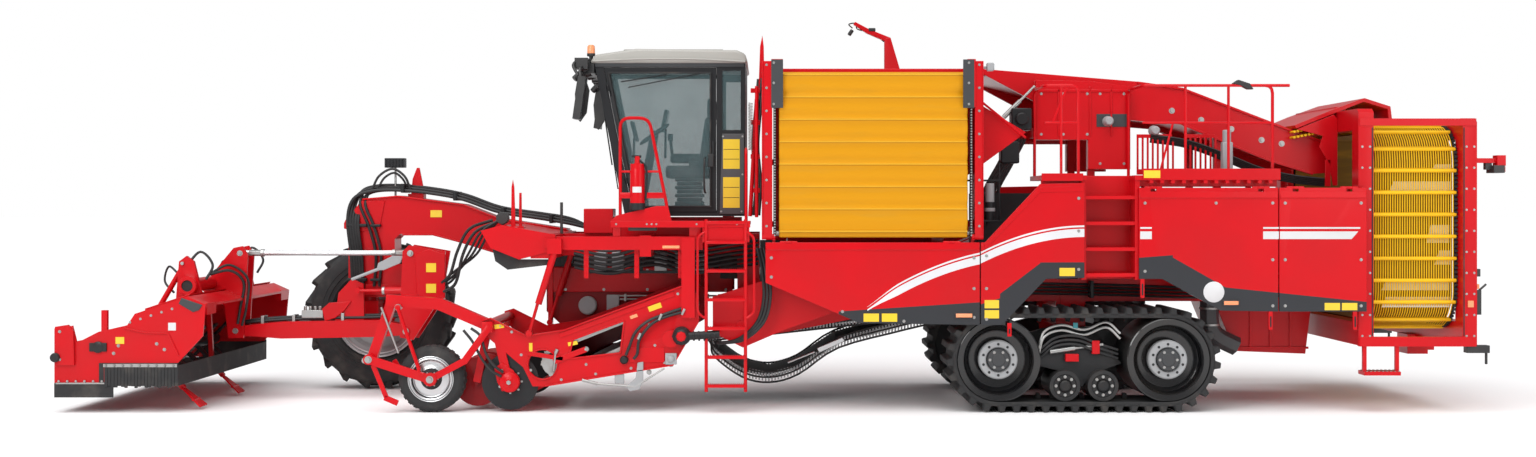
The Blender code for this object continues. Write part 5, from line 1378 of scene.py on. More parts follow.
@dataclass
class Topper:
    """The haulm topper in front: hood, flaps, masts, fingers and its parallel arms.

    Attributes:
        near: y of the hood's near end.
        far: y of its far end.
        nose: x of its front edge.
        body: the CAD body it rides on.
    """

    near: float = -1.5
    far: float = 1.66
    nose: float = -7.57
    body: str = "topper"

    def build(self) -> None:
        """Build every piece."""
        rounded("topper_housing", RED, 0.005)
        rounded("topper_skirt", RUBBER, 0.003, 1)
        rounded("topper_rotor", SATIN_BLACK, 0.004, 1)
        rounded("topper_arm", RED, 0.006)
        dress(SILVER, "topper_link")
        self.seams()
        self.fasteners()
        self.flap()
        self.masts()
        self.arm_hoses()
        self.link_ends()
        self.markers()

    def seams(self) -> None:
        """Pressed edges along the end plate and the raised top cover."""
        piece = Piece("topper_seams", RED, self.body)
        y = (self.near - 0.014, self.near + 0.004)
        for start, end in (
            ((-7.05, 0.505), (-6.3, 0.505)), ((-7.04, 0.5), (-7.04, 0.32)),
            ((-6.84, 0.885), (-6.62, 0.835)), ((-6.62, 0.835), (-6.38, 0.83)),
            ((-6.38, 0.83), (-6.27, 0.6)),
        ):
            middle = (y[0] + y[1]) / 2
            piece.bar((start[0], middle, start[1]), (end[0], middle, end[1]), 0.016, 0.016)
        piece.done(0.003)
        Piece("topper_top_cover", RED, self.body).plate(
            ((-6.66, 1.062), (-6.2, 1.214), (-6.19, 1.236), (-6.66, 1.082)), (-1.4, 1.56),
        ).done(0.004)
        Piece("topper_grey_cover", DARK_GREY, self.body).plate(
            ((-6.24, 1.2), (-6.02, 1.125), (-6.06, 1.07), (-6.12, 1.05), (-6.27, 1.14)), (-1.512, -1.4),
        ).done(0.006)

    def fasteners(self) -> None:
        """Bolts on the end plate, the belt cover and along the flaps."""
        piece = Piece("topper_bolts", STEEL, self.body)
        rail = [(-7.02 + 0.088 * step, self.near - 0.026, 0.495) for step in range(9)]
        top = [(-6.78 + 0.11 * step, self.near, 0.945 + 0.035 * step) for step in range(5)]
        piece.bolts(rail + top, size=0.009)
        front = [(self.nose + 0.05 + 0.09 * step, self.near - 0.013, 0.33) for step in range(6)]
        piece.bolts(front, size=0.008)
        for x, z in ((-6.95, 0.62), (-6.9, 0.7), (-6.5, 0.72), (-6.42, 0.66)):
            piece.bolts([(x, self.near, z)], size=0.012)
        piece.bolts([(-7.5, self.near - 0.035, 0.56), (-7.5, self.near - 0.035, 0.85)], size=0.011)
        piece.done()
        hub = Piece("topper_gearbox_end", SATIN_BLACK, self.body)
        hub.turnings(
            (((0.0, -0.05), (0.045, -0.05), (0.05, -0.03), (0.05, 0.0)), (-7.545, self.near - 0.02, 0.58)),
            (((0.0, -0.03), (0.035, -0.03), (0.06, -0.02), (0.06, 0.0)), (-7.11, self.near, 0.685)),
        )
        hub.box((-7.2, -7.02), (self.near - 0.02, self.near + 0.002), (0.64, 0.73))
        hub.done(0.004)

    def flap(self) -> None:
        """The dark rubber apron behind the hood with the bar that holds it."""
        piece = Piece("topper_flap", RUBBER, self.body)
        count = 22
        for step in range(count):
            x = -7.04 + step * 0.77 / count
            low = 0.272 + 0.012 * math.sin(step * 1.9)
            piece.box((x, x + 0.033), (self.near - 0.024, self.near - 0.014), (low, 0.5))
        piece.done(0.002, segments=1)
        Piece("topper_flap_rail", STEEL, self.body).boxes(
            ((-7.05, -6.28), (self.near - 0.028, self.near - 0.022), (0.478, 0.512)),
            ((self.nose + 0.02, -7.0), (self.near - 0.018, self.near - 0.011), (0.3, 0.316)),
        ).done(0.001, segments=1)

    def masts(self) -> None:
        """Hoses, pins and cylinders at the two lifting masts."""
        hose = Piece("topper_hoses", HOSE, self.body)
        for y in (self.near + 0.62, self.far - 0.66):
            hose.hoses(
                (((-6.44, y + 0.11, 1.5), (-6.3, y + 0.16, 1.66), (-6.16, y + 0.14, 1.52),
                    (-6.22, y + 0.1, 1.36)), 0.014),
                (((-6.52, y + 0.11, 1.42), (-6.64, y + 0.15, 1.5), (-6.68, y + 0.14, 1.34),
                    (-6.56, y + 0.08, 1.22)), 0.012),
            )
        hose.hoses(
            (((-6.3, -0.45, 1.4), (-6.1, -0.32, 1.44), (-5.98, -0.22, 1.3), (-6.02, -0.215, 1.02),
                (-6.05, -0.21, 0.84)), 0.016),
            (((-6.3, -0.4, 1.41), (-6.12, -0.27, 1.5), (-5.93, -0.23, 1.34), (-5.95, -0.225, 1.02),
                (-6.0, -0.22, 0.82)), 0.014),
        )
        hose.done()
        steel = Piece("topper_pins", STEEL, self.body)
        ends = Piece("topper_tube_ends", RED, self.body)
        holes = Piece("topper_tube_holes", RUBBER, self.body)
        for y in (self.near + 0.62, self.far - 0.66):
            steel.rods(
                ((-6.44, y - 0.02, 1.54), (-6.44, y + 0.13, 1.54), 0.018),
                ((-6.545, y + 0.08, 1.36), (-6.7, y + 0.08, 1.095), 0.022, 12),
            )
            lip = ((0.062, -0.07), (0.062, -0.1), (0.095, -0.1), (0.1, -0.094), (0.1, -0.07))
            ends.turned(lip, (-6.36, y, 1.3), steps=32)
            # A black rubber disc inside the lip: painted shade for the open tube mouth.
            holes.rod((-6.36, y - 0.085, 1.3), (-6.36, y - 0.07, 1.3), 0.064, 24)
        steel.bolts([(-6.03, -0.2, 1.63), (-6.08, -0.2, 0.76)], size=0.022)
        steel.bolts([(-6.03, 0.06, 1.63), (-6.08, 0.06, 0.76)], size=0.022, out=1.0)
        steel.done()
        ends.done()
        holes.done()

    def arm_hoses(self) -> None:
        """The hose bundle along the lower arm, held by clips."""
        hose = Piece("arm_hoses", HOSE, "topper_arm")
        for index in range(4):
            y = -0.098 + 0.038 * index
            z = 0.02 * (index % 2)
            hose.hose(
                ((-4.25, y, 0.92 + z), (-4.6, y, 0.905 + z), (-5.0, y, 0.9 + z), (-5.3, y, 0.888 + z),
                    (-5.58, y, 0.88 + z), (-5.9, y + 0.01, 0.855 + z), (-6.04, y + 0.02, 0.83 + z)),
                0.0165,
            )
        hose.done()
        clip = Piece("arm_clips", STEEL, "topper_arm")
        for x, z in ((-5.8, 0.872), (-5.45, 0.885), (-4.9, 0.905), (-4.45, 0.91)):
            clip.box((x - 0.018, x + 0.018), (-0.121, 0.038), (z - 0.045, z + 0.05))
        clip.done(0.004)
        block = Piece("arm_valve_block", STEEL, "topper_arm")
        block.box((-5.36, -5.12), (-0.12, -0.01), (0.9, 0.985))
        for step in range(4):
            block.rod((-5.33 + 0.055 * step, -0.065, 0.98), (-5.33 + 0.055 * step, -0.065, 1.03), 0.02, 6)
        block.done(0.004)
        Piece("arm_top_box", RED, "topper_arm").plate(
            ((-5.1, 0.86), (-5.13, 1.0), (-5.05, 1.07), (-4.8, 1.09), (-4.88, 0.98), (-4.98, 0.9)),
            (-0.125, -0.101),
        ).done(0.006)

    def link_ends(self) -> None:
        """Turnbuckle ends, a lock nut and a pin on the upper tube."""
        piece = Piece("link_ends", STEEL, "topper_link")
        z = 1.63
        for x, way in ((-4.11, -1), (-6.03, 1)):
            piece.rods(
                ((x + way * 0.07, -0.07, z), (x + way * 0.2, -0.07, z), 0.036, 6),
                ((x, -0.19, z), (x, 0.045, z), 0.022, 16),
                ((x + way * 0.2, -0.07, z), (x + way * 0.24, -0.07, z), 0.042, 16),
            )
        piece.done(0.003)
        grey = Piece("link_grip", LIGHT_GREY)
        grey.rod((-4.46, -0.19, 1.46), (-4.78, -0.19, 1.335), 0.018, 12)
        grey.plate(
            ((-4.2, 1.6), (-4.23, 1.52), (-4.42, 1.44), (-4.5, 1.44), (-4.48, 1.52), (-4.32, 1.6)),
            (-0.207, -0.18),
        )
        grey.done(0.004)

    def markers(self) -> None:
        """Blank warning plates."""
        Piece("topper_plates", PLATE_YELLOW, self.body).box(
            (-6.93, -6.84), (self.near - 0.002, self.near + 0.001), (0.72, 0.79),
        ).done()
        Piece("topper_tag", PLATE_WHITE, self.body).box(
            (-6.38, -6.3), (self.near - 0.002, self.near + 0.001), (0.86, 0.94),
        ).done()


@dataclass
class Gooseneck:
    """The arched frame over the front wheel with its hoses, sensor and brackets.

    Attributes:
        y: the plane of the arch's middle.
        half: half of the arch's width.
    """

    y: float = 0.42
    half: float = 0.18

    def build(self) -> None:
        """Build every piece."""
        self.folds()
        self.hoses()
        self.sensor()
        self.brackets()
        self.plates()

    def folds(self) -> None:
        """Raised edges and a faceted cap on the leg."""
        near = self.y - self.half
        piece = Piece("gooseneck_flanges", RED)
        top = ((-4.76, 2.235), (-4.35, 2.27), (-3.6, 2.17), (-3.19, 2.01), (-2.42, 1.89))
        low = ((-4.3, 1.83), (-3.95, 1.83), (-3.61, 1.74), (-3.12, 1.59))
        for line, width in ((top, 0.4), (low, 0.4)):
            for start, end in zip(line, line[1:]):
                a, b = (start[0], self.y, start[1]), (end[0], self.y, end[1])
                piece.bar(a, b, width, 0.018)
        piece.box((-4.92, -4.39), (near - 0.018, near), (1.14, 1.26))
        piece.plate(
            ((-4.92, 2.03), (-4.76, 2.22), (-4.5, 2.22), (-4.56, 1.9), (-4.8, 1.86)),
            (near - 0.012, near + 0.002),
        )
        piece.done(0.005)
        Piece("gooseneck_eye", RED).plate(
            ((-4.93, 1.98), (-4.97, 2.02), (-5.0, 1.96), (-5.0, 1.9), (-4.93, 1.88), (-4.9, 1.9),
                (-4.9, 1.98)),
            (0.35, 0.38),
        ).done(0.004)

    def hoses(self) -> None:
        """Bundles down the leg and over the arch, strapped to it."""
        hose = Piece("gooseneck_hoses", HOSE)
        for index in range(5):
            y = 0.26 + 0.075 * index
            rise = 0.028 * (index % 3)
            hose.hose(
                ((-4.86 + 0.03 * index, 0.2, 1.22), (-4.88 + 0.03 * index, 0.2, 1.6),
                    (-4.92 + 0.03 * index, 0.2, 2.0), (-4.86 + 0.02 * index, y - 0.03, 2.24 + rise),
                    (-4.66, y, 2.33 + rise), (-4.35, y, 2.34 + rise), (-3.95, y, 2.3 + rise),
                    (-3.6, y, 2.23 + rise), (-3.2, y, 2.09 + rise), (-2.75, y, 2.02 + rise),
                    (-2.4, y, 1.96 + rise), (-2.15, y, 1.9)),
                0.019,
            )
        for index in range(2):
            x = -4.62 + 0.06 * index
            hose.hose(
                ((x, 0.21, 1.24), (x + 0.02, 0.21, 1.6), (x - 0.06, 0.21, 1.92), (x - 0.16, 0.22, 2.16),
                    (x - 0.15, 0.3, 2.3)),
                0.017,
            )
        hose.hoses(
            (((-4.66, 0.28, 2.34), (-4.58, 0.28, 2.5), (-4.43, 0.3, 2.585), (-4.29, 0.3, 2.5),
                (-4.22, 0.29, 2.35)), 0.014),
            (((-4.6, 0.33, 2.36), (-4.53, 0.33, 2.48), (-4.42, 0.35, 2.54), (-4.32, 0.34, 2.47),
                (-4.26, 0.33, 2.36)), 0.013),
        )
        hose.done()
        strap = Piece("gooseneck_straps", SATIN_BLACK)
        for x, z in ((-4.3, 2.34), (-3.7, 2.25), (-3.15, 2.07), (-2.6, 1.99)):
            strap.box((x - 0.02, x + 0.02), (0.22, 0.6), (z - 0.03, z + 0.075))
        for z in (1.3, 1.62, 1.92):
            strap.boxes(
                ((-4.92, -4.7), (0.175, 0.24), (z, z + 0.035)),
                ((-4.66, -4.54), (0.175, 0.24), (z, z + 0.03)),
            )
        strap.done(0.008)

    def sensor(self) -> None:
        """The sensor block on its bent bracket, and a red post beside it."""
        block = Piece("sensor_block", SATIN_BLACK)
        block.box((-4.53, -4.3), (0.34, 0.46), (2.6, 2.71))
        for step in range(6):
            x = -4.515 + 0.036 * step
            block.box((x, x + 0.014), (0.33, 0.34), (2.61, 2.7))
        block.done(0.008)
        Piece("sensor_stem", STEEL).rod((-4.415, 0.4, 2.26), (-4.415, 0.4, 2.61), 0.013).done()
        post = Piece("sensor_post", RED)
        post.plate(
            ((-4.24, 2.25), (-4.22, 2.47), (-4.17, 2.6), (-4.14, 2.6), (-4.1, 2.4), (-4.1, 2.25)),
            (0.4, 0.43),
        )
        post.box((-4.26, -4.08), (0.34, 0.5), (2.24, 2.3))
        post.done(0.005)

    def brackets(self) -> None:
        """Pins and bolts on the linkage bracket, the cylinder's glands, and side cover."""
        steel = Piece("bracket_pins", STEEL)
        for x, z in ((-4.16, 0.76), (-4.11, 1.63)):
            steel.bolts([(x, -0.26, z)], size=0.024)
        steel.bolts(
            [(-4.02, -0.245, 1.21), (-3.86, -0.24, 1.25), (-3.86, -0.24, 1.45), (-4.0, -0.24, 1.45)],
            size=0.014,
        )
        steel.rod((-4.41, -0.17, 1.21), (-4.44, -0.17, 1.21), 0.046, 20)
        steel.done(0.002)
        Piece("bracket_plate", RED).plate(
            ((-4.04, 1.18), (-4.06, 1.62), (-3.9, 1.68), (-3.72, 1.62), (-3.72, 1.12), (-3.86, 1.04)),
            (-0.262, -0.241),
        ).done(0.006)
        hose = Piece("bracket_hoses", HOSE)
        hose.hoses(
            (((-3.74, -0.25, 1.2), (-3.6, -0.27, 1.3), (-3.52, -0.26, 1.62), (-3.4, -0.2, 1.86),
                (-3.2, -0.12, 1.97)), 0.018),
            (((-3.76, -0.25, 1.3), (-3.66, -0.27, 1.4), (-3.58, -0.26, 1.66), (-3.46, -0.2, 1.9),
                (-3.22, -0.08, 2.0)), 0.018),
        )
        for step in range(3):
            y, shift = -0.21 + 0.045 * step, 0.04 * step
            start = (-3.74, y, 1.26 + shift)
            hose.hose(
                (start, (-3.62, y, 1.36 + shift), (-3.47 + shift, y, 1.62), (-3.34 + shift, y + 0.03, 1.86),
                    (-3.16, y + 0.08, 1.99)),
                0.014,
            )
        hose.hose(
            ((-4.41, 0.2, 1.515), (-4.28, 0.1, 1.515), (-4.12, -0.06, 1.5), (-4.03, -0.18, 1.45)), 0.015,
        )
        hose.done()

    def plates(self) -> None:
        """Blank yellow plates."""
        y = self.y - self.half
        Piece("gooseneck_plates", PLATE_YELLOW).boxes(
            ((-3.98, -3.85), (y - 0.004, y - 0.001), (2.03, 2.11)),
            ((-3.93, -3.82), (-0.266, -0.263), (1.42, 1.52)),
            ((-3.93, -3.82), (-0.266, -0.263), (1.19, 1.29)),
        ).done()


# Front wheel and digging unit


@dataclass
class FrontWheel:
    """The big front wheel: tyre with cleats, pressed rim, hub and nuts.

    Attributes:
        centre: the wheel's middle.
        rim: radius of the rim's edge.
        nuts: wheel nuts.
    """

    centre: Point = (-4.71, 1.05, 0.875)
    rim: float = 0.5
    nuts: int = 10

    def build(self) -> None:
        """Build every piece."""
        rounded("front_tyre", TYRE, 0.012)
        dress(LIGHT_GREY, "front_rim")
        dress(RED, "front_knuckle")
        x, _, z = self.centre
        bands = Piece("front_tyre_ribs", TYRE, "front_wheel")
        for y, side in ((0.752, 1), (1.348, -1)):
            for radius in (0.545, 0.6, 0.655):
                bands.hoop((x, y + side * 0.002, z), radius, 0.007, 60, 6)
        bands.done()
        rim = Piece("front_rim_beads", SILVER, "front_wheel")
        for y in (0.795, 1.305):
            for radius in (self.rim - 0.012, self.rim - 0.05):
                rim.hoop((x, y, z), radius, 0.009, 72)
        rim.done()
        nuts = Piece("front_wheel_nuts", STEEL, "front_wheel")
        for face, out in ((self._disc_y(), -1.0),):
            for step in range(self.nuts):
                angle = 2 * math.pi * step / self.nuts
                place = (x + 0.17 * math.cos(angle), face, z + 0.17 * math.sin(angle))
                nuts.bolts([place], size=0.017, out=out)
        nuts.done()

    def _disc_y(self) -> float:
        """The y of the rim's disc on the side towards the camera.

        Returns:
            The place along Y.
        """
        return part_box("front_rim")[0][1]


@dataclass
class DiggingUnit:
    """The side digging unit: side plates, shares, discs, depth wheel, webs and hoses.

    Attributes:
        near: y of its near side plate's outer face.
        far: y of the far one.
        body: the CAD body it rides on.
    """

    near: float = -1.45
    far: float = 0.19
    body: str = "digging_unit"

    def build(self) -> None:
        """Build every piece."""
        rounded("digging_frame", RED, 0.005)
        # The diabolo rollers take the darker red copy: painted shade.
        rounded("diabolo_rollers", SHADED_RED, 0.008)
        dress(SATIN_BLACK, "cutting_disc_left", "cutting_disc_right")
        dress(STEEL, "sieving_web")
        self.side_folds()
        self.fasteners()
        self.drives()
        self.hoses()
        self.shares()
        self.rods()
        self.wheel()
        self.discs()
        self.guards()
        self.plates()

    def side_folds(self) -> None:
        """Folded flanges along the side plate, with its stiffening ribs."""
        piece = Piece("digging_flanges", RED, self.body)
        y = (self.near - 0.028, self.near + 0.004)
        middle = (y[0] + y[1]) / 2
        for line in (
            ((-2.64, 0.8), (-2.25, 0.86), (-0.99, 1.33)), ((-2.45, 0.275), (-1.11, 0.495)),
            ((-1.11, 0.495), (-0.845, 0.945)), ((-3.12, 0.955), (-3.02, 0.985), (-2.66, 0.805)),
        ):
            for start, end in zip(line, line[1:]):
                piece.bar((start[0], middle, start[1]), (end[0], middle, end[1]), y[1] - y[0], 0.014)
        piece.bars(
            ((-2.3, self.near - 0.004, 0.8), (-1.1, self.near - 0.004, 1.24), 0.012, 0.05),
            ((-1.6, self.near - 0.004, 0.6), (-1.2, self.near - 0.004, 0.6), 0.012, 0.16),
        )
        piece.done(0.003)
        ring = Piece("digging_window_frames", RED, self.body)
        ring.hoop((-2.474, self.near - 0.006, 0.5), 0.158, 0.009, 40)
        for start, end in zip(
            ((-2.2, 0.56), (-2.16, 0.76), (-1.62, 0.96), (-1.66, 0.62)),
            ((-2.16, 0.76), (-1.62, 0.96), (-1.66, 0.62), (-2.2, 0.56)),
        ):
            ring.bar(
                (start[0], self.near - 0.006, start[1]), (end[0], self.near - 0.006, end[1]), 0.012, 0.018,
            )
        ring.bars(
            ((-2.64, self.near - 0.01, 0.62), (-2.26, self.near - 0.01, 0.56), 0.016, 0.045),
            ((-2.36, self.near - 0.01, 0.53), (-2.02, self.near - 0.01, 0.66), 0.016, 0.06),
        )
        ring.done(0.003)

    def fasteners(self) -> None:
        """Bolts, bearing housings and pivots on the near side plate."""
        face = self.near
        piece = Piece("digging_bolts", STEEL, self.body)
        for x, z in (
            (-2.92, 0.9), (-2.8, 0.84), (-2.06, 0.88), (-1.8, 0.98), (-1.52, 1.09), (-1.28, 1.18),
            (-1.06, 1.24), (-0.92, 1.14), (-0.93, 1.0), (-1.2, 0.52), (-1.55, 0.46), (-1.92, 0.4),
            (-2.28, 0.34), (-2.6, 0.44), (-2.7, 0.6), (-2.02, 0.5), (-1.36, 0.92), (-1.3, 0.7),
        ):
            piece.bolts([(x, face, z)], size=0.01)
        for x, z in ((-2.38, 0.4), (-2.02, 0.66), (-1.13, 0.5), (-1.36, 0.42)):
            piece.bolts([(x, face - 0.004, z)], size=0.019)
        piece.done()
        bearing = Piece("digging_bearings", LIGHT_GREY, self.body)
        bearing.box((-1.19, -1.07), (face - 0.03, face + 0.002), (0.5, 0.62))
        bearing.turned(
            ((0.0, -0.055), (0.022, -0.055), (0.03, -0.045), (0.045, -0.03), (0.05, 0.0)),
            (-1.13, face, 0.56), steps=24,
        )
        bearing.box((-1.72, -1.62), (face - 0.022, face + 0.002), (0.3, 0.4))
        bearing.done(0.008)

    def drives(self) -> None:
        """The hydraulic motor with its red cap, and the lower adjusting arm."""
        face = self.near
        motor = Piece("web_motor", SATIN_BLACK, self.body)
        motor.turned(
            ((0.0, -0.12), (0.05, -0.12), (0.075, -0.1), (0.095, -0.06), (0.1, 0.0)), (-1.02, face, 0.8),
            steps=32,
        )
        motor.rod((-0.96, face - 0.055, 0.8), (-0.62, face - 0.055, 0.82), 0.042, 20)
        for step in range(5):
            x = -0.9 + 0.055 * step
            motor.rod((x, face - 0.055, 0.802), (x + 0.018, face - 0.055, 0.803), 0.052, 20)
        for step in range(6):
            angle = step * math.pi / 3
            motor.rod(
                (-1.02 + 0.085 * math.cos(angle), face - 0.01, 0.8 + 0.085 * math.sin(angle)),
                (-1.02 + 0.085 * math.cos(angle), face - 0.075, 0.8 + 0.085 * math.sin(angle)), 0.014, 8,
            )
        motor.turned(
            ((0.0, -0.06), (0.03, -0.06), (0.045, -0.04), (0.045, 0.0)), (-1.62, face, 0.55), steps=24,
        )
        motor.done(0.003)
        Piece("web_motor_cap", RED, self.body).turned(
            ((0.0, -0.135), (0.045, -0.135), (0.055, -0.118), (0.055, -0.1)), (-1.02, face, 0.8), steps=8,
        ).done(0.003)
        Piece("web_tension_arm", LIGHT_GREY, self.body).plate(
            ((-1.48, 0.52), (-1.42, 0.53), (-1.42, 0.34), (-1.46, 0.24), (-1.56, 0.22), (-1.6, 0.27),
                (-1.5, 0.36)),
            (face - 0.028, face - 0.004),
        ).done(0.005)
        Piece("web_tension_rods", STEEL, self.body).rods(
            ((-1.9, face - 0.02, 0.3), (-1.52, face - 0.02, 0.27), 0.011, 10),
            ((-1.52, face - 0.02, 0.26), (-1.2, face - 0.02, 0.46), 0.009, 10),
            ((-2.06, face - 0.02, 0.34), (-1.9, face - 0.02, 0.3), 0.016, 10),
            ((-2.36, face - 0.012, 0.43), (-2.34, face - 0.012, 0.62), 0.012, 10),
            ((-2.34, face - 0.012, 0.62), (-2.32, face - 0.012, 0.66), 0.02, 10),
        ).done()

    def hoses(self) -> None:
        """Hoses to the web motor and the roller, clipped along the side plate."""
        y = self.near - 0.05
        Piece("digging_hoses", HOSE, self.body).hoses(
            (((-1.52, y, 0.56), (-1.48, y, 0.62), (-1.46, y, 0.76), (-1.36, y, 0.9), (-1.24, y, 0.98),
                (-1.05, y + 0.02, 1.04), (-0.93, y + 0.03, 1.06)), 0.016),
            (((-1.6, y, 0.6), (-1.56, y, 0.7), (-1.5, y, 0.84), (-1.38, y, 0.95), (-1.22, y, 1.02),
                (-1.04, y + 0.02, 1.08), (-0.92, y + 0.03, 1.1)), 0.016),
            (((-3.22, y + 0.02, 0.88), (-3.12, y, 0.8), (-3.06, y - 0.01, 0.62), (-2.98, y - 0.01, 0.5),
                (-2.88, y, 0.42)), 0.015),
            (((-3.3, y + 0.02, 0.86), (-3.2, y, 0.74), (-3.1, y - 0.01, 0.56), (-3.0, y - 0.01, 0.44),
                (-2.9, y, 0.38)), 0.015),
        ).done()
        clip = Piece("digging_clips", STEEL, self.body)
        for x, z in ((-1.24, 1.0), (-1.46, 0.8), (-1.0, 1.055)):
            clip.box((x - 0.012, x + 0.012), (y - 0.02, self.near), (z - 0.035, z + 0.035), ("Y", 25))
        clip.done(0.003)

    def shares(self) -> None:
        """Pointed share blades over the cross blade."""
        piece = Piece("share_blades", SHARE_STEEL, self.body)
        for step in range(6):
            y0 = self.near + 0.14 + step * 0.228
            low = [(-2.97, y0 + 0.1), (-2.9, y0 + 0.02), (-2.62, y0), (-2.62, y0 + 0.2), (-2.9, y0 + 0.18)]
            under = [(x, y, 0.057 + (x + 2.94) * 0.52) for x, y in low]
            piece.slab(under, [(x, y, z + 0.012) for x, y, z in under])
        piece.done(0.002)

    def rods(self) -> None:
        """The rods and rubber belts of the sieving web."""
        outer = (
            (-2.46, 0.63), (-1.06, 1.19), (-0.92, 1.14), (-0.9, 1.02), (-1.0, 0.94), (-2.3, 0.35),
            (-2.4, 0.37), (-2.5, 0.5),
        )
        span = (self.near + 0.035, self.far - 0.035)
        rods = Piece("web_rods", STEEL, self.body)
        places = along(outer, 0.036)
        for x, z in places:
            rods.rod((x, span[0], z), (x, span[1], z), 0.0065, 6)
        rods.done()
        belts = Piece("web_belts", RUBBER, self.body)
        route = [(x, z) for x, z in places]
        for y in (span[0] + 0.03, (span[0] + span[1]) / 2, span[1] - 0.03):
            for (x0, z0), (x1, z1) in zip(route, route[1:] + route[:1]):
                belts.bar((x0, y, z0), (x1, y, z1), 0.05, 0.012)
        belts.done()

    def wheel(self) -> None:
        """Tread blocks, the silver rim and its nuts on the depth wheel."""
        centre = (-3.64, self.near - 0.04, 0.35)
        rounded("depth_wheel", TYRE, 0.006)
        tread = Piece("depth_wheel_tread", TYRE, "depth_wheel")
        count = 30
        for step in range(count):
            for row, (low, high) in enumerate(((0.035, 0.105), (0.125, 0.195))):
                angle = 2 * math.pi * (step + 0.5 * row) / count
                x = centre[0] + 0.34 * math.cos(angle)
                z = centre[2] + 0.34 * math.sin(angle)
                y = (centre[1] + low, centre[1] + high)
                turn = ("Y", -math.degrees(angle))
                tread.box((x - 0.009, x + 0.009), y, (z - 0.021, z + 0.021), turn)
        tread.done(0.003)
        rim = Piece("depth_wheel_rim", SILVER, "depth_wheel")
        for radius, depth, thick in ((0.215, 0.004, 0.012), (0.19, 0.03, 0.008), (0.235, -0.002, 0.006)):
            rim.hoop((centre[0], centre[1] + depth, centre[2]), radius, thick)
        rim.turned(
            ((0.0, -0.012), (0.05, -0.012), (0.07, 0.01), (0.1, 0.03), (0.17, 0.045), (0.205, 0.04),
                (0.212, 0.01)),
            centre, steps=48,
        )
        rim.done()
        nuts = Piece("depth_wheel_nuts", STEEL, "depth_wheel")
        for step in range(6):
            angle = 2 * math.pi * step / 6
            nuts.bolts(
                [(centre[0] + 0.075 * math.cos(angle),
                    centre[1] + 0.008, centre[2] + 0.075 * math.sin(angle))],
                size=0.011,
            )
        nuts.done()

    def discs(self) -> None:
        """Hubs and rows of rivets on the cutting discs."""
        for body, y, out in (
            ("cutting_disc_left", self.near + 0.03, -1.0), ("cutting_disc_right", self.far - 0.03, 1.0),
        ):
            piece = Piece(f"{body}_rivets", STEEL, body)
            for step in range(8):
                angle = 2 * math.pi * step / 8
                piece.bolts(
                    [(-2.82 + 0.12 * math.cos(angle),
                        y - out * 0.006 + out * 0.0, 0.318 + 0.12 * math.sin(angle))],
                    size=0.008, out=out,
                )
            piece.done()
        hub = Piece("disc_bearings", RED, self.body)
        hub.turned(
            ((0.0, -0.075), (0.04, -0.075), (0.055, -0.06), (0.1, -0.05), (0.11, -0.03), (0.11, 0.0)),
            (-2.82, self.near, 0.318), steps=32,
        )
        hub.plate(
            ((-2.98, 0.46), (-2.9, 0.52), (-2.78, 0.44), (-2.73, 0.34), (-2.78, 0.24), (-2.9, 0.22),
                (-2.95, 0.32)),
            (self.near - 0.02, self.near - 0.001),
        )
        hub.done(0.004)
        nut = Piece("disc_nuts", STEEL, self.body)
        nut.bolts([(-2.82, self.near - 0.072, 0.318)], size=0.026)
        nut.bolts(
            [(-2.9, self.near - 0.02, 0.44), (-2.78, self.near - 0.02, 0.4),
                (-2.92, self.near - 0.02, 0.27)],
            size=0.01,
        )
        nut.done()

    def guards(self) -> None:
        """Small rods, levers and the rear skid arm ahead of the depth wheel."""
        red = Piece("digging_front_links", RED, self.body)
        y = self.near - 0.055
        red.bars(
            ((-4.24, y, 0.5), (-4.1, y, 0.16), 0.02, 0.05), ((-4.12, y, 0.16), (-3.98, y, 0.1), 0.02, 0.06),
            ((-4.05, -1.36, 0.54), (-3.86, -1.36, 0.22), 0.02, 0.05),
        )
        red.done(0.005)
        steel = Piece("digging_adjusters", STEEL, self.body)
        steel.rods(
            ((-4.16, y + 0.03, 1.1), (-3.98, y + 0.03, 0.62), 0.012, 10),
            ((-4.33, y, 0.545), (-4.33, y + 0.05, 0.545), 0.03, 12),
            ((-3.98, y - 0.002, 1.1), (-3.98, y + 0.03, 1.1), 0.035, 12),
            ((-3.76, y - 0.002, 0.4), (-3.76, y + 0.03, 0.4), 0.03, 12),
        )
        steel.bolts([(-4.283, self.near - 0.092, 0.557), (-3.64, self.near - 0.102, 0.35)], size=0.026)
        steel.done()

    def plates(self) -> None:
        """Blank yellow plates and orange reflectors."""
        face = self.near - 0.0015
        yellow = Piece("digging_plates", PLATE_YELLOW, self.body)
        for x, z, w, h, turn in (
            (-1.3, 1.1, 0.14, 0.055, 20), (-2.16, 0.72, 0.1, 0.04, 12), (-2.6, 0.68, 0.035, 0.09, 0),
            (-2.93, 0.9, 0.1, 0.045, 8),
        ):
            yellow.box(
                (x - w / 2, x + w / 2), (face - 0.001, face + 0.001), (z - h / 2, z + h / 2), ("Y", -turn),
            )
        yellow.done()
        Piece("digging_reflectors", AMBER, self.body).box(
            (-1.56, -1.48), (face - 0.004, face + 0.001), (0.985, 1.02), ("Y", -20),
        ).done(0.003)


def along(outline: Sequence[Point], pitch: float) -> list[Point]:
    """Places at about even spacing round a closed outline in the XZ plane.

    Args:
        outline: corners.
        pitch: wanted spacing in metres.

    Returns:
        The places.
    """
    corners = list(outline) + [outline[0]]
    lengths = [math.dist(a, b) for a, b in zip(corners, corners[1:])]
    count = max(3, round(sum(lengths) / pitch))
    made = []
    for step in range(count):
        want = sum(lengths) * step / count
        for (a, b), length in zip(zip(corners, corners[1:]), lengths):
            if want <= length:
                share = want / length
                made.append((a[0] + (b[0] - a[0]) * share, a[1] + (b[1] - a[1]) * share))
                break
            want -= length
    return made


# Cab and its access


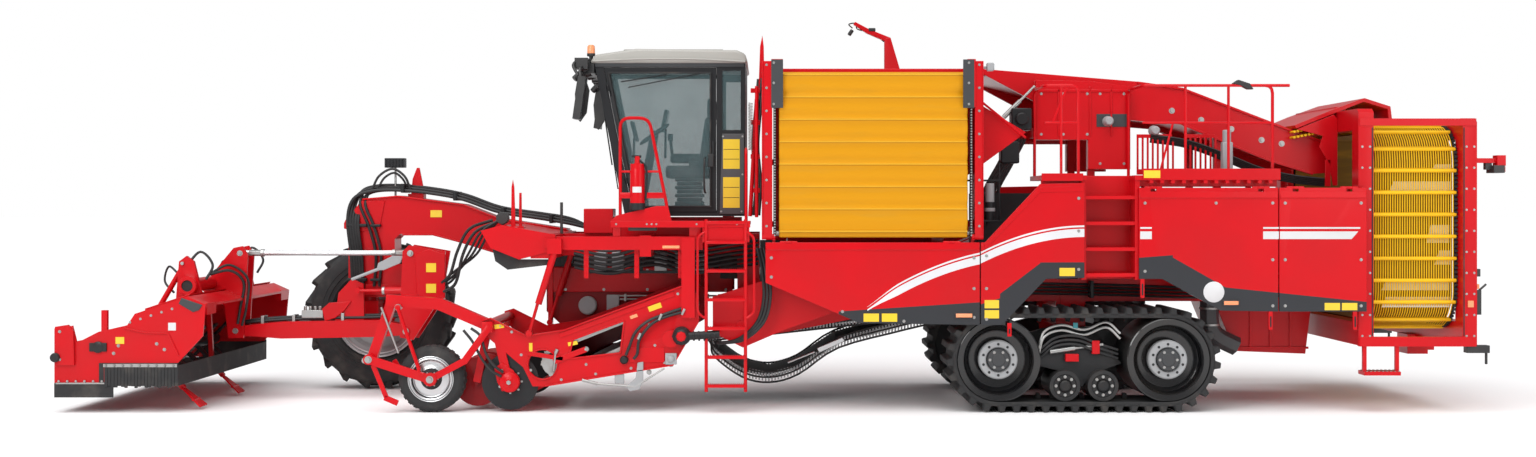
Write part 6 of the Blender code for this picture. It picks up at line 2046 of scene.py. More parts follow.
@dataclass
class Cab:
    """The driver's cab: shell, roof, glass, door, mirrors, lamps and what stands inside.

    Attributes:
        near: y of the door's outer face.
        floor: height of the floor inside.
    """

    near: float = -0.93
    floor: float = 2.11

    def build(self) -> None:
        """Build every piece."""
        rounded("cab_shell", SATIN_BLACK, 0.008)
        rounded("cab_roof", ROOF, 0.03, 4)
        rounded("cab_door", SATIN_BLACK, 0.006)
        rounded("cab_mirrors", BLACK_PLASTIC, 0.014, 3)
        dress(
            GLASS, "cab_door_glass", "window_right", "windscreen", "quarter_window_left",
            "quarter_window_right",
        )
        dress(GREY_PLASTIC, "steering_console")
        self.roof_trim()
        self.lamps()
        self.mirrors()
        self.door_trim()
        self.corner_panel()
        self.wipers()
        self.seat()
        self.controls()

    def front(self, z: float) -> float:
        """The x of the raked front wall at a height.

        Args:
            z: the height.

        Returns:
            The place along X.
        """
        return -1.66 - (z - 2.05) * 0.2

    def roof_trim(self) -> None:
        """A dark band under the roof, its moulded lid and gutter."""
        band = Piece("roof_band", DARK_GREY)
        for y in (-0.905, 0.893):
            band.plate(((-1.98, 3.66), (-0.37, 3.66), (-0.37, 3.712), (-1.99, 3.712)), (y, y + 0.012))
        band.done(0.004)
        Piece("roof_lid", ROOF).box((-1.7, -0.6), (-0.62, 0.62), (3.838, 3.878)).done(0.018, segments=4)
        gutter = Piece("roof_gutter", ROOF)
        for y in (-0.936, 0.936):
            gutter.tube(
                smooth_path(((-2.0, y, 3.72), (-1.5, y, 3.742), (-0.9, y, 3.742), (-0.36, y, 3.715))), 0.01,
            )
        gutter.done()

    def lamps(self) -> None:
        """Work lamps under the roof's front edge, and the amber beacon on its stalk."""
        body = Piece("lamp_bodies", BLACK_PLASTIC)
        lens = Piece("lamp_lenses", CLEAR_LENS)
        for y, z in (
            (-0.96, 3.66), (-0.82, 3.6), (-0.62, 3.62), (-0.22, 3.62), (0.22, 3.62), (0.62, 3.62),
            (0.82, 3.6),
        ):
            x = self.front(z) - 0.15
            body.turned(
                ((0.0, 0.09), (0.035, 0.085), (0.052, 0.05), (0.055, 0.0), (0.048, -0.005)), (x, y, z),
                Axis.X, 24,
            )
            lens.turned(
                ((0.0, -0.01), (0.03, -0.008), (0.049, -0.002), (0.049, 0.004)), (x, y, z), Axis.X, 24,
            )
        body.done(0.003)
        lens.done()
        Piece("beacon_stalk", BLACK_PLASTIC).rods(
            ((-2.03, -0.84, 3.66), (-2.03, -0.84, 3.8), 0.022),
            ((-2.03, -0.84, 3.78), (-2.03, -0.84, 3.81), 0.045, 24),
        ).done(0.003)
        Piece("beacon", AMBER).turned(
            ((0.0, 0.095), (0.026, 0.092), (0.04, 0.075), (0.043, 0.0), (0.0, 0.0)), (-2.03, -0.84, 3.81),
            Axis.Z, 28,
        ).done()

    def mirrors(self) -> None:
        """The mirrors' faces, their hoods and arms, and the second small mirror."""
        glass = Piece("mirror_faces", MIRROR_GLASS)
        shade = Piece("mirror_hoods", BLACK_PLASTIC)
        for side in (-1, 1):
            y = sorted((side * 1.02, side * 1.2))
            glass.box((-2.098, -2.092), (y[0], y[1]), (3.13, 3.5), ("Y", 8))
            shade.plate(
                ((-2.16, 3.54), (-2.08, 3.55), (-2.03, 3.4), (-2.06, 3.16), (-2.13, 3.06), (-2.17, 3.1),
                    (-2.19, 3.36)),
                (side * 1.0, side * 0.985),
            )
            shade.hose(
                ((-2.06, side * 0.92, 3.66), (-2.16, side * 0.98, 3.71), (-2.2, side * 1.05, 3.66),
                    (-2.14, side * 1.1, 3.55)),
                0.018,
            )
            shade.rod((-2.12, side * 0.94, 3.6), (-2.2, side * 0.97, 3.52), 0.035, 16)
        glass.done()
        shade.done(0.006)

    def door_trim(self) -> None:
        """The door's rubber seal and handle."""
        seal = Piece("door_seal", RUBBER, "cab_door")
        corners = ((-1.545, 2.155), (-0.735, 2.155), (-0.735, 3.595), (-1.835, 3.595))
        for (x0, z0), (x1, z1) in zip(corners, corners[1:] + corners[:1]):
            seal.rod((x0, self.near - 0.002, z0), (x1, self.near - 0.002, z1), 0.009, 8)
        seal.done()
        handle = Piece("door_handle", BLACK_PLASTIC, "cab_door")
        handle.box((-0.76, -0.7), (self.near - 0.03, self.near), (2.58, 2.72))
        handle.hose(
            ((-0.79, self.near + 0.01, 2.3), (-0.8, self.near - 0.04, 2.36), (-0.8, self.near - 0.04, 2.62),
                (-0.79, self.near + 0.01, 2.68)),
            0.011,
        )
        handle.done(0.006)

    def corner_panel(self) -> None:
        """The moulded rear corner with its blank yellow plates and bolts."""
        Piece("cab_corner", GREY_PLASTIC).plates(
            (((-0.64, 2.07), (-0.37, 2.07), (-0.37, 2.94), (-0.61, 2.94)), (-0.905, -0.889)),
            (((-0.64, 2.07), (-0.37, 2.07), (-0.37, 2.94), (-0.61, 2.94)), (0.889, 0.905)),
        ).done(0.006)
        plate = Piece("cab_plates", PLATE_YELLOW)
        for z0, z1 in ((2.56, 2.88), (2.14, 2.47)):
            plate.box((-0.6, -0.42), (-0.9075, -0.9045), (z0, z1))
        plate.done()
        lines = Piece("cab_plate_lines", SATIN_BLACK)
        for z in (2.77, 2.665, 2.36, 2.25):
            lines.box((-0.595, -0.425), (-0.9082, -0.907), (z - 0.003, z + 0.003))
        lines.done()
        bolts = Piece("cab_corner_bolts", STEEL)
        for x, z in ((-0.62, 2.1), (-0.4, 2.1), (-0.6, 2.91), (-0.39, 2.91), (-0.39, 2.5)):
            bolts.bolts([(x, -0.905, z)], size=0.007)
        bolts.done()

    def wipers(self) -> None:
        """A wiper on the windscreen and one on the door glass."""
        arm = Piece("wiper", SATIN_BLACK)
        for start, end in (((-1.99, -0.3, 3.6), (-1.8, -0.1, 2.62)),):
            arm.rods(
                ((start[0] - 0.012, start[1], start[2]), (end[0] - 0.07, end[1], end[2]), 0.008, 8),
                ((end[0] - 0.1, -0.14, 3.0), (end[0] - 0.005, -0.08, 2.35), 0.007, 8),
            )
        arm.done()
        Piece("door_wiper", SATIN_BLACK, "cab_door").rods(
            ((-1.7, self.near + 0.03, 3.5), (-1.2, self.near + 0.03, 3.58), 0.007, 8),
            ((-1.62, self.near + 0.028, 3.44), (-0.8, self.near + 0.028, 3.6), 0.006, 8),
        ).done()

    def seat(self) -> None:
        """The driver's seat: base, cushion, back, headrest and armrest."""
        z = self.floor
        base = Piece("seat_base", BLACK_PLASTIC)
        base.box((-1.16, -0.84), (-0.17, 0.17), (z, z + 0.1))
        for step in range(6):
            w = 0.16 if step % 2 else 0.14
            base.box((-1.0 - w, -1.0 + w), (-w, w), (z + 0.1 + 0.045 * step, z + 0.14 + 0.045 * step))
        base.box((-1.02, -0.9), (0.18, 0.34), (z + 0.4, z + 0.56))
        base.done(0.012)
        for name, x, y, heights, turn, fill in (
            ("seat_cushion", (-1.26, -0.76), (-0.26, 0.26), (z + 0.36, z + 0.5), 0, 0.7),
            ("seat_back", (-0.86, -0.74), (-0.25, 0.25), (z + 0.44, z + 1.04), 8, 0.7),
            ("seat_headrest", (-0.8, -0.7), (-0.14, 0.14), (z + 1.0, z + 1.26), 0, 0.8),
            ("seat_armrest", (-1.24, -0.86), (0.3, 0.44), (z + 0.54, z + 0.65), 0, 0.6),
        ):
            pad = Piece(name, SEAT)
            pad.box(x, y, heights, ("Y", turn))
            made = pad.done(0.035, segments=4)
            if name == "seat_cushion":
                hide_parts("driver_seat")

    def controls(self) -> None:
        """The joystick, screens and the wheel's boss."""
        z = self.floor
        dark = Piece("cab_controls", BLACK_PLASTIC)
        dark.rod((-1.22, 0.37, z + 0.64), (-1.24, 0.37, z + 0.82), 0.018)
        dark.box((-1.27, -1.21), (0.34, 0.4), (z + 0.8, z + 0.88))
        dark.rod((-1.3, 0.4, z + 0.6), (-1.3, 0.46, z + 0.95), 0.014)
        dark.boxes(
            ((-1.33, -1.29), (0.3, 0.62), (z + 0.9, z + 1.16), ("Y", 12)),
            ((-1.6, -1.57), (-0.66, -0.36), (z + 0.76, z + 0.98), ("Y", -14)),
        )
        dark.rod((-1.6, -0.5, z + 0.4), (-1.59, -0.5, z + 0.8), 0.014)
        dark.turned(
            ((0.0, 0.0), (0.04, 0.0), (0.05, -0.02), (0.0, -0.03)), (-1.41, 0.0, z + 0.9), Axis.Z, 20,
        )
        dark.done(0.008)
        Piece("cab_screens", MIRROR_GLASS).box(
            (-1.287, -1.285), (0.32, 0.6), (z + 0.93, z + 1.13), ("Y", 12),
        ).done()


@dataclass
class Access:
    """The ladder, deck, rails and fire bottle beside the cab.

    Attributes:
        ladder: x of the two uprights.
    """

    ladder: Point = (-0.76, -0.35)

    def build(self) -> None:
        """Build every piece."""
        rounded("cab_access", RED, 0.004)
        self.treads()
        self.bottle()
        self.deck_edge()
        self.under_cab()

    def treads(self) -> None:
        """Toothed treads on each rung."""
        piece = Piece("ladder_treads", RED)
        for step in range(6):
            z = 0.22 + 0.3 * (step + 0.15) + 0.03
            for index in range(18):
                x = self.ladder[0] + 0.02 + 0.0215 * index
                piece.box((x, x + 0.01), (-1.545, -1.475), (z, z + 0.008))
        piece.done()

    def bottle(self) -> None:
        """The fire bottle's gloss shell, valve, hose and blank label."""
        Piece("bottle_shell", RED).turned(
            ((0.0, 0.02), (0.06, 0.0), (0.078, 0.02), (0.078, 0.36), (0.066, 0.41), (0.03, 0.44),
                (0.0, 0.44)),
            (-1.48, -1.48, 2.17), Axis.Z, 32,
        ).done(0.003)
        black = Piece("bottle_valve", SATIN_BLACK)
        black.rod((-1.48, -1.48, 2.6), (-1.48, -1.48, 2.67), 0.022)
        black.box((-1.54, -1.44), (-1.5, -1.46), (2.665, 2.69))
        black.hose(
            ((-1.46, -1.49, 2.64), (-1.39, -1.5, 2.56), (-1.385, -1.5, 2.38), (-1.395, -1.5, 2.22)), 0.012,
        )
        black.rod((-1.48, -1.48, 2.12), (-1.48, -1.48, 2.19), 0.081, 32)
        black.done(0.003)
        label = Piece("bottle_label", PLATE_WHITE)
        for angle in range(-3, 3):
            low, high = math.radians(angle * 12 - 90), math.radians(angle * 12 - 78)
            radius = 0.0795
            corners = [
                (-1.48 + radius * math.cos(turn), -1.48 + radius * math.sin(turn), z)
                for turn, z in ((low, 2.3), (high, 2.3), (high, 2.36), (low, 2.36))
            ]
            label.sheet(corners)
        label.done()

    def deck_edge(self) -> None:
        """The deck's folded edge, its bolts and the lamp and marker under it."""
        red = Piece("deck_edge", RED)
        red.box((-1.76, -0.3), (-1.512, -1.495), (1.935, 2.005))
        red.plate(((-1.76, 2.0), (-1.7, 2.06), (-1.28, 2.16), (-1.16, 2.16), (-1.12, 2.0)), (-1.505, -1.49))
        red.done(0.004)
        bolts = Piece("deck_bolts", STEEL)
        for x in (-1.7, -1.38, -1.33, -1.28, -0.86, -0.44):
            bolts.bolts([(x, -1.512, 1.97)], size=0.007)
        bolts.done()
        Piece("deck_lamp", BLACK_PLASTIC).box((-1.58, -1.28), (-1.46, -1.38), (1.9, 1.962)).done(0.01)
        Piece("deck_tag", PLATE_WHITE).box((-1.02, -0.9), (-1.466, -1.462), (1.76, 1.83)).done()
        Piece("deck_plate", PLATE_YELLOW).box((-0.66, -0.48), (-1.464, -1.461), (1.79, 1.88)).done()
        Piece("deck_marker", AMBER).box((-1.22, -1.04), (-1.466, -1.455), (1.715, 1.745)).done(0.003)

    def under_cab(self) -> None:
        """What can be seen in the dark bay under the cab: valves, hoses and pipes."""
        block = Piece("valve_blocks", LIGHT_GREY)
        for x in (-1.99, -1.8, -1.34, -1.12, -0.9):
            block.box((x, x + 0.13), (-0.9, -0.76), (1.46, 1.66))
            block.rod((x + 0.065, -0.83, 1.66), (x + 0.065, -0.83, 1.74), 0.03, 12)
        block.done(0.006)
        rail = Piece("valve_rail", SATIN_BLACK)
        rail.box((-2.05, -0.75), (-0.86, -0.78), (1.43, 1.462))
        for x in (-1.52, -0.7):
            rail.box((x, x + 0.05), (-0.84, -0.78), (1.43, 1.64))
        rail.done(0.004)
        hose = Piece("bay_hoses", HOSE)
        for index in range(6):
            y = -0.92 - 0.02 * index
            z = 1.5 + 0.05 * index
            hose.hose(
                ((-2.2, y, z), (-1.8, y - 0.02, z - 0.07), (-1.35, y, z + 0.03), (-0.95, y, z - 0.06),
                    (-0.5, y, z), (-0.22, y + 0.04, z + 0.04)),
                0.017,
            )
        for index in range(3):
            x = -0.21 + 0.035 * index
            hose.hose(
                ((x - 0.02, -1.4, 1.72), (x + 0.03, -1.43, 1.5), (x + 0.05, -1.43, 1.2),
                    (x - 0.02, -1.41, 0.94), (x - 0.22, -1.4, 0.76), (x - 0.44, -1.42, 0.72)),
                0.017,
            )
        hose.done()
        frame_bits = Piece("bay_posts", RED)
        for x in (-2.05, -1.52, -1.06):
            frame_bits.box((x, x + 0.05), (-1.4, -1.36), (1.4, 1.72))
            for step in range(4):
                frame_bits.rod(
                    (x + 0.025, -1.405, 1.46 + 0.065 * step), (x + 0.025, -1.395, 1.46 + 0.065 * step),
                    0.011, 6,
                )
        frame_bits.done(0.003)


# Bunker, discharge conveyor, sorting line and platform


@dataclass
class Bunker:
    """The crop bunker with its rim, camera arm, front ladder rails and inner belt."""

    body: str = "chassis"

    def build(self) -> None:
        """Build every piece."""
        rounded("bunker", RED, 0.008)
        self.rim()
        self.camera()
        self.front_tubes()
        self.wedge()

    def rim(self) -> None:
        """A folded rim and ribs on the bunker's outside."""
        rim = Piece("bunker_rim", RED)
        for y in (-1.262, 1.5):
            rim.box((-0.03, 2.0), (y - 0.018, y + 0.018), (3.585, 3.612))
        for x in (0.4, 0.95, 1.5):
            rim.box((x - 0.03, x + 0.03), (1.535, 1.56), (1.86, 3.56))
        rim.done(0.004)
        floor = Piece("bunker_floor", YELLOW_BELT)
        for step in range(16):
            y = -1.1 + 0.16 * step
            floor.box((0.05, 1.92), (y, y + 0.1), (1.872, 1.885))
        floor.done(0.004)

    def camera(self) -> None:
        """The camera, its cable and the lamp on the arm over the belt."""
        dark = Piece("bunker_camera", BLACK_PLASTIC)
        dark.box((1.02, 1.1), (-0.035, 0.035), (4.13, 4.17))
        dark.rod((0.84, 0.0, 4.15), (0.8, 0.0, 4.09), 0.022, 16)
        dark.done(0.008)
        Piece("bunker_camera_cable", HOSE).hose(
            ((0.84, 0.0, 4.17), (0.8, 0.01, 4.215), (0.88, 0.015, 4.225), (0.9, 0.02, 4.16),
                (1.06, 0.025, 4.12), (1.2, 0.03, 4.02)),
            0.007,
        ).done()

    def front_tubes(self) -> None:
        """Tubes, hoses and a grab rail in the gap between the cab and the bunker."""
        red = Piece("bunker_front_tubes", RED)
        red.rods(
            ((-0.235, -1.38, 2.04), (-0.235, -1.38, 3.42), 0.018),
            ((-0.305, -1.2, 2.05), (-0.235, -1.2, 3.3), 0.022),
        )
        red.plate(((-0.22, 3.3), (-0.2, 3.86), (-0.175, 3.98), (-0.16, 3.86), (-0.15, 3.3)), (-1.12, -1.1))
        for z in (2.3, 2.66, 3.02, 3.36):
            red.box((-0.3, -0.2), (-1.21, -1.19), (z, z + 0.05))
        red.done(0.004)
        hose = Piece("bunker_front_hoses", HOSE)
        for index in range(4):
            y = -1.02 - 0.05 * index
            x = -0.27 + 0.02 * index
            hose.hose(
                ((x, y, 2.06), (x + 0.02, y - 0.03, 2.4), (x - 0.01, y, 2.8), (x + 0.02, y - 0.02, 3.2),
                    (x + 0.05, y, 3.52)),
                0.015,
            )
        hose.done()
        chain = Piece("bunker_tension_spring", STEEL)
        loops = []
        for step in range(360):
            angle = step * 0.55
            loops.append(
                (-0.3 + 0.022 * math.cos(angle), -1.26 + 0.022 * math.sin(angle), 2.75 + 0.0014 * step),
            )
        chain.tube(loops, 0.0035, 5)
        chain.done()

    def wedge(self) -> None:
        """The edge fold of the rear wedge, and the filters on a shelf behind the bunker."""
        shelf = Piece("filter_shelf", SATIN_BLACK)
        shelf.boxes(
            ((1.985, 2.36), (-1.27, -1.13), (1.99, 2.01)), ((1.985, 2.36), (-1.21, -1.19), (2.42, 2.44)),
        )
        for x in (2.06, 2.13, 2.34):
            shelf.rod((x, -1.2, 2.0), (x, -1.2, 2.62), 0.01, 8)
        shelf.rod((2.24, -1.2, 2.01), (2.24, -1.2, 2.2), 0.055, 20)
        shelf.done(0.004)
        Piece("filters", LIGHT_GREY).rods(
            ((2.24, -1.2, 2.2), (2.24, -1.2, 2.4), 0.048, 24),
            ((2.24, -1.2, 2.1), (2.24, -1.2, 2.14), 0.058, 24),
        ).done(0.006)
        Piece("bunker_wedge_fold", RED).bar(
            (2.02, -1.29, 3.36), (2.61, -1.29, 2.88), 0.03, 0.022,
        ).done(0.004)


@dataclass
class Conveyor:
    """The side discharge conveyor: chains, cover plates, bolts, lamp and belt bars.

    Attributes:
        near: y of the posts' outer face.
        body: the CAD body it rides on.
    """

    near: float = -1.56
    body: str = "discharge_conveyor"

    def build(self) -> None:
        """Build every piece."""
        rounded("discharge_frame", RED, 0.005)
        rounded("discharge_belt", POCKET_BELT, 0.014, 3)
        self.chains()
        self.covers()
        self.bolts()
        self.lamp()
        self.rollers()

    def chains(self) -> None:
        """A roller chain on its side plates at each edge of the belt."""
        plates = Piece("conveyor_chain_plates", SATIN_BLACK, self.body)
        pins = Piece("conveyor_chain_pins", STEEL, self.body)
        for x in (-0.045, 2.005):
            plates.box((x - 0.014, x + 0.014), (self.near + 0.055, self.near + 0.075), (1.84, 3.2))
            for step in range(48):
                z = 1.845 + 0.0285 * step
                plates.box((x - 0.012, x + 0.012), (self.near + 0.03, self.near + 0.05), (z, z + 0.018))
                pins.rod((x, self.near + 0.012, z + 0.009), (x, self.near + 0.034, z + 0.009), 0.009, 10)
        plates.done(0.002, segments=1)
        pins.done()

    def covers(self) -> None:
        """Dark cover plates at the top of both chains."""
        piece = Piece("conveyor_covers", DARK_GREY, self.body)
        for x in ((-0.082, 0.042), (1.915, 2.032)):
            piece.box(x, (self.near - 0.014, self.near - 0.01), (3.18, 3.685))
        piece.done(0.003)

    def bolts(self) -> None:
        """Bolts up both posts and on the cover plates."""
        piece = Piece("conveyor_bolts", STEEL, self.body)
        for x in (-0.13, 2.085):
            piece.bolts([(x, self.near, 1.95 + 0.24 * step) for step in range(8)], size=0.009)
        for x in (-0.055, 1.975):
            piece.bolts([(x, self.near - 0.014, z) for z in (3.22, 3.44, 3.65)], size=0.009)
        piece.done()
        edge = Piece("conveyor_post_folds", RED, self.body)
        for x in (-0.176, 2.118):
            edge.box((x, x + 0.01), (self.near - 0.01, self.near), (1.86, 3.66))
        edge.done(0.002)

    def lamp(self) -> None:
        """The work lamp on the rear post."""
        body = Piece("conveyor_lamp", LIGHT_GREY, self.body)
        body.box((2.17, 2.245), (-1.53, -1.45), (3.57, 3.655))
        body.rod((2.12, -1.49, 3.6), (2.18, -1.49, 3.61), 0.014)
        body.done(0.012)
        Piece("conveyor_lamp_lens", CLEAR_LENS, self.body).box(
            (2.245, 2.252), (-1.522, -1.458), (3.58, 3.645),
        ).done(0.002)

    def rollers(self) -> None:
        """The belt's top and bottom rollers and the seams across its pockets."""
        Piece("conveyor_rollers", STEEL, self.body).rod(
            (-0.06, -1.44, 1.872), (2.03, -1.44, 1.872), 0.028, 16,
        ).done()
        stitch = Piece("conveyor_belt_bars", Belt("belt rib", (0.66, 0.36, 0.02), 0.5), self.body)
        for step in range(8):
            z = 3.55 - 0.234 * step - 0.019
            stitch.rod((0.004, self.near + 0.052, z), (1.966, self.near + 0.052, z), 0.011, 10)
        stitch.done()


@dataclass
class SortingLine:
    """The sorting trough, its housings, rollers, hoses and feeder."""

    def build(self) -> None:
        """Build every piece."""
        rounded("sorting_unit", RED, 0.006)
        self.ribs()
        self.rollers()
        self.motors()
        self.grille()
        self.cables()

    def ribs(self) -> None:
        """Folds along the trough's upper and lower edges and round the housing."""
        piece = Piece("sorting_folds", RED)
        for side in (-1, 1):
            y = side * 0.668
            for line in (
                ((3.92, 3.52), (4.42, 3.45), (5.69, 2.96), (6.0, 2.86)),
                ((4.42, 3.06), (5.35, 2.67), (5.84, 2.52)),
            ):
                for start, end in zip(line, line[1:]):
                    piece.bar((start[0], y, start[1] - 0.012), (end[0], y, end[1] - 0.012), 0.03, 0.024)
            for x in (3.05, 3.39, 3.62):
                piece.box((x - 0.01, x + 0.01), (side * 0.742, side * 0.752), (2.92, 3.46))
            piece.box((2.82, 3.82), (side * 0.741, side * 0.752), (3.4, 3.43))
        piece.done(0.004)
        Piece("sorting_dark_band", DARK_GREY).box((3.46, 3.8), (-0.748, -0.741), (3.02, 3.16)).done(0.003)
        bolts = Piece("sorting_bolts", STEEL)
        for x, z in ((4.3, 3.2), (4.62, 3.1), (4.95, 3.0), (5.28, 2.88), (5.5, 2.84)):
            bolts.bolts([(x, -0.66, z)], size=0.022)
        for x in (2.86, 3.1, 3.36, 3.5, 3.76):
            bolts.bolts([(x, -0.74, 2.94 if x < 3.37 else 2.62), (x, -0.74, 3.38)], size=0.01)
        bolts.done()

    def rollers(self) -> None:
        """The belts of rubber fingers in the trough."""
        piece = Piece("sorting_rollers", YELLOW_WEB)
        for step in range(24):
            x = 3.7 + 0.095 * step
            z = 3.3 - 0.03 * step * (0.25 if x < 4.4 else 1.0) if x < 4.4 else 3.22 - (x - 4.4) * 0.335
            piece.rod((x, -0.6, z), (x, 0.6, z), 0.022, 10)
        piece.done()

    def motors(self) -> None:
        """Drive motors and a hydraulic cylinder by the housing."""
        grey = Piece("sorting_motors", LIGHT_GREY)
        for x, z in ((3.58, 3.08), (4.1, 2.98)):
            grey.turned(
                ((0.0, -0.12), (0.035, -0.12), (0.05, -0.1), (0.055, -0.02), (0.06, 0.0)),
                (x, -0.742 if x < 3.8 else -0.66, z), steps=24,
            )
        grey.done(0.003)
        Piece("sorting_cylinder", STEEL).rods(
            ((2.6, -0.8, 3.28), (2.78, -0.8, 3.46), 0.016, 12),
            ((2.44, -0.8, 3.12), (2.62, -0.8, 3.3), 0.026, 12),
        ).done()
        dark = Piece("sorting_gearbox", SATIN_BLACK)
        dark.boxes(((2.52, 2.74), (-0.86, -0.66), (2.98, 3.22)), ((2.4, 2.6), (-0.9, -0.7), (2.62, 2.86)))
        dark.rod((2.63, -0.9, 3.1), (2.63, -0.84, 3.1), 0.07, 24)
        dark.done(0.015)

    def grille(self) -> None:
        """The slatted guards and the small lamp unit beside the trough."""
        guard = Piece("sorting_guards", RED)
        for start, count in ((3.9, 7), (4.42, 6)):
            width = 0.055 * count
            guard.boxes(
                ((start, start + width), (-0.735, -0.72), (2.5, 2.56)),
                ((start, start + width), (-0.735, -0.72), (2.9, 2.94)),
            )
            for step in range(count + 1):
                x = start + 0.055 * step
                guard.box((x, x + 0.022), (-0.733, -0.722), (2.55, 2.91))
        guard.done(0.003)
        unit = Piece("deck_unit", LIGHT_GREY)
        unit.box((4.72, 4.83), (-1.18, -1.08), (2.48, 2.84))
        unit.rod((4.775, -1.13, 2.83), (4.775, -1.13, 2.97), 0.045, 20)
        unit.done(0.012)

    def cables(self) -> None:
        """Bundled hoses along the trough's foot and into the machine."""
        hose = Piece("sorting_hoses", HOSE)
        for index in range(5):
            y = -0.7 - 0.012 * index
            z = 0.018 * index
            hose.hose(
                ((4.05, y, 2.86 + z), (4.45, y, 2.8 + z), (4.85, y, 2.66 + z), (5.25, y, 2.5 + z),
                    (5.6, y, 2.42 + z), (5.95, y, 2.38 + z)),
                0.011,
            )
        for index in range(5):
            y = -0.8 + 0.1 * index
            x = 2.14 + 0.05 * index
            hose.hose(
                ((x, y, 1.9), (x + 0.03, y - 0.02, 2.1), (x + 0.1, y, 2.35), (x + 0.24, y + 0.03, 2.6),
                    (x + 0.4, y + 0.04, 2.9)),
                0.017,
            )
        hose.done()


@dataclass
class Platform:
    """The picking platform: deck edge, treads, kick boards, marker and folding rail."""

    def build(self) -> None:
        """Build every piece."""
        rounded("picking_platform", RED, 0.004)
        edge = Piece("platform_edge", RED)
        edge.boxes(
            ((3.79, 5.225), (-1.553, -1.54), (2.43, 2.55)), ((2.735, 3.17), (-1.553, -1.54), (2.42, 2.5)),
            ((3.77, 5.21), (-1.47, -1.455), (2.36, 2.47)), ((2.74, 3.17), (-1.47, -1.455), (2.36, 2.44)),
        )
        for step in range(12):
            x = 3.86 + 0.113 * step
            edge.box((x, x + 0.04), (-1.55, -1.536), (2.395, 2.43))
        edge.bars(
            ((2.86, -1.48, 3.03), (3.02, -1.48, 3.42), 0.012, 0.022),
            ((3.98, -1.48, 2.5), (4.12, -1.48, 3.03), 0.012, 0.022),
        )
        edge.rod((4.9, -1.48, 3.42), (5.34, -1.48, 3.42), 0.016, 12)
        edge.done(0.004)
        treads = Piece("platform_treads", RED)
        for step in range(4):
            z = 1.42 + 0.27 * step + 0.035
            for index in range(20):
                x = 3.2 + 0.0265 * index
                treads.box((x, x + 0.012), (-1.5, -1.25), (z, z + 0.006))
        treads.done()
        grip = Piece("platform_grip", SATIN_BLACK)
        for step in range(34):
            x = 3.86 + 0.04 * step
            grip.box((x, x + 0.018), (-1.5, -0.76), (2.48, 2.486))
        grip.done()
        Piece("platform_plate", PLATE_YELLOW).box((3.8, 3.97), (-1.5555, -1.553), (2.452, 2.53)).done()
        Piece("platform_lamp", BLACK_PLASTIC).plate(
            ((4.74, 3.44), (4.8, 3.48), (4.92, 3.44), (4.96, 3.38), (4.9, 3.38), (4.82, 3.42)),
            (-1.5, -1.43),
        ).done(0.006)
        bolts = Piece("platform_bolts", STEEL)
        for x in (3.155, 3.765):
            bolts.bolts([(x, -1.52, 1.46 + 0.2 * step) for step in range(5)], size=0.008)
        bolts.done()


# Side panels


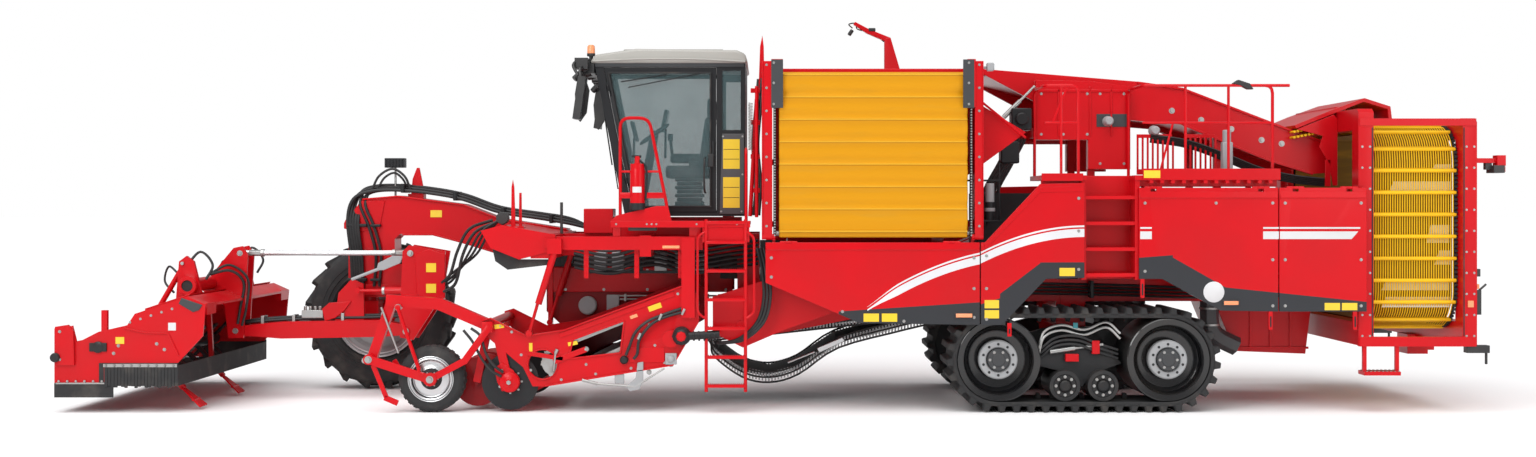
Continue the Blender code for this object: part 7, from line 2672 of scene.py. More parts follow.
@dataclass
class SidePanels:
    """The painted side panels with their folds, bolts, lamps, reflectors and blank plates.

    Attributes:
        skin: distance of the panels' outer faces from the middle of the machine.
    """

    skin: float = 1.56

    def build(self) -> None:
        """Build every panel of both sides."""
        front = PanelPaint(
            "front panel paint", RED.colour, band=((0.62, 1.062, 2.1, 1.158),),
            sweep=((0.92, 1.075, 2.1, 1.598, 0.085),),
        )
        middle = PanelPaint(
            "middle panel paint", RED.colour,
            band=((2.08, 1.13, 2.3, 1.2), (2.3, 1.245, 2.73, 1.572), (2.72, 1.572, 3.19, 1.574)),
            sweep=((2.09, 1.598, 3.19, 1.88, 0.085),),
        )
        rear = PanelPaint(
            "rear panel paint", RED.colour,
            band=((3.74, 1.62, 4.1, 1.648), (4.08, 1.635, 4.65, 1.312), (4.65, 1.312, 6.13, 1.16)),
        )
        for letter, paint in (("a", front), ("b", middle), ("c", rear), ("d", rear)):
            for side in ("left", "right"):
                rounded(f"side_panel_{letter}_{side}", paint, 0.004)
        for side, sign in (("left", -1.0), ("right", 1.0)):
            self.folds(side, sign)
            self.bolts(side, sign)
            self.stripe(side, sign)
            self.latches(side, sign)
            self.plates(side, sign)

    def span(self, sign: float, low: float, high: float) -> tuple[float, float]:
        """A y span on a panel's outer side, by its heights over the skin.

        Args:
            sign: -1 on the left, 1 on the right.
            low: lower height over the skin.
            high: upper height over the skin.

        Returns:
            The two ends of the span.
        """
        ends = (sign * (self.skin + low), sign * (self.skin + high))
        return (min(ends), max(ends))

    def folds(self, side: str, sign: float) -> None:
        """The turned top edges and the pressed lines along the panels.

        Args:
            side: left or right.
            sign: -1 on the left, 1 on the right.
        """
        rows = {
            "a": (((-0.13, 1.705), (2.08, 1.705)),),
            "b": (((2.11, 1.7), (2.14, 1.7)), ((2.14, 1.7), (2.72, 2.3)), ((2.72, 2.3), (3.17, 2.31))),
            "c": (((3.76, 2.245), (5.19, 2.245)),), "d": (((5.22, 2.245), (6.11, 2.245)),),
        }
        for letter, lines in rows.items():
            piece = Piece(f"panel_fold_{letter}_{side}", RED, body_of_node(f"side_panel_{letter}_{side}"))
            y0, y1 = self.span(sign, -0.001, 0.005)
            if letter != "b":
                (x0, low), (x1, _) = lines[0]
                ridge = sign * (self.skin + 0.013)
                wedge = (
                    (sign * self.skin, low - 0.012), (ridge, low + 0.004), (sign * self.skin, low + 0.066),
                )
                piece.plate(wedge, (x0, x1), Axis.X)
                piece.done(0.002, smooth=20)
                continue
            for start, end in lines:
                rise = 0.058
                piece.plate((start, end, (end[0], end[1] + rise), (start[0], start[1] + rise)), (y0, y1))
            piece.done(0.003)

    def bolts(self, side: str, sign: float) -> None:
        """Small round fasteners.

        Args:
            side: left or right.
            sign: -1 on the left, 1 on the right.
        """
        rows = {
            "a": ((-0.08, 1.62), (-0.08, 1.42), (2.03, 1.62), (2.03, 1.3), (2.03, 1.0), (0.66, 1.06),
                (1.3, 0.96)),
            "b": ((2.16, 1.64), (2.16, 1.3), (2.16, 0.98), (3.12, 2.24), (3.12, 1.9), (3.12, 1.5)),
            "c": ((3.81, 2.19), (3.81, 1.48), (4.55, 2.19), (5.14, 2.19), (5.14, 1.6), (5.14, 1.12)),
            "d": ((5.27, 2.19), (5.27, 1.6), (5.27, 1.12), (6.06, 2.19), (6.06, 1.6), (6.06, 1.12)),
        }
        for letter, places in rows.items():
            Piece(
                f"panel_bolts_{letter}_{side}", STEEL, body_of_node(f"side_panel_{letter}_{side}"),
            ).bolts([(x, sign * self.skin, z) for x, z in places], size=0.011, out=sign).done()

    def latches(self, side: str, sign: float) -> None:
        """Small hanging handles under the panels' lower edges, each with a black strip painted as the shade
        in its slot.

        Args:
            side: left or right.
            sign: -1 on the left, 1 on the right.
        """
        rows = (
            ("b", 2.4, 0.93, 0.8), ("c", 3.785, 1.4, 1.2), ("c", 5.12, 1.06, 0.87), ("d", 6.0, 1.06, 0.87),
        )
        for index, (letter, x, high, low) in enumerate(rows):
            piece = Piece(f"panel_latch_{index}_{side}", RED, body_of_node(f"side_panel_{letter}_{side}"))
            y = self.span(sign, -0.028, -0.004)
            piece.box((x - 0.022, x + 0.022), y, (low, high + 0.01))
            piece.done(0.004)
            # A black strip on the handle: painted shade in its slot.
            Piece(
                f"panel_latch_slot_{index}_{side}", SATIN_BLACK,
                body_of_node(f"side_panel_{letter}_{side}"),
            ).box((x - 0.008, x + 0.008), self.span(sign, -0.004, -0.002), (low + 0.03, high - 0.05)).done()

    def stripe(self, side: str, sign: float) -> None:
        """The straight pale double stripe on the rear panels, and a blank round plate.

        Args:
            side: left or right.
            sign: -1 on the left, 1 on the right.
        """
        y = self.span(sign, 0.0, 0.002)
        white = Piece(f"rear_stripe_c_{side}", PLATE_WHITE, body_of_node(f"side_panel_c_{side}"))
        for x0, x1 in ((3.76, 3.88), (5.04, 5.203)):
            white.boxes(((x0, x1), y, (1.815, 1.895)), ((x0, x1), y, (1.922, 1.94)))
        rows = ((0.0, 0.003), (0.105, 0.003), (0.109, 0.0), (0.0, 0.0))
        white.turned([(radius, sign * place) for radius, place in rows], (4.527, sign * self.skin, 1.264))
        white.done()
        white = Piece(f"rear_stripe_d_{side}", PLATE_WHITE, body_of_node(f"side_panel_d_{side}"))
        white.plate(((5.215, 1.815), (5.96, 1.815), (6.03, 1.895), (5.215, 1.895)), y)
        white.box((5.215, 6.05), y, (1.922, 1.94))
        white.done()

    def plates(self, side: str, sign: float) -> None:
        """Blank yellow plates and the amber side lamps.

        Args:
            side: left or right.
            sign: -1 on the left, 1 on the right.
        """
        rows = (
            ("a", PLATE_YELLOW, (0.88, 1.04), (0.955, 1.04)),
            ("a", PLATE_YELLOW, (1.07, 1.23), (0.955, 1.04)),
            ("b", PLATE_YELLOW, (2.14, 2.29), (1.095, 1.18)),
            ("b", PLATE_YELLOW, (2.14, 2.29), (0.99, 1.075)),
            ("b", PLATE_YELLOW, (2.92, 3.08), (1.43, 1.515)),
            ("d", PLATE_YELLOW, (5.68, 5.84), (1.075, 1.15)),
            ("d", PLATE_YELLOW, (5.86, 6.02), (1.075, 1.15)), ("a", AMBER, (1.84, 2.01), (1.0, 1.04)),
            ("c", AMBER, (4.63, 4.78), (1.13, 1.17)),
        )
        for index, (letter, finish, x, z) in enumerate(rows):
            body = body_of_node(f"side_panel_{letter}_{side}")
            thick = 0.018 if finish is AMBER else 0.0015
            if finish is AMBER:
                Piece(f"side_lamp_base_{index}_{side}", BLACK_PLASTIC, body).box(
                    (x[0] - 0.012, x[1] + 0.012), self.span(sign, 0.0, 0.01), (z[0] - 0.01, z[1] + 0.01),
                ).done(0.003)
            Piece(
                f"panel_plate_{index}_{side}", finish, body,
            ).box(x, self.span(sign, 0.0, thick), z).done(0.004 if finish is AMBER else 0.0)


# Rear elevator


@dataclass
class RearElevator:
    """The ring elevator: its frame, rod web, lamps, markers and hanging step.

    Attributes:
        x: the web's front and rear edges.
        half: half the loop's width.
        low: the loop's foot.
        high: its top.
        corner: the loop's corner radius.
        pitch: distance between the cross bars.
    """

    x: tuple[float, float] = (6.22, 7.15)
    half: float = 1.37
    low: float = 0.84
    high: float = 3.04
    corner: float = 0.42
    pitch: float = 0.234

    def build(self) -> None:
        """Build every piece."""
        rounded("elevator_frame", RED, 0.006)
        self.web()
        self.edges()
        self.lamps()
        self.trim()

    def loop(self, inset: float, steps: int = 14) -> list[tuple[float, float]]:
        """Points (y, z) of the web's rounded loop, some way inside the outer face.

        Args:
            inset: distance inside the outer face.
            steps: points to a corner.

        Returns:
            The points.
        """
        radius = self.corner - inset
        found = []
        for index, (sy, sz) in enumerate(((1, 1), (-1, 1), (-1, -1), (1, -1))):
            middle = (self.low + self.high) / 2
            rise = (self.high - self.low) / 2 - self.corner
            centre = (sy * (self.half - self.corner), middle + sz * rise)
            for step in range(steps + 1):
                angle = (index + step / steps) * math.pi / 2
                found.append((centre[0] + radius * math.cos(angle), centre[1] + radius * math.sin(angle)))
        return found

    def stations(self, inset: float, pitch: float) -> list[tuple[float, float]]:
        """Points at an even pitch along the loop.

        Args:
            inset: distance inside the outer face.
            pitch: distance between points.

        Returns:
            The points.
        """
        points = self.loop(inset)
        points.append(points[0])
        lengths = [math.dist(a, b) for a, b in zip(points, points[1:])]
        total = sum(lengths)
        count = round(total / pitch)
        found = []
        way, index = 0.0, 0
        for place in range(count):
            want = total * place / count
            while way + lengths[index] < want:
                way += lengths[index]
                index += 1
            share = (want - way) / lengths[index]
            a, b = points[index], points[index + 1]
            found.append((a[0] + (b[0] - a[0]) * share, a[1] + (b[1] - a[1]) * share))
        return found

    def web(self) -> None:
        """Many fine rods along the loop, carried on broad cross bars, over a dark golden band that is
        painted shade inside the ring.
        """
        rods = Piece("elevator_rods", YELLOW_WEB)
        count = 34
        loop = self.loop(0.028, 5)
        for index in range(count):
            x = self.x[0] + 0.045 + (self.x[1] - self.x[0] - 0.09) * index / (count - 1)
            rods.tube([(x, y, z) for y, z in loop], 0.0062, 4, closed=True)
        rods.done(replaces=("ring_web",))
        bars = Piece("elevator_bars", YELLOW_WEB)
        for y, z in self.stations(0.022, self.pitch):
            bars.rod((self.x[0] + 0.02, y, z), (self.x[1] - 0.02, y, z), 0.02, 10)
        inner = self.stations(0.075, self.pitch)
        for y, z in inner:
            bars.rod((self.x[0] + 0.02, y, z), (self.x[1] - 0.02, y, z), 0.012, 8)
        bars.done()
        # A darker copy of the web's gold, inside the loop behind the rods: painted shade inside the ring.
        Piece("elevator_cloth", Belt("elevator cloth", (0.16, 0.085, 0.012), 0.7)).ring_band(
            self.loop(0.095, 8), self.loop(0.11, 8), (self.x[0] + 0.03, self.x[1] - 0.03), Axis.X,
        ).done()

    def edges(self) -> None:
        """The toothed black belts at both edges of the web."""
        belts = Piece("elevator_belts", RUBBER)
        for x in (self.x[0] + 0.018, self.x[1] - 0.018):
            for y, z in self.stations(0.03, 0.045):
                belts.box((x - 0.016, x + 0.016), (y - 0.02, y + 0.02), (z - 0.014, z + 0.014))
            belts.tube([(x, y, z) for y, z in self.loop(0.05)], 0.016, 6, closed=True)
        belts.done(0.003, segments=1)

    def lamps(self) -> None:
        """Rear lamps on their arms, and a beacon mast."""
        dark = Piece("rear_lamps", BLACK_PLASTIC)
        red = Piece("rear_lamp_lenses", RED_LENS)
        amber = Piece("rear_lamp_amber", AMBER)
        for sign in (-1, 1):
            y = sign * 1.42
            dark.boxes(
                ((7.46, 7.575), (y - 0.1, y + 0.1), (2.505, 2.585)),
                ((7.4, 7.47), (y - 0.03, y + 0.03), (2.54, 2.612)),
            )
            red.box((7.574, 7.586), (y - 0.09, y + 0.02), (2.515, 2.575))
            amber.box((7.574, 7.586), (y + 0.03, y + 0.09), (2.515, 2.575))
            dark.boxes(
                ((7.3, 7.36), (y - 0.03, y + 0.03), (1.02, 1.28)),
                ((7.3, 7.35), (y - 0.03, y + 0.03), (1.42, 1.5)),
            )
            dark.rod((7.33, y, 1.26), (7.42, y, 1.34), 0.012, 8)
            amber.box((7.3, 7.34), (y - 0.025, y + 0.025), (1.29, 1.34))
            dark.box((7.2, 7.44), (y - 0.05, y + 0.05), (0.62, 0.7))
            dark.rod((7.42, y, 0.5), (7.42, y, 0.66), 0.014, 10)
        dark.done(0.008)
        red.done(0.003)
        amber.done(0.003)
        cream = Piece("elevator_flaps", Plastic("cream flap", (0.66, 0.6, 0.42), 0.5, 0.1))
        for x, z in (
            ((6.44, 7.1), (2.31, 2.42)), ((6.88, 7.1), (2.52, 2.6)), ((6.83, 7.08), (1.77, 1.96)),
            ((6.92, 7.1), (1.54, 1.69)), ((6.36, 7.08), (1.27, 1.38)), ((6.36, 7.08), (1.09, 1.2)),
        ):
            cream.plate(((x[0], z[0]), (x[0] + 0.05, z[1]), (x[1], z[1]), (x[1], z[0])), (-1.308, -1.3))
        cream.done(0.004)
        self.hood()

    def hood(self) -> None:
        """Side sheets, braces and rollers under the hood."""
        sheet = Piece("hood_sides", RED)
        for sign in (-1, 1):
            y = (sign * 0.81 - 0.008, sign * 0.81 + 0.008)
            sheet.plate(
                ((5.62, 2.99), (6.02, 3.15), (6.06, 3.1), (6.06, 2.38), (6.01, 2.38), (5.97, 2.62),
                    (5.86, 2.8), (5.9, 2.92)),
                y,
            )
            sheet.box((5.925, 5.985), y, (2.37, 2.66))
        sheet.done(0.004)
        gold = Piece("hood_rollers", YELLOW_WEB)
        for z in (2.905, 2.965):
            for step in range(10):
                gold.rod(
                    (5.6 + 0.04 * step, -0.795, z + 0.008 * step),
                    (5.6 + 0.04 * step, 0.795, z + 0.008 * step), 0.014, 8,
                )
        gold.done()

    def trim(self) -> None:
        """Bolts, side markers, guards and the rear hitch's pin."""
        bolts = Piece("elevator_bolts", STEEL)
        for x in (6.1, 6.18, 7.19, 7.27):
            bolts.bolts([(x, -1.48, 0.8 + 0.22 * step) for step in range(10)], size=0.008)
            bolts.bolts([(x, 1.48, 0.8 + 0.22 * step) for step in range(10)], size=0.008, out=1.0)
        bolts.done()
        Piece("elevator_marker", AMBER).boxes(
            ((6.085, 6.135), (-1.497, -1.48), (1.16, 1.24)), ((7.2, 7.26), (-1.497, -1.48), (1.1, 1.17)),
        ).done(0.004)
        strip = Piece("elevator_seals", RUBBER)
        for x in (6.205, 7.163):
            strip.box((x - 0.006, x + 0.006), (-1.486, -1.476), (0.8, 2.98))
        strip.done(0.002)
        Piece("rear_hitch_pin", STEEL).rods(
            ((7.33, 0.0, 0.5), (7.33, 0.0, 0.72), 0.018, 16),
            ((7.33, 0.0, 0.71), (7.33, 0.0, 0.73), 0.034, 16),
        ).done()
        grip = Piece("rear_step_grip", STEEL)
        for step in range(9):
            x = 6.13 + 0.042 * step
            grip.box((x, x + 0.016), (-1.515, -1.33), (0.43, 0.436))
        grip.done()


# Tracks, bogies and underbody


@dataclass
class Tracks:
    """Both rubber tracks with their drive wheels, rollers and the parts between them.

    Attributes:
        centres: x of the front and rear drive wheels.
        z: height of the drive wheels.
        inner: distance of a belt's inner edge from the middle.
        width: of a belt.
        radius: of the belt's outer face round a drive wheel.
        lug_pitch: asked distance between lugs.
    """

    centres: tuple[float, float] = (2.3, 4.08)
    z: float = 0.547
    inner: float = 0.76
    width: float = 0.72
    radius: float = 0.485
    lug_pitch: float = 0.154

    def build(self) -> None:
        """Build both sides."""
        for side, sign in (("left", -1.0), ("right", 1.0)):
            rounded(f"track_{side}", TYRE, 0.01)
            self.lugs(side, sign)
            rounded(f"bogie_{side}", SATIN_BLACK, 0.005)
            self.wheels(side, sign)
            self.rollers(side, sign)
            self.pipes(side, sign)

    def point(self, way: float, radius: float) -> Point:
        """A point at a distance along the belt's outer face, at a radius.

        Args:
            way: distance along the belt.
            radius: of the rounded ends.

        Returns:
            The point.
        """
        front, rear = self.centres
        run, arc = rear - front, math.pi * self.radius
        way %= 2 * (run + arc)
        if way < run:
            return (rear - way, self.z + radius)
        if way < run + arc:
            angle = math.pi / 2 + (way - run) / self.radius
            return (front + radius * math.cos(angle), self.z + radius * math.sin(angle))
        if way < 2 * run + arc:
            return (front + way - run - arc, self.z - radius)
        angle = 1.5 * math.pi + (way - 2 * run - arc) / self.radius
        return (rear + radius * math.cos(angle), self.z + radius * math.sin(angle))

    def lugs(self, side: str, sign: float) -> None:
        """Raised pads on the belt's edge and guide teeth inside it.

        Args:
            side: left or right.
            sign: -1 on the left, 1 on the right.
        """
        length = 2 * (self.centres[1] - self.centres[0]) + 2 * math.pi * self.radius
        count = round(length / self.lug_pitch)
        pitch = length / count
        pads = Piece(f"track_pads_{side}", TYRE)
        face = sign * (self.inner + self.width)
        for lug in range(count):
            way = lug * pitch
            corners = [
                self.point(way + share * pitch, self.radius + rise)
                for share, rise in ((0.5, -0.006), (0.56, 0.056), (0.86, 0.056), (0.92, -0.006))
            ]
            pads.plate(corners, (face, face + sign * 0.012))
            low = [
                self.point(way + share * pitch, self.radius + rise)
                for share, rise in ((0.05, -0.028), (0.05, -0.004), (0.4, -0.004), (0.4, -0.028))
            ]
            pads.plate(low, (face, face + sign * 0.006))
        pads.done(0.006)
        teeth = Piece(f"track_teeth_{side}", TYRE)
        middle = sign * (self.inner + self.width / 2)
        for lug in range(count):
            way = lug * pitch
            corners = [
                self.point(way + share * pitch, self.radius + drop)
                for share, drop in ((0.3, -0.045), (0.7, -0.045), (0.62, -0.105), (0.38, -0.105))
            ]
            clear = [
                abs(x - centre) > 0.3 or abs(z - self.z) < 0.2
                for x, z in corners for centre in self.centres
            ]
            if all(clear):
                teeth.plate(corners, (middle - 0.04, middle + 0.04))
        teeth.done(0.006)

    def wheels(self, side: str, sign: float) -> None:
        """Glossy dishes with pale hub rings, dark gear cores, bolt circles, and black discs painted as the
        shade in the rings' holes.

        Args:
            side: left or right.
            sign: -1 on the left, 1 on the right.
        """
        outer = sign * (self.inner + self.width - 0.02)
        turn = 1.0 if sign > 0 else -1.0
        dish = Piece(
            f"track_dishes_{side}",
            Paint("dish paint", (0.006, 0.006, 0.007), rough=0.12, coat=0.9, dust=0.1),
        )
        ring = Piece(f"track_hub_rings_{side}", LIGHT_GREY)
        core = Piece(f"track_hub_cores_{side}", DARK_GREY)
        bolts = Piece(f"track_hub_bolts_{side}", STEEL)
        dark = Piece(f"track_hub_holes_{side}", SATIN_BLACK)
        for x in self.centres:
            rows = (
                (0.436, 0.004), (0.425, 0.01), (0.37, 0.006), (0.352, -0.02), (0.34, -0.13), (0.3, -0.158),
                (0.215, -0.165), (0.205, -0.15),
            )
            dish.turned([(radius, turn * place) for radius, place in rows], (x, outer, self.z), steps=72)
            rows = (
                (0.205, -0.17), (0.205, -0.045), (0.192, -0.03), (0.135, -0.03), (0.125, -0.04),
                (0.12, -0.06),
            )
            ring.turned([(radius, turn * place) for radius, place in rows], (x, outer, self.z), steps=72)
            rows = (
                (0.118, -0.06), (0.118, -0.012), (0.108, -0.004), (0.07, -0.004), (0.065, 0.006),
                (0.0, 0.006),
            )
            core.turned([(radius, turn * place) for radius, place in rows], (x, outer, self.z), steps=48)
            for step in range(36):
                angle = 2 * math.pi * step / 36
                core.box(
                    (x + 0.118 * math.cos(angle) - 0.004, x + 0.118 * math.cos(angle) + 0.004),
                    (outer - 0.05 if sign > 0 else outer, outer if sign > 0 else outer + 0.05),
                    (self.z + 0.118 * math.sin(angle) - 0.004, self.z + 0.118 * math.sin(angle) + 0.004),
                )
            # Black discs on the hub ring: painted shade where its holes are.
            for step in range(10):
                angle = 2 * math.pi * (step + 0.5) / 10
                spot = (x + 0.163 * math.cos(angle), outer - turn * 0.03, self.z + 0.163 * math.sin(angle))
                dark.rod(spot, (spot[0], spot[1] + turn * 0.002, spot[2]), 0.014, 14)
            bolts.bolts(
                [(x + 0.09 * math.cos(a * 1.047), outer - turn * 0.004, self.z + 0.09 * math.sin(a * 1.047))
                    for a in range(6)],
                size=0.01, out=sign,
            )
        dish.done(smooth=30)
        ring.done(smooth=30)
        core.done(0.002, segments=1)
        dark.done()
        bolts.done()

    def rollers(self, side: str, sign: float) -> None:
        """Rubber rims and pale bolt circles on the middle rollers.

        Args:
            side: left or right.
            sign: -1 on the left, 1 on the right.
        """
        face = sign * 1.42
        bottom = self.z - 0.44 + 0.162 + 0.004
        rim = Piece(f"roller_rims_{side}", TYRE)
        disc = Piece(f"roller_discs_{side}", SATIN_BLACK)
        cap = Piece(f"roller_caps_{side}", SATIN_BLACK)
        bolts = Piece(f"roller_bolts_{side}", STEEL)
        for x in (3.0, 3.4):
            rim.turned(
                [(r, sign * y) for r, y in ((0.15, 0.0), (0.161, 0.004), (0.16, 0.014), (0.122, 0.016),
                    (0.12, 0.0))],
                (x, face, bottom), steps=48,
            )
            disc.turned(
                [(r, sign * y) for r, y in ((0.119, 0.0), (0.117, 0.008), (0.075, 0.012), (0.06, 0.004))],
                (x, face, bottom), steps=40,
            )
            cap.turned(
                [(r, sign * y) for r, y in ((0.058, 0.0), (0.058, 0.032), (0.045, 0.042), (0.0, 0.042))],
                (x, face, bottom), steps=32,
            )
            bolts.bolts(
                [(x + 0.095 * math.cos(a * math.pi / 4),
                    face + sign * 0.012, bottom + 0.095 * math.sin(a * math.pi / 4)) for a in range(8)],
                size=0.011, out=sign,
            )
        rim.done(smooth=30)
        disc.done(smooth=30)
        cap.done(smooth=30)
        bolts.done()

    def pipes(self, side: str, sign: float) -> None:
        """Bright pipes and hoses over the bogie, a tensioner and small tags.

        Args:
            side: left or right.
            sign: -1 on the left, 1 on the right.
        """
        y = sign * 1.32
        steel = Piece(f"bogie_pipes_{side}", STEEL)
        for shift in (0.0, 0.055):
            points = (
                (2.74, y, 0.6 + shift), (2.8, y, 0.78 + shift), (2.98, y + sign * 0.01, 0.85 + shift),
                (3.22, y, 0.8 + shift), (3.45, y, 0.88 + shift), (3.6, y, 0.76 + shift),
            )
            steel.hose(points, 0.014)
        steel.rods(
            ((2.86, y, 0.62), (3.12, y, 0.66), 0.026, 16), ((3.12, y, 0.66), (3.42, y, 0.7), 0.016, 16),
        )
        steel.done()
        hose = Piece(f"bogie_hoses_{side}", HOSE)
        for index in range(3):
            z = 0.56 + 0.045 * index
            hose.hose(
                ((2.76, y - sign * 0.02, z), (2.92, y, z + 0.12), (3.14, y + sign * 0.02, z + 0.14),
                    (3.36, y, z + 0.06), (3.58, y - sign * 0.02, z - 0.01)),
                0.015,
            )
        hose.done()
        Piece(f"bogie_brackets_{side}", RED).boxes(
            ((3.02, 3.16), (y - 0.03, y + 0.03), (0.52, 0.6)),
            ((3.3, 3.38), (y - 0.03, y + 0.03), (0.6, 0.74)),
        ).done(0.005)
        Piece(
            f"bogie_tag_{side}", Plastic("teal plastic", (0.02, 0.22, 0.26), 0.4),
        ).box((3.1, 3.15), (y + sign * 0.018, y + sign * 0.024), (0.87, 0.93)).done(0.002)


@dataclass
class Underbody:
    """The second sieving web, the hopper, the blower duct and hoses under the frame."""

    def build(self) -> None:
        """Build every piece."""
        self.web()
        self.duct()
        self.hopper()
        self.hoses()

    def web(self) -> None:
        """Bright rods and slats along the slack lower run of the second web."""
        piece = Piece("rear_web_rods", SILVER)
        way = (
            (-0.72, 0.74), (1.95, 1.02), (1.4, 0.86), (0.66, 0.66), (0.22, 0.37), (-0.1, 0.28),
            (-0.4, 0.34), (-0.7, 0.56), (-0.74, 0.7),
        )
        for x, z in along(way, 0.034):
            piece.rods(
                ((x, -0.556, z - 0.018), (x, 0.556, z - 0.018), 0.009, 6),
                ((x, -0.556, z + 0.018), (x, 0.556, z + 0.018), 0.009, 6),
            )
        piece.done()
        dress(RUBBER, "rear_sieving_web")
        ends = Piece("rear_web_ends", LIGHT_GREY)
        belts = Piece("rear_web_belts", RUBBER)
        for side in (-1, 1):
            for x, z in along(way, 0.036):
                ends.box((x - 0.009, x + 0.009), (side * 0.562, side * 0.58), (z - 0.052, z + 0.052))
            for drop in (-0.056, 0.0, 0.056):
                line = [(x, side * 0.575, z + drop) for x, z in way]
                belts.hose(line, 0.011, 4)
        ends.done()
        belts.done()
        cover = Piece("rear_web_covers", RED)
        for sign in (-1, 1):
            y = sign * 0.59
            cover.plate(
                ((-0.7, 0.86), (-0.3, 0.72), (0.1, 0.78), (0.86, 0.93), (1.9, 1.08), (1.9, 1.17),
                    (-0.3, 1.17), (-0.7, 1.13)),
                (y - 0.006, y + 0.006),
            )
        cover.plate(
            ((-0.7, 0.82), (-0.38, 0.66), (0.04, 0.84), (0.6, 1.04), (0.6, 1.36), (-0.2, 1.36),
                (-0.7, 1.2)),
            (-1.262, -1.25),
        )
        cover.box((-0.64, 0.56), (-1.26, -0.67), (1.17, 1.2))
        cover.rod((-0.4, -1.275, 0.9), (-0.4, -1.262, 0.9), 0.05, 24)
        cover.done(0.004)
        Piece("rear_web_skirt", RUBBER).boxes(
            ((-0.2, 0.06), (-1.23, -1.215), (1.2, 1.8)), ((-0.64, -0.44), (-0.56, -0.545), (1.36, 1.62)),
        ).done(0.003)
        slat = Piece("rear_web_tensioner", SILVER)
        slat.plate(((0.42, 0.6), (0.7, 0.72), (0.73, 0.68), (0.45, 0.55)), (-0.6, -0.575))
        slat.rod((0.4, -0.59, 0.56), (0.1, -0.59, 0.44), 0.012, 10)
        slat.done(0.006)

    def duct(self) -> None:
        """The pleated duct under the left beam with its clamps."""
        rounded("air_duct", GREY_PLASTIC, 0.004)
        clamp = Piece("duct_clamps", STEEL)
        for z in (0.86, 1.04):
            clamp.turned(
                ((0.104, -0.012), (0.11, -0.01), (0.11, 0.01), (0.104, 0.012)), (4.72, -0.62, z),
                axis=Axis.Z, steps=32,
            )
        clamp.done()

    def hopper(self) -> None:
        """The open hopper with a folded rim and ribs."""
        rounded("belly_hopper", RED, 0.005)
        rib = Piece("hopper_ribs", RED)
        for x in (5.2, 5.42, 5.64):
            rib.box((x - 0.012, x + 0.012), (-0.515, -0.5), (0.6, 1.08))
        rib.box((5.0, 5.84), (-0.516, -0.5), (0.585, 0.61))
        rib.done(0.003)

    def hoses(self) -> None:
        """Hose runs clipped along the beams and under the panels."""
        hose = Piece("frame_hoses", HOSE)
        for side in (-1, 1):
            for index in range(4):
                y = side * (0.7 + 0.03 * index)
                z = 1.3 - 0.035 * index
                hose.hose(
                    ((-0.2, y, z + 0.1), (0.6, y, z - 0.02), (1.4, y, z), (2.3, y, z + 0.02), (3.6, y, z),
                        (4.6, y, z - 0.03), (5.9, y, z)),
                    0.013, 4,
                )
        hose.done()
        clip = Piece("frame_hose_clips", SATIN_BLACK)
        for side in (-1, 1):
            for x in (0.2, 1.2, 2.2, 3.4, 4.6, 5.6):
                y = sorted((side * 0.67, side * 0.81))
                clip.box((x - 0.02, x + 0.02), (y[0], y[1]), (1.16, 1.345))
        clip.done(0.006)
        Piece("frame_boxes", DARK_GREY).boxes(
            ((0.3, 0.72), (-0.98, -0.7), (1.18, 1.46)), ((4.8, 5.3), (-1.02, -0.7), (1.3, 1.62)),
        ).done(0.015)


# Covers round the intake


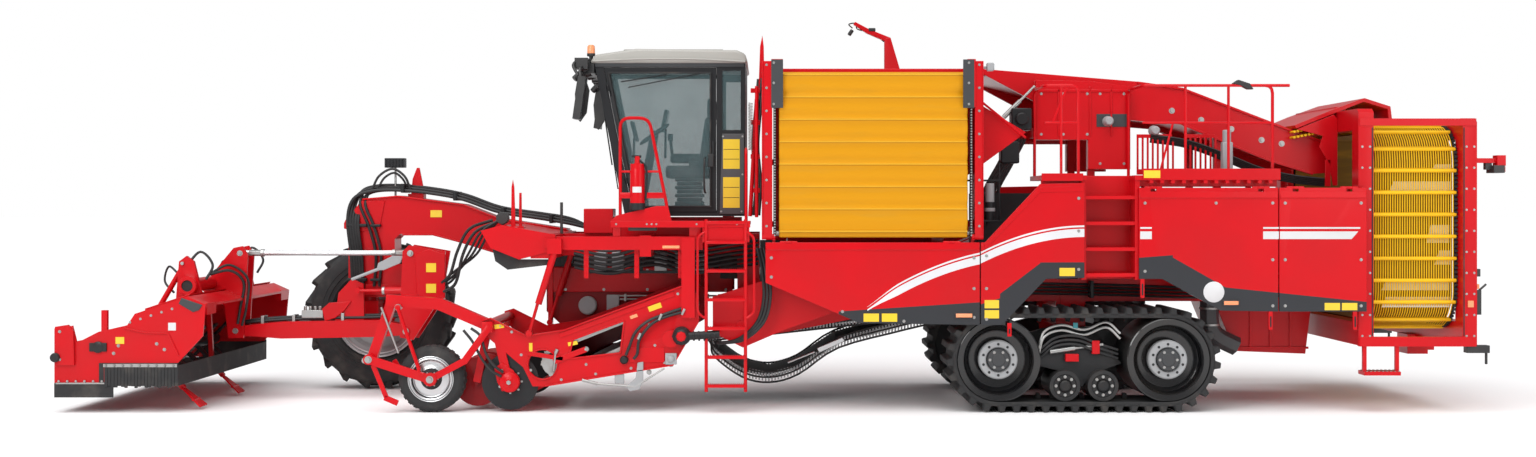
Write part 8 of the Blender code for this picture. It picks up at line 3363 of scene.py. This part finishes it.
@dataclass
class Intake:
    """Dressed faces of the sieving housing, the box before the cab and the inner guides."""

    def build(self) -> None:
        """Build every piece."""
        Piece("housing_band", RED).boxes(
            ((-2.64, -0.52), (0.292, 0.309), (1.17, 1.455)), ((-2.64, -2.58), (0.28, 0.309), (0.66, 1.6)),
            ((-2.12, -1.8), (-0.76, -0.42), (1.862, 2.13)),
        ).done(0.008)
        # Painted shade: the black strip on the housing's wall stands for the dark recess of the intake
        # channel, with black blocks in it.
        dark = Piece("housing_recess", SATIN_BLACK)
        dark.box((-2.62, -0.52), (0.296, 0.309), (1.465, 1.615))
        for step in range(7):
            x = -2.48 + 0.28 * step
            dark.box((x, x + 0.14), (0.215, 0.296), (1.5, 1.6))
        dark.done(0.006)
        grey = Piece("housing_roller", LIGHT_GREY)
        grey.turned(
            ((0.0, 0.3), (0.1, 0.3), (0.105, 0.29), (0.105, 0.23), (0.09, 0.215), (0.0, 0.215)),
            (-2.18, 0.0, 1.02), steps=36,
        )
        grey.box((-1.96, -1.82), (0.215, 0.309), (0.92, 1.14))
        grey.done(0.004)
        tubes = Piece("housing_tubes", STEEL)
        for z in (1.09, 1.13):
            tubes.rod((-1.9, 0.24, z), (-0.7, 0.24, z), 0.011, 8)
        for x in (-1.75, -0.8):
            tubes.box((x - 0.01, x + 0.01), (0.23, 0.309), (1.07, 1.15))
        tubes.done()
        flag = Piece("intake_flags", RED)
        flag.plates(
            (((-2.84, 1.9), (-2.835, 2.36), (-2.82, 2.44), (-2.805, 2.36), (-2.79, 1.9)), (-1.23, -1.215)),
            (((-2.765, 1.9), (-2.76, 2.3), (-2.735, 2.3), (-2.73, 1.9)), (-1.18, -1.165)),
        )
        for step in range(4):
            flag.rod((-2.748, -1.19, 2.0 + 0.08 * step), (-2.748, -1.18, 2.0 + 0.08 * step), 0.009, 8)
        flag.box((-2.9, -2.7), (-1.26, -1.12), (1.895, 1.945))
        flag.done(0.003)
        lamp = Piece("intake_lamp", BLACK_PLASTIC)
        lamp.rods(
            ((-2.93, -1.26, 2.03), (-2.93, -1.14, 2.03), 0.065, 24),
            ((-2.93, -1.2, 1.94), (-2.93, -1.2, 2.0), 0.018, 10),
        )
        lamp.box((-2.36, -2.33), (-0.9, -0.87), (1.86, 2.2))
        lamp.done(0.006)
        bolts = Piece("housing_bolts", STEEL)
        for x in (-2.44, -2.0, -1.5, -1.0, -0.6):
            bolts.bolts([(x, 0.292, 1.2), (x, 0.292, 1.42)], size=0.011)
        bolts.done()
        # The web guides take the darker red copy: painted shade.
        Piece("web_guides", SHADED_RED, "digging_unit").plate(
            ((-2.34, 0.44), (-2.34, 0.62), (-1.2, 1.08), (-1.1, 0.96)), (-0.62, -0.6),
        ).done(0.003)


def dress_the_rest() -> None:
    """Give each CAD node that is shown as it is the finish of its record slot."""
    for sub in frame["record"]["subparts"]:
        dress(SLOT_FINISH[sub["material_slot"]], sub["node"])


def main() -> None:
    """Build the studio and every assembly, and log what each one made."""
    logging.basicConfig(level=logging.INFO, format="%(name)s: %(message)s")
    bpy.context.scene.view_settings.view_transform = "Standard"
    dress_the_rest()
    for part in (
        Studio(), Topper(), Gooseneck(), FrontWheel(), DiggingUnit(), Cab(), Access(), Bunker(), Conveyor(),
        SortingLine(), Platform(), SidePanels(), RearElevator(), Tracks(), Underbody(), Intake(),
    ):
        before = len(bpy.data.objects)
        part.build()
        LOG.info("%s: %d objects", type(part).__name__, len(bpy.data.objects) - before)


if __name__ == "__main__":
    main()
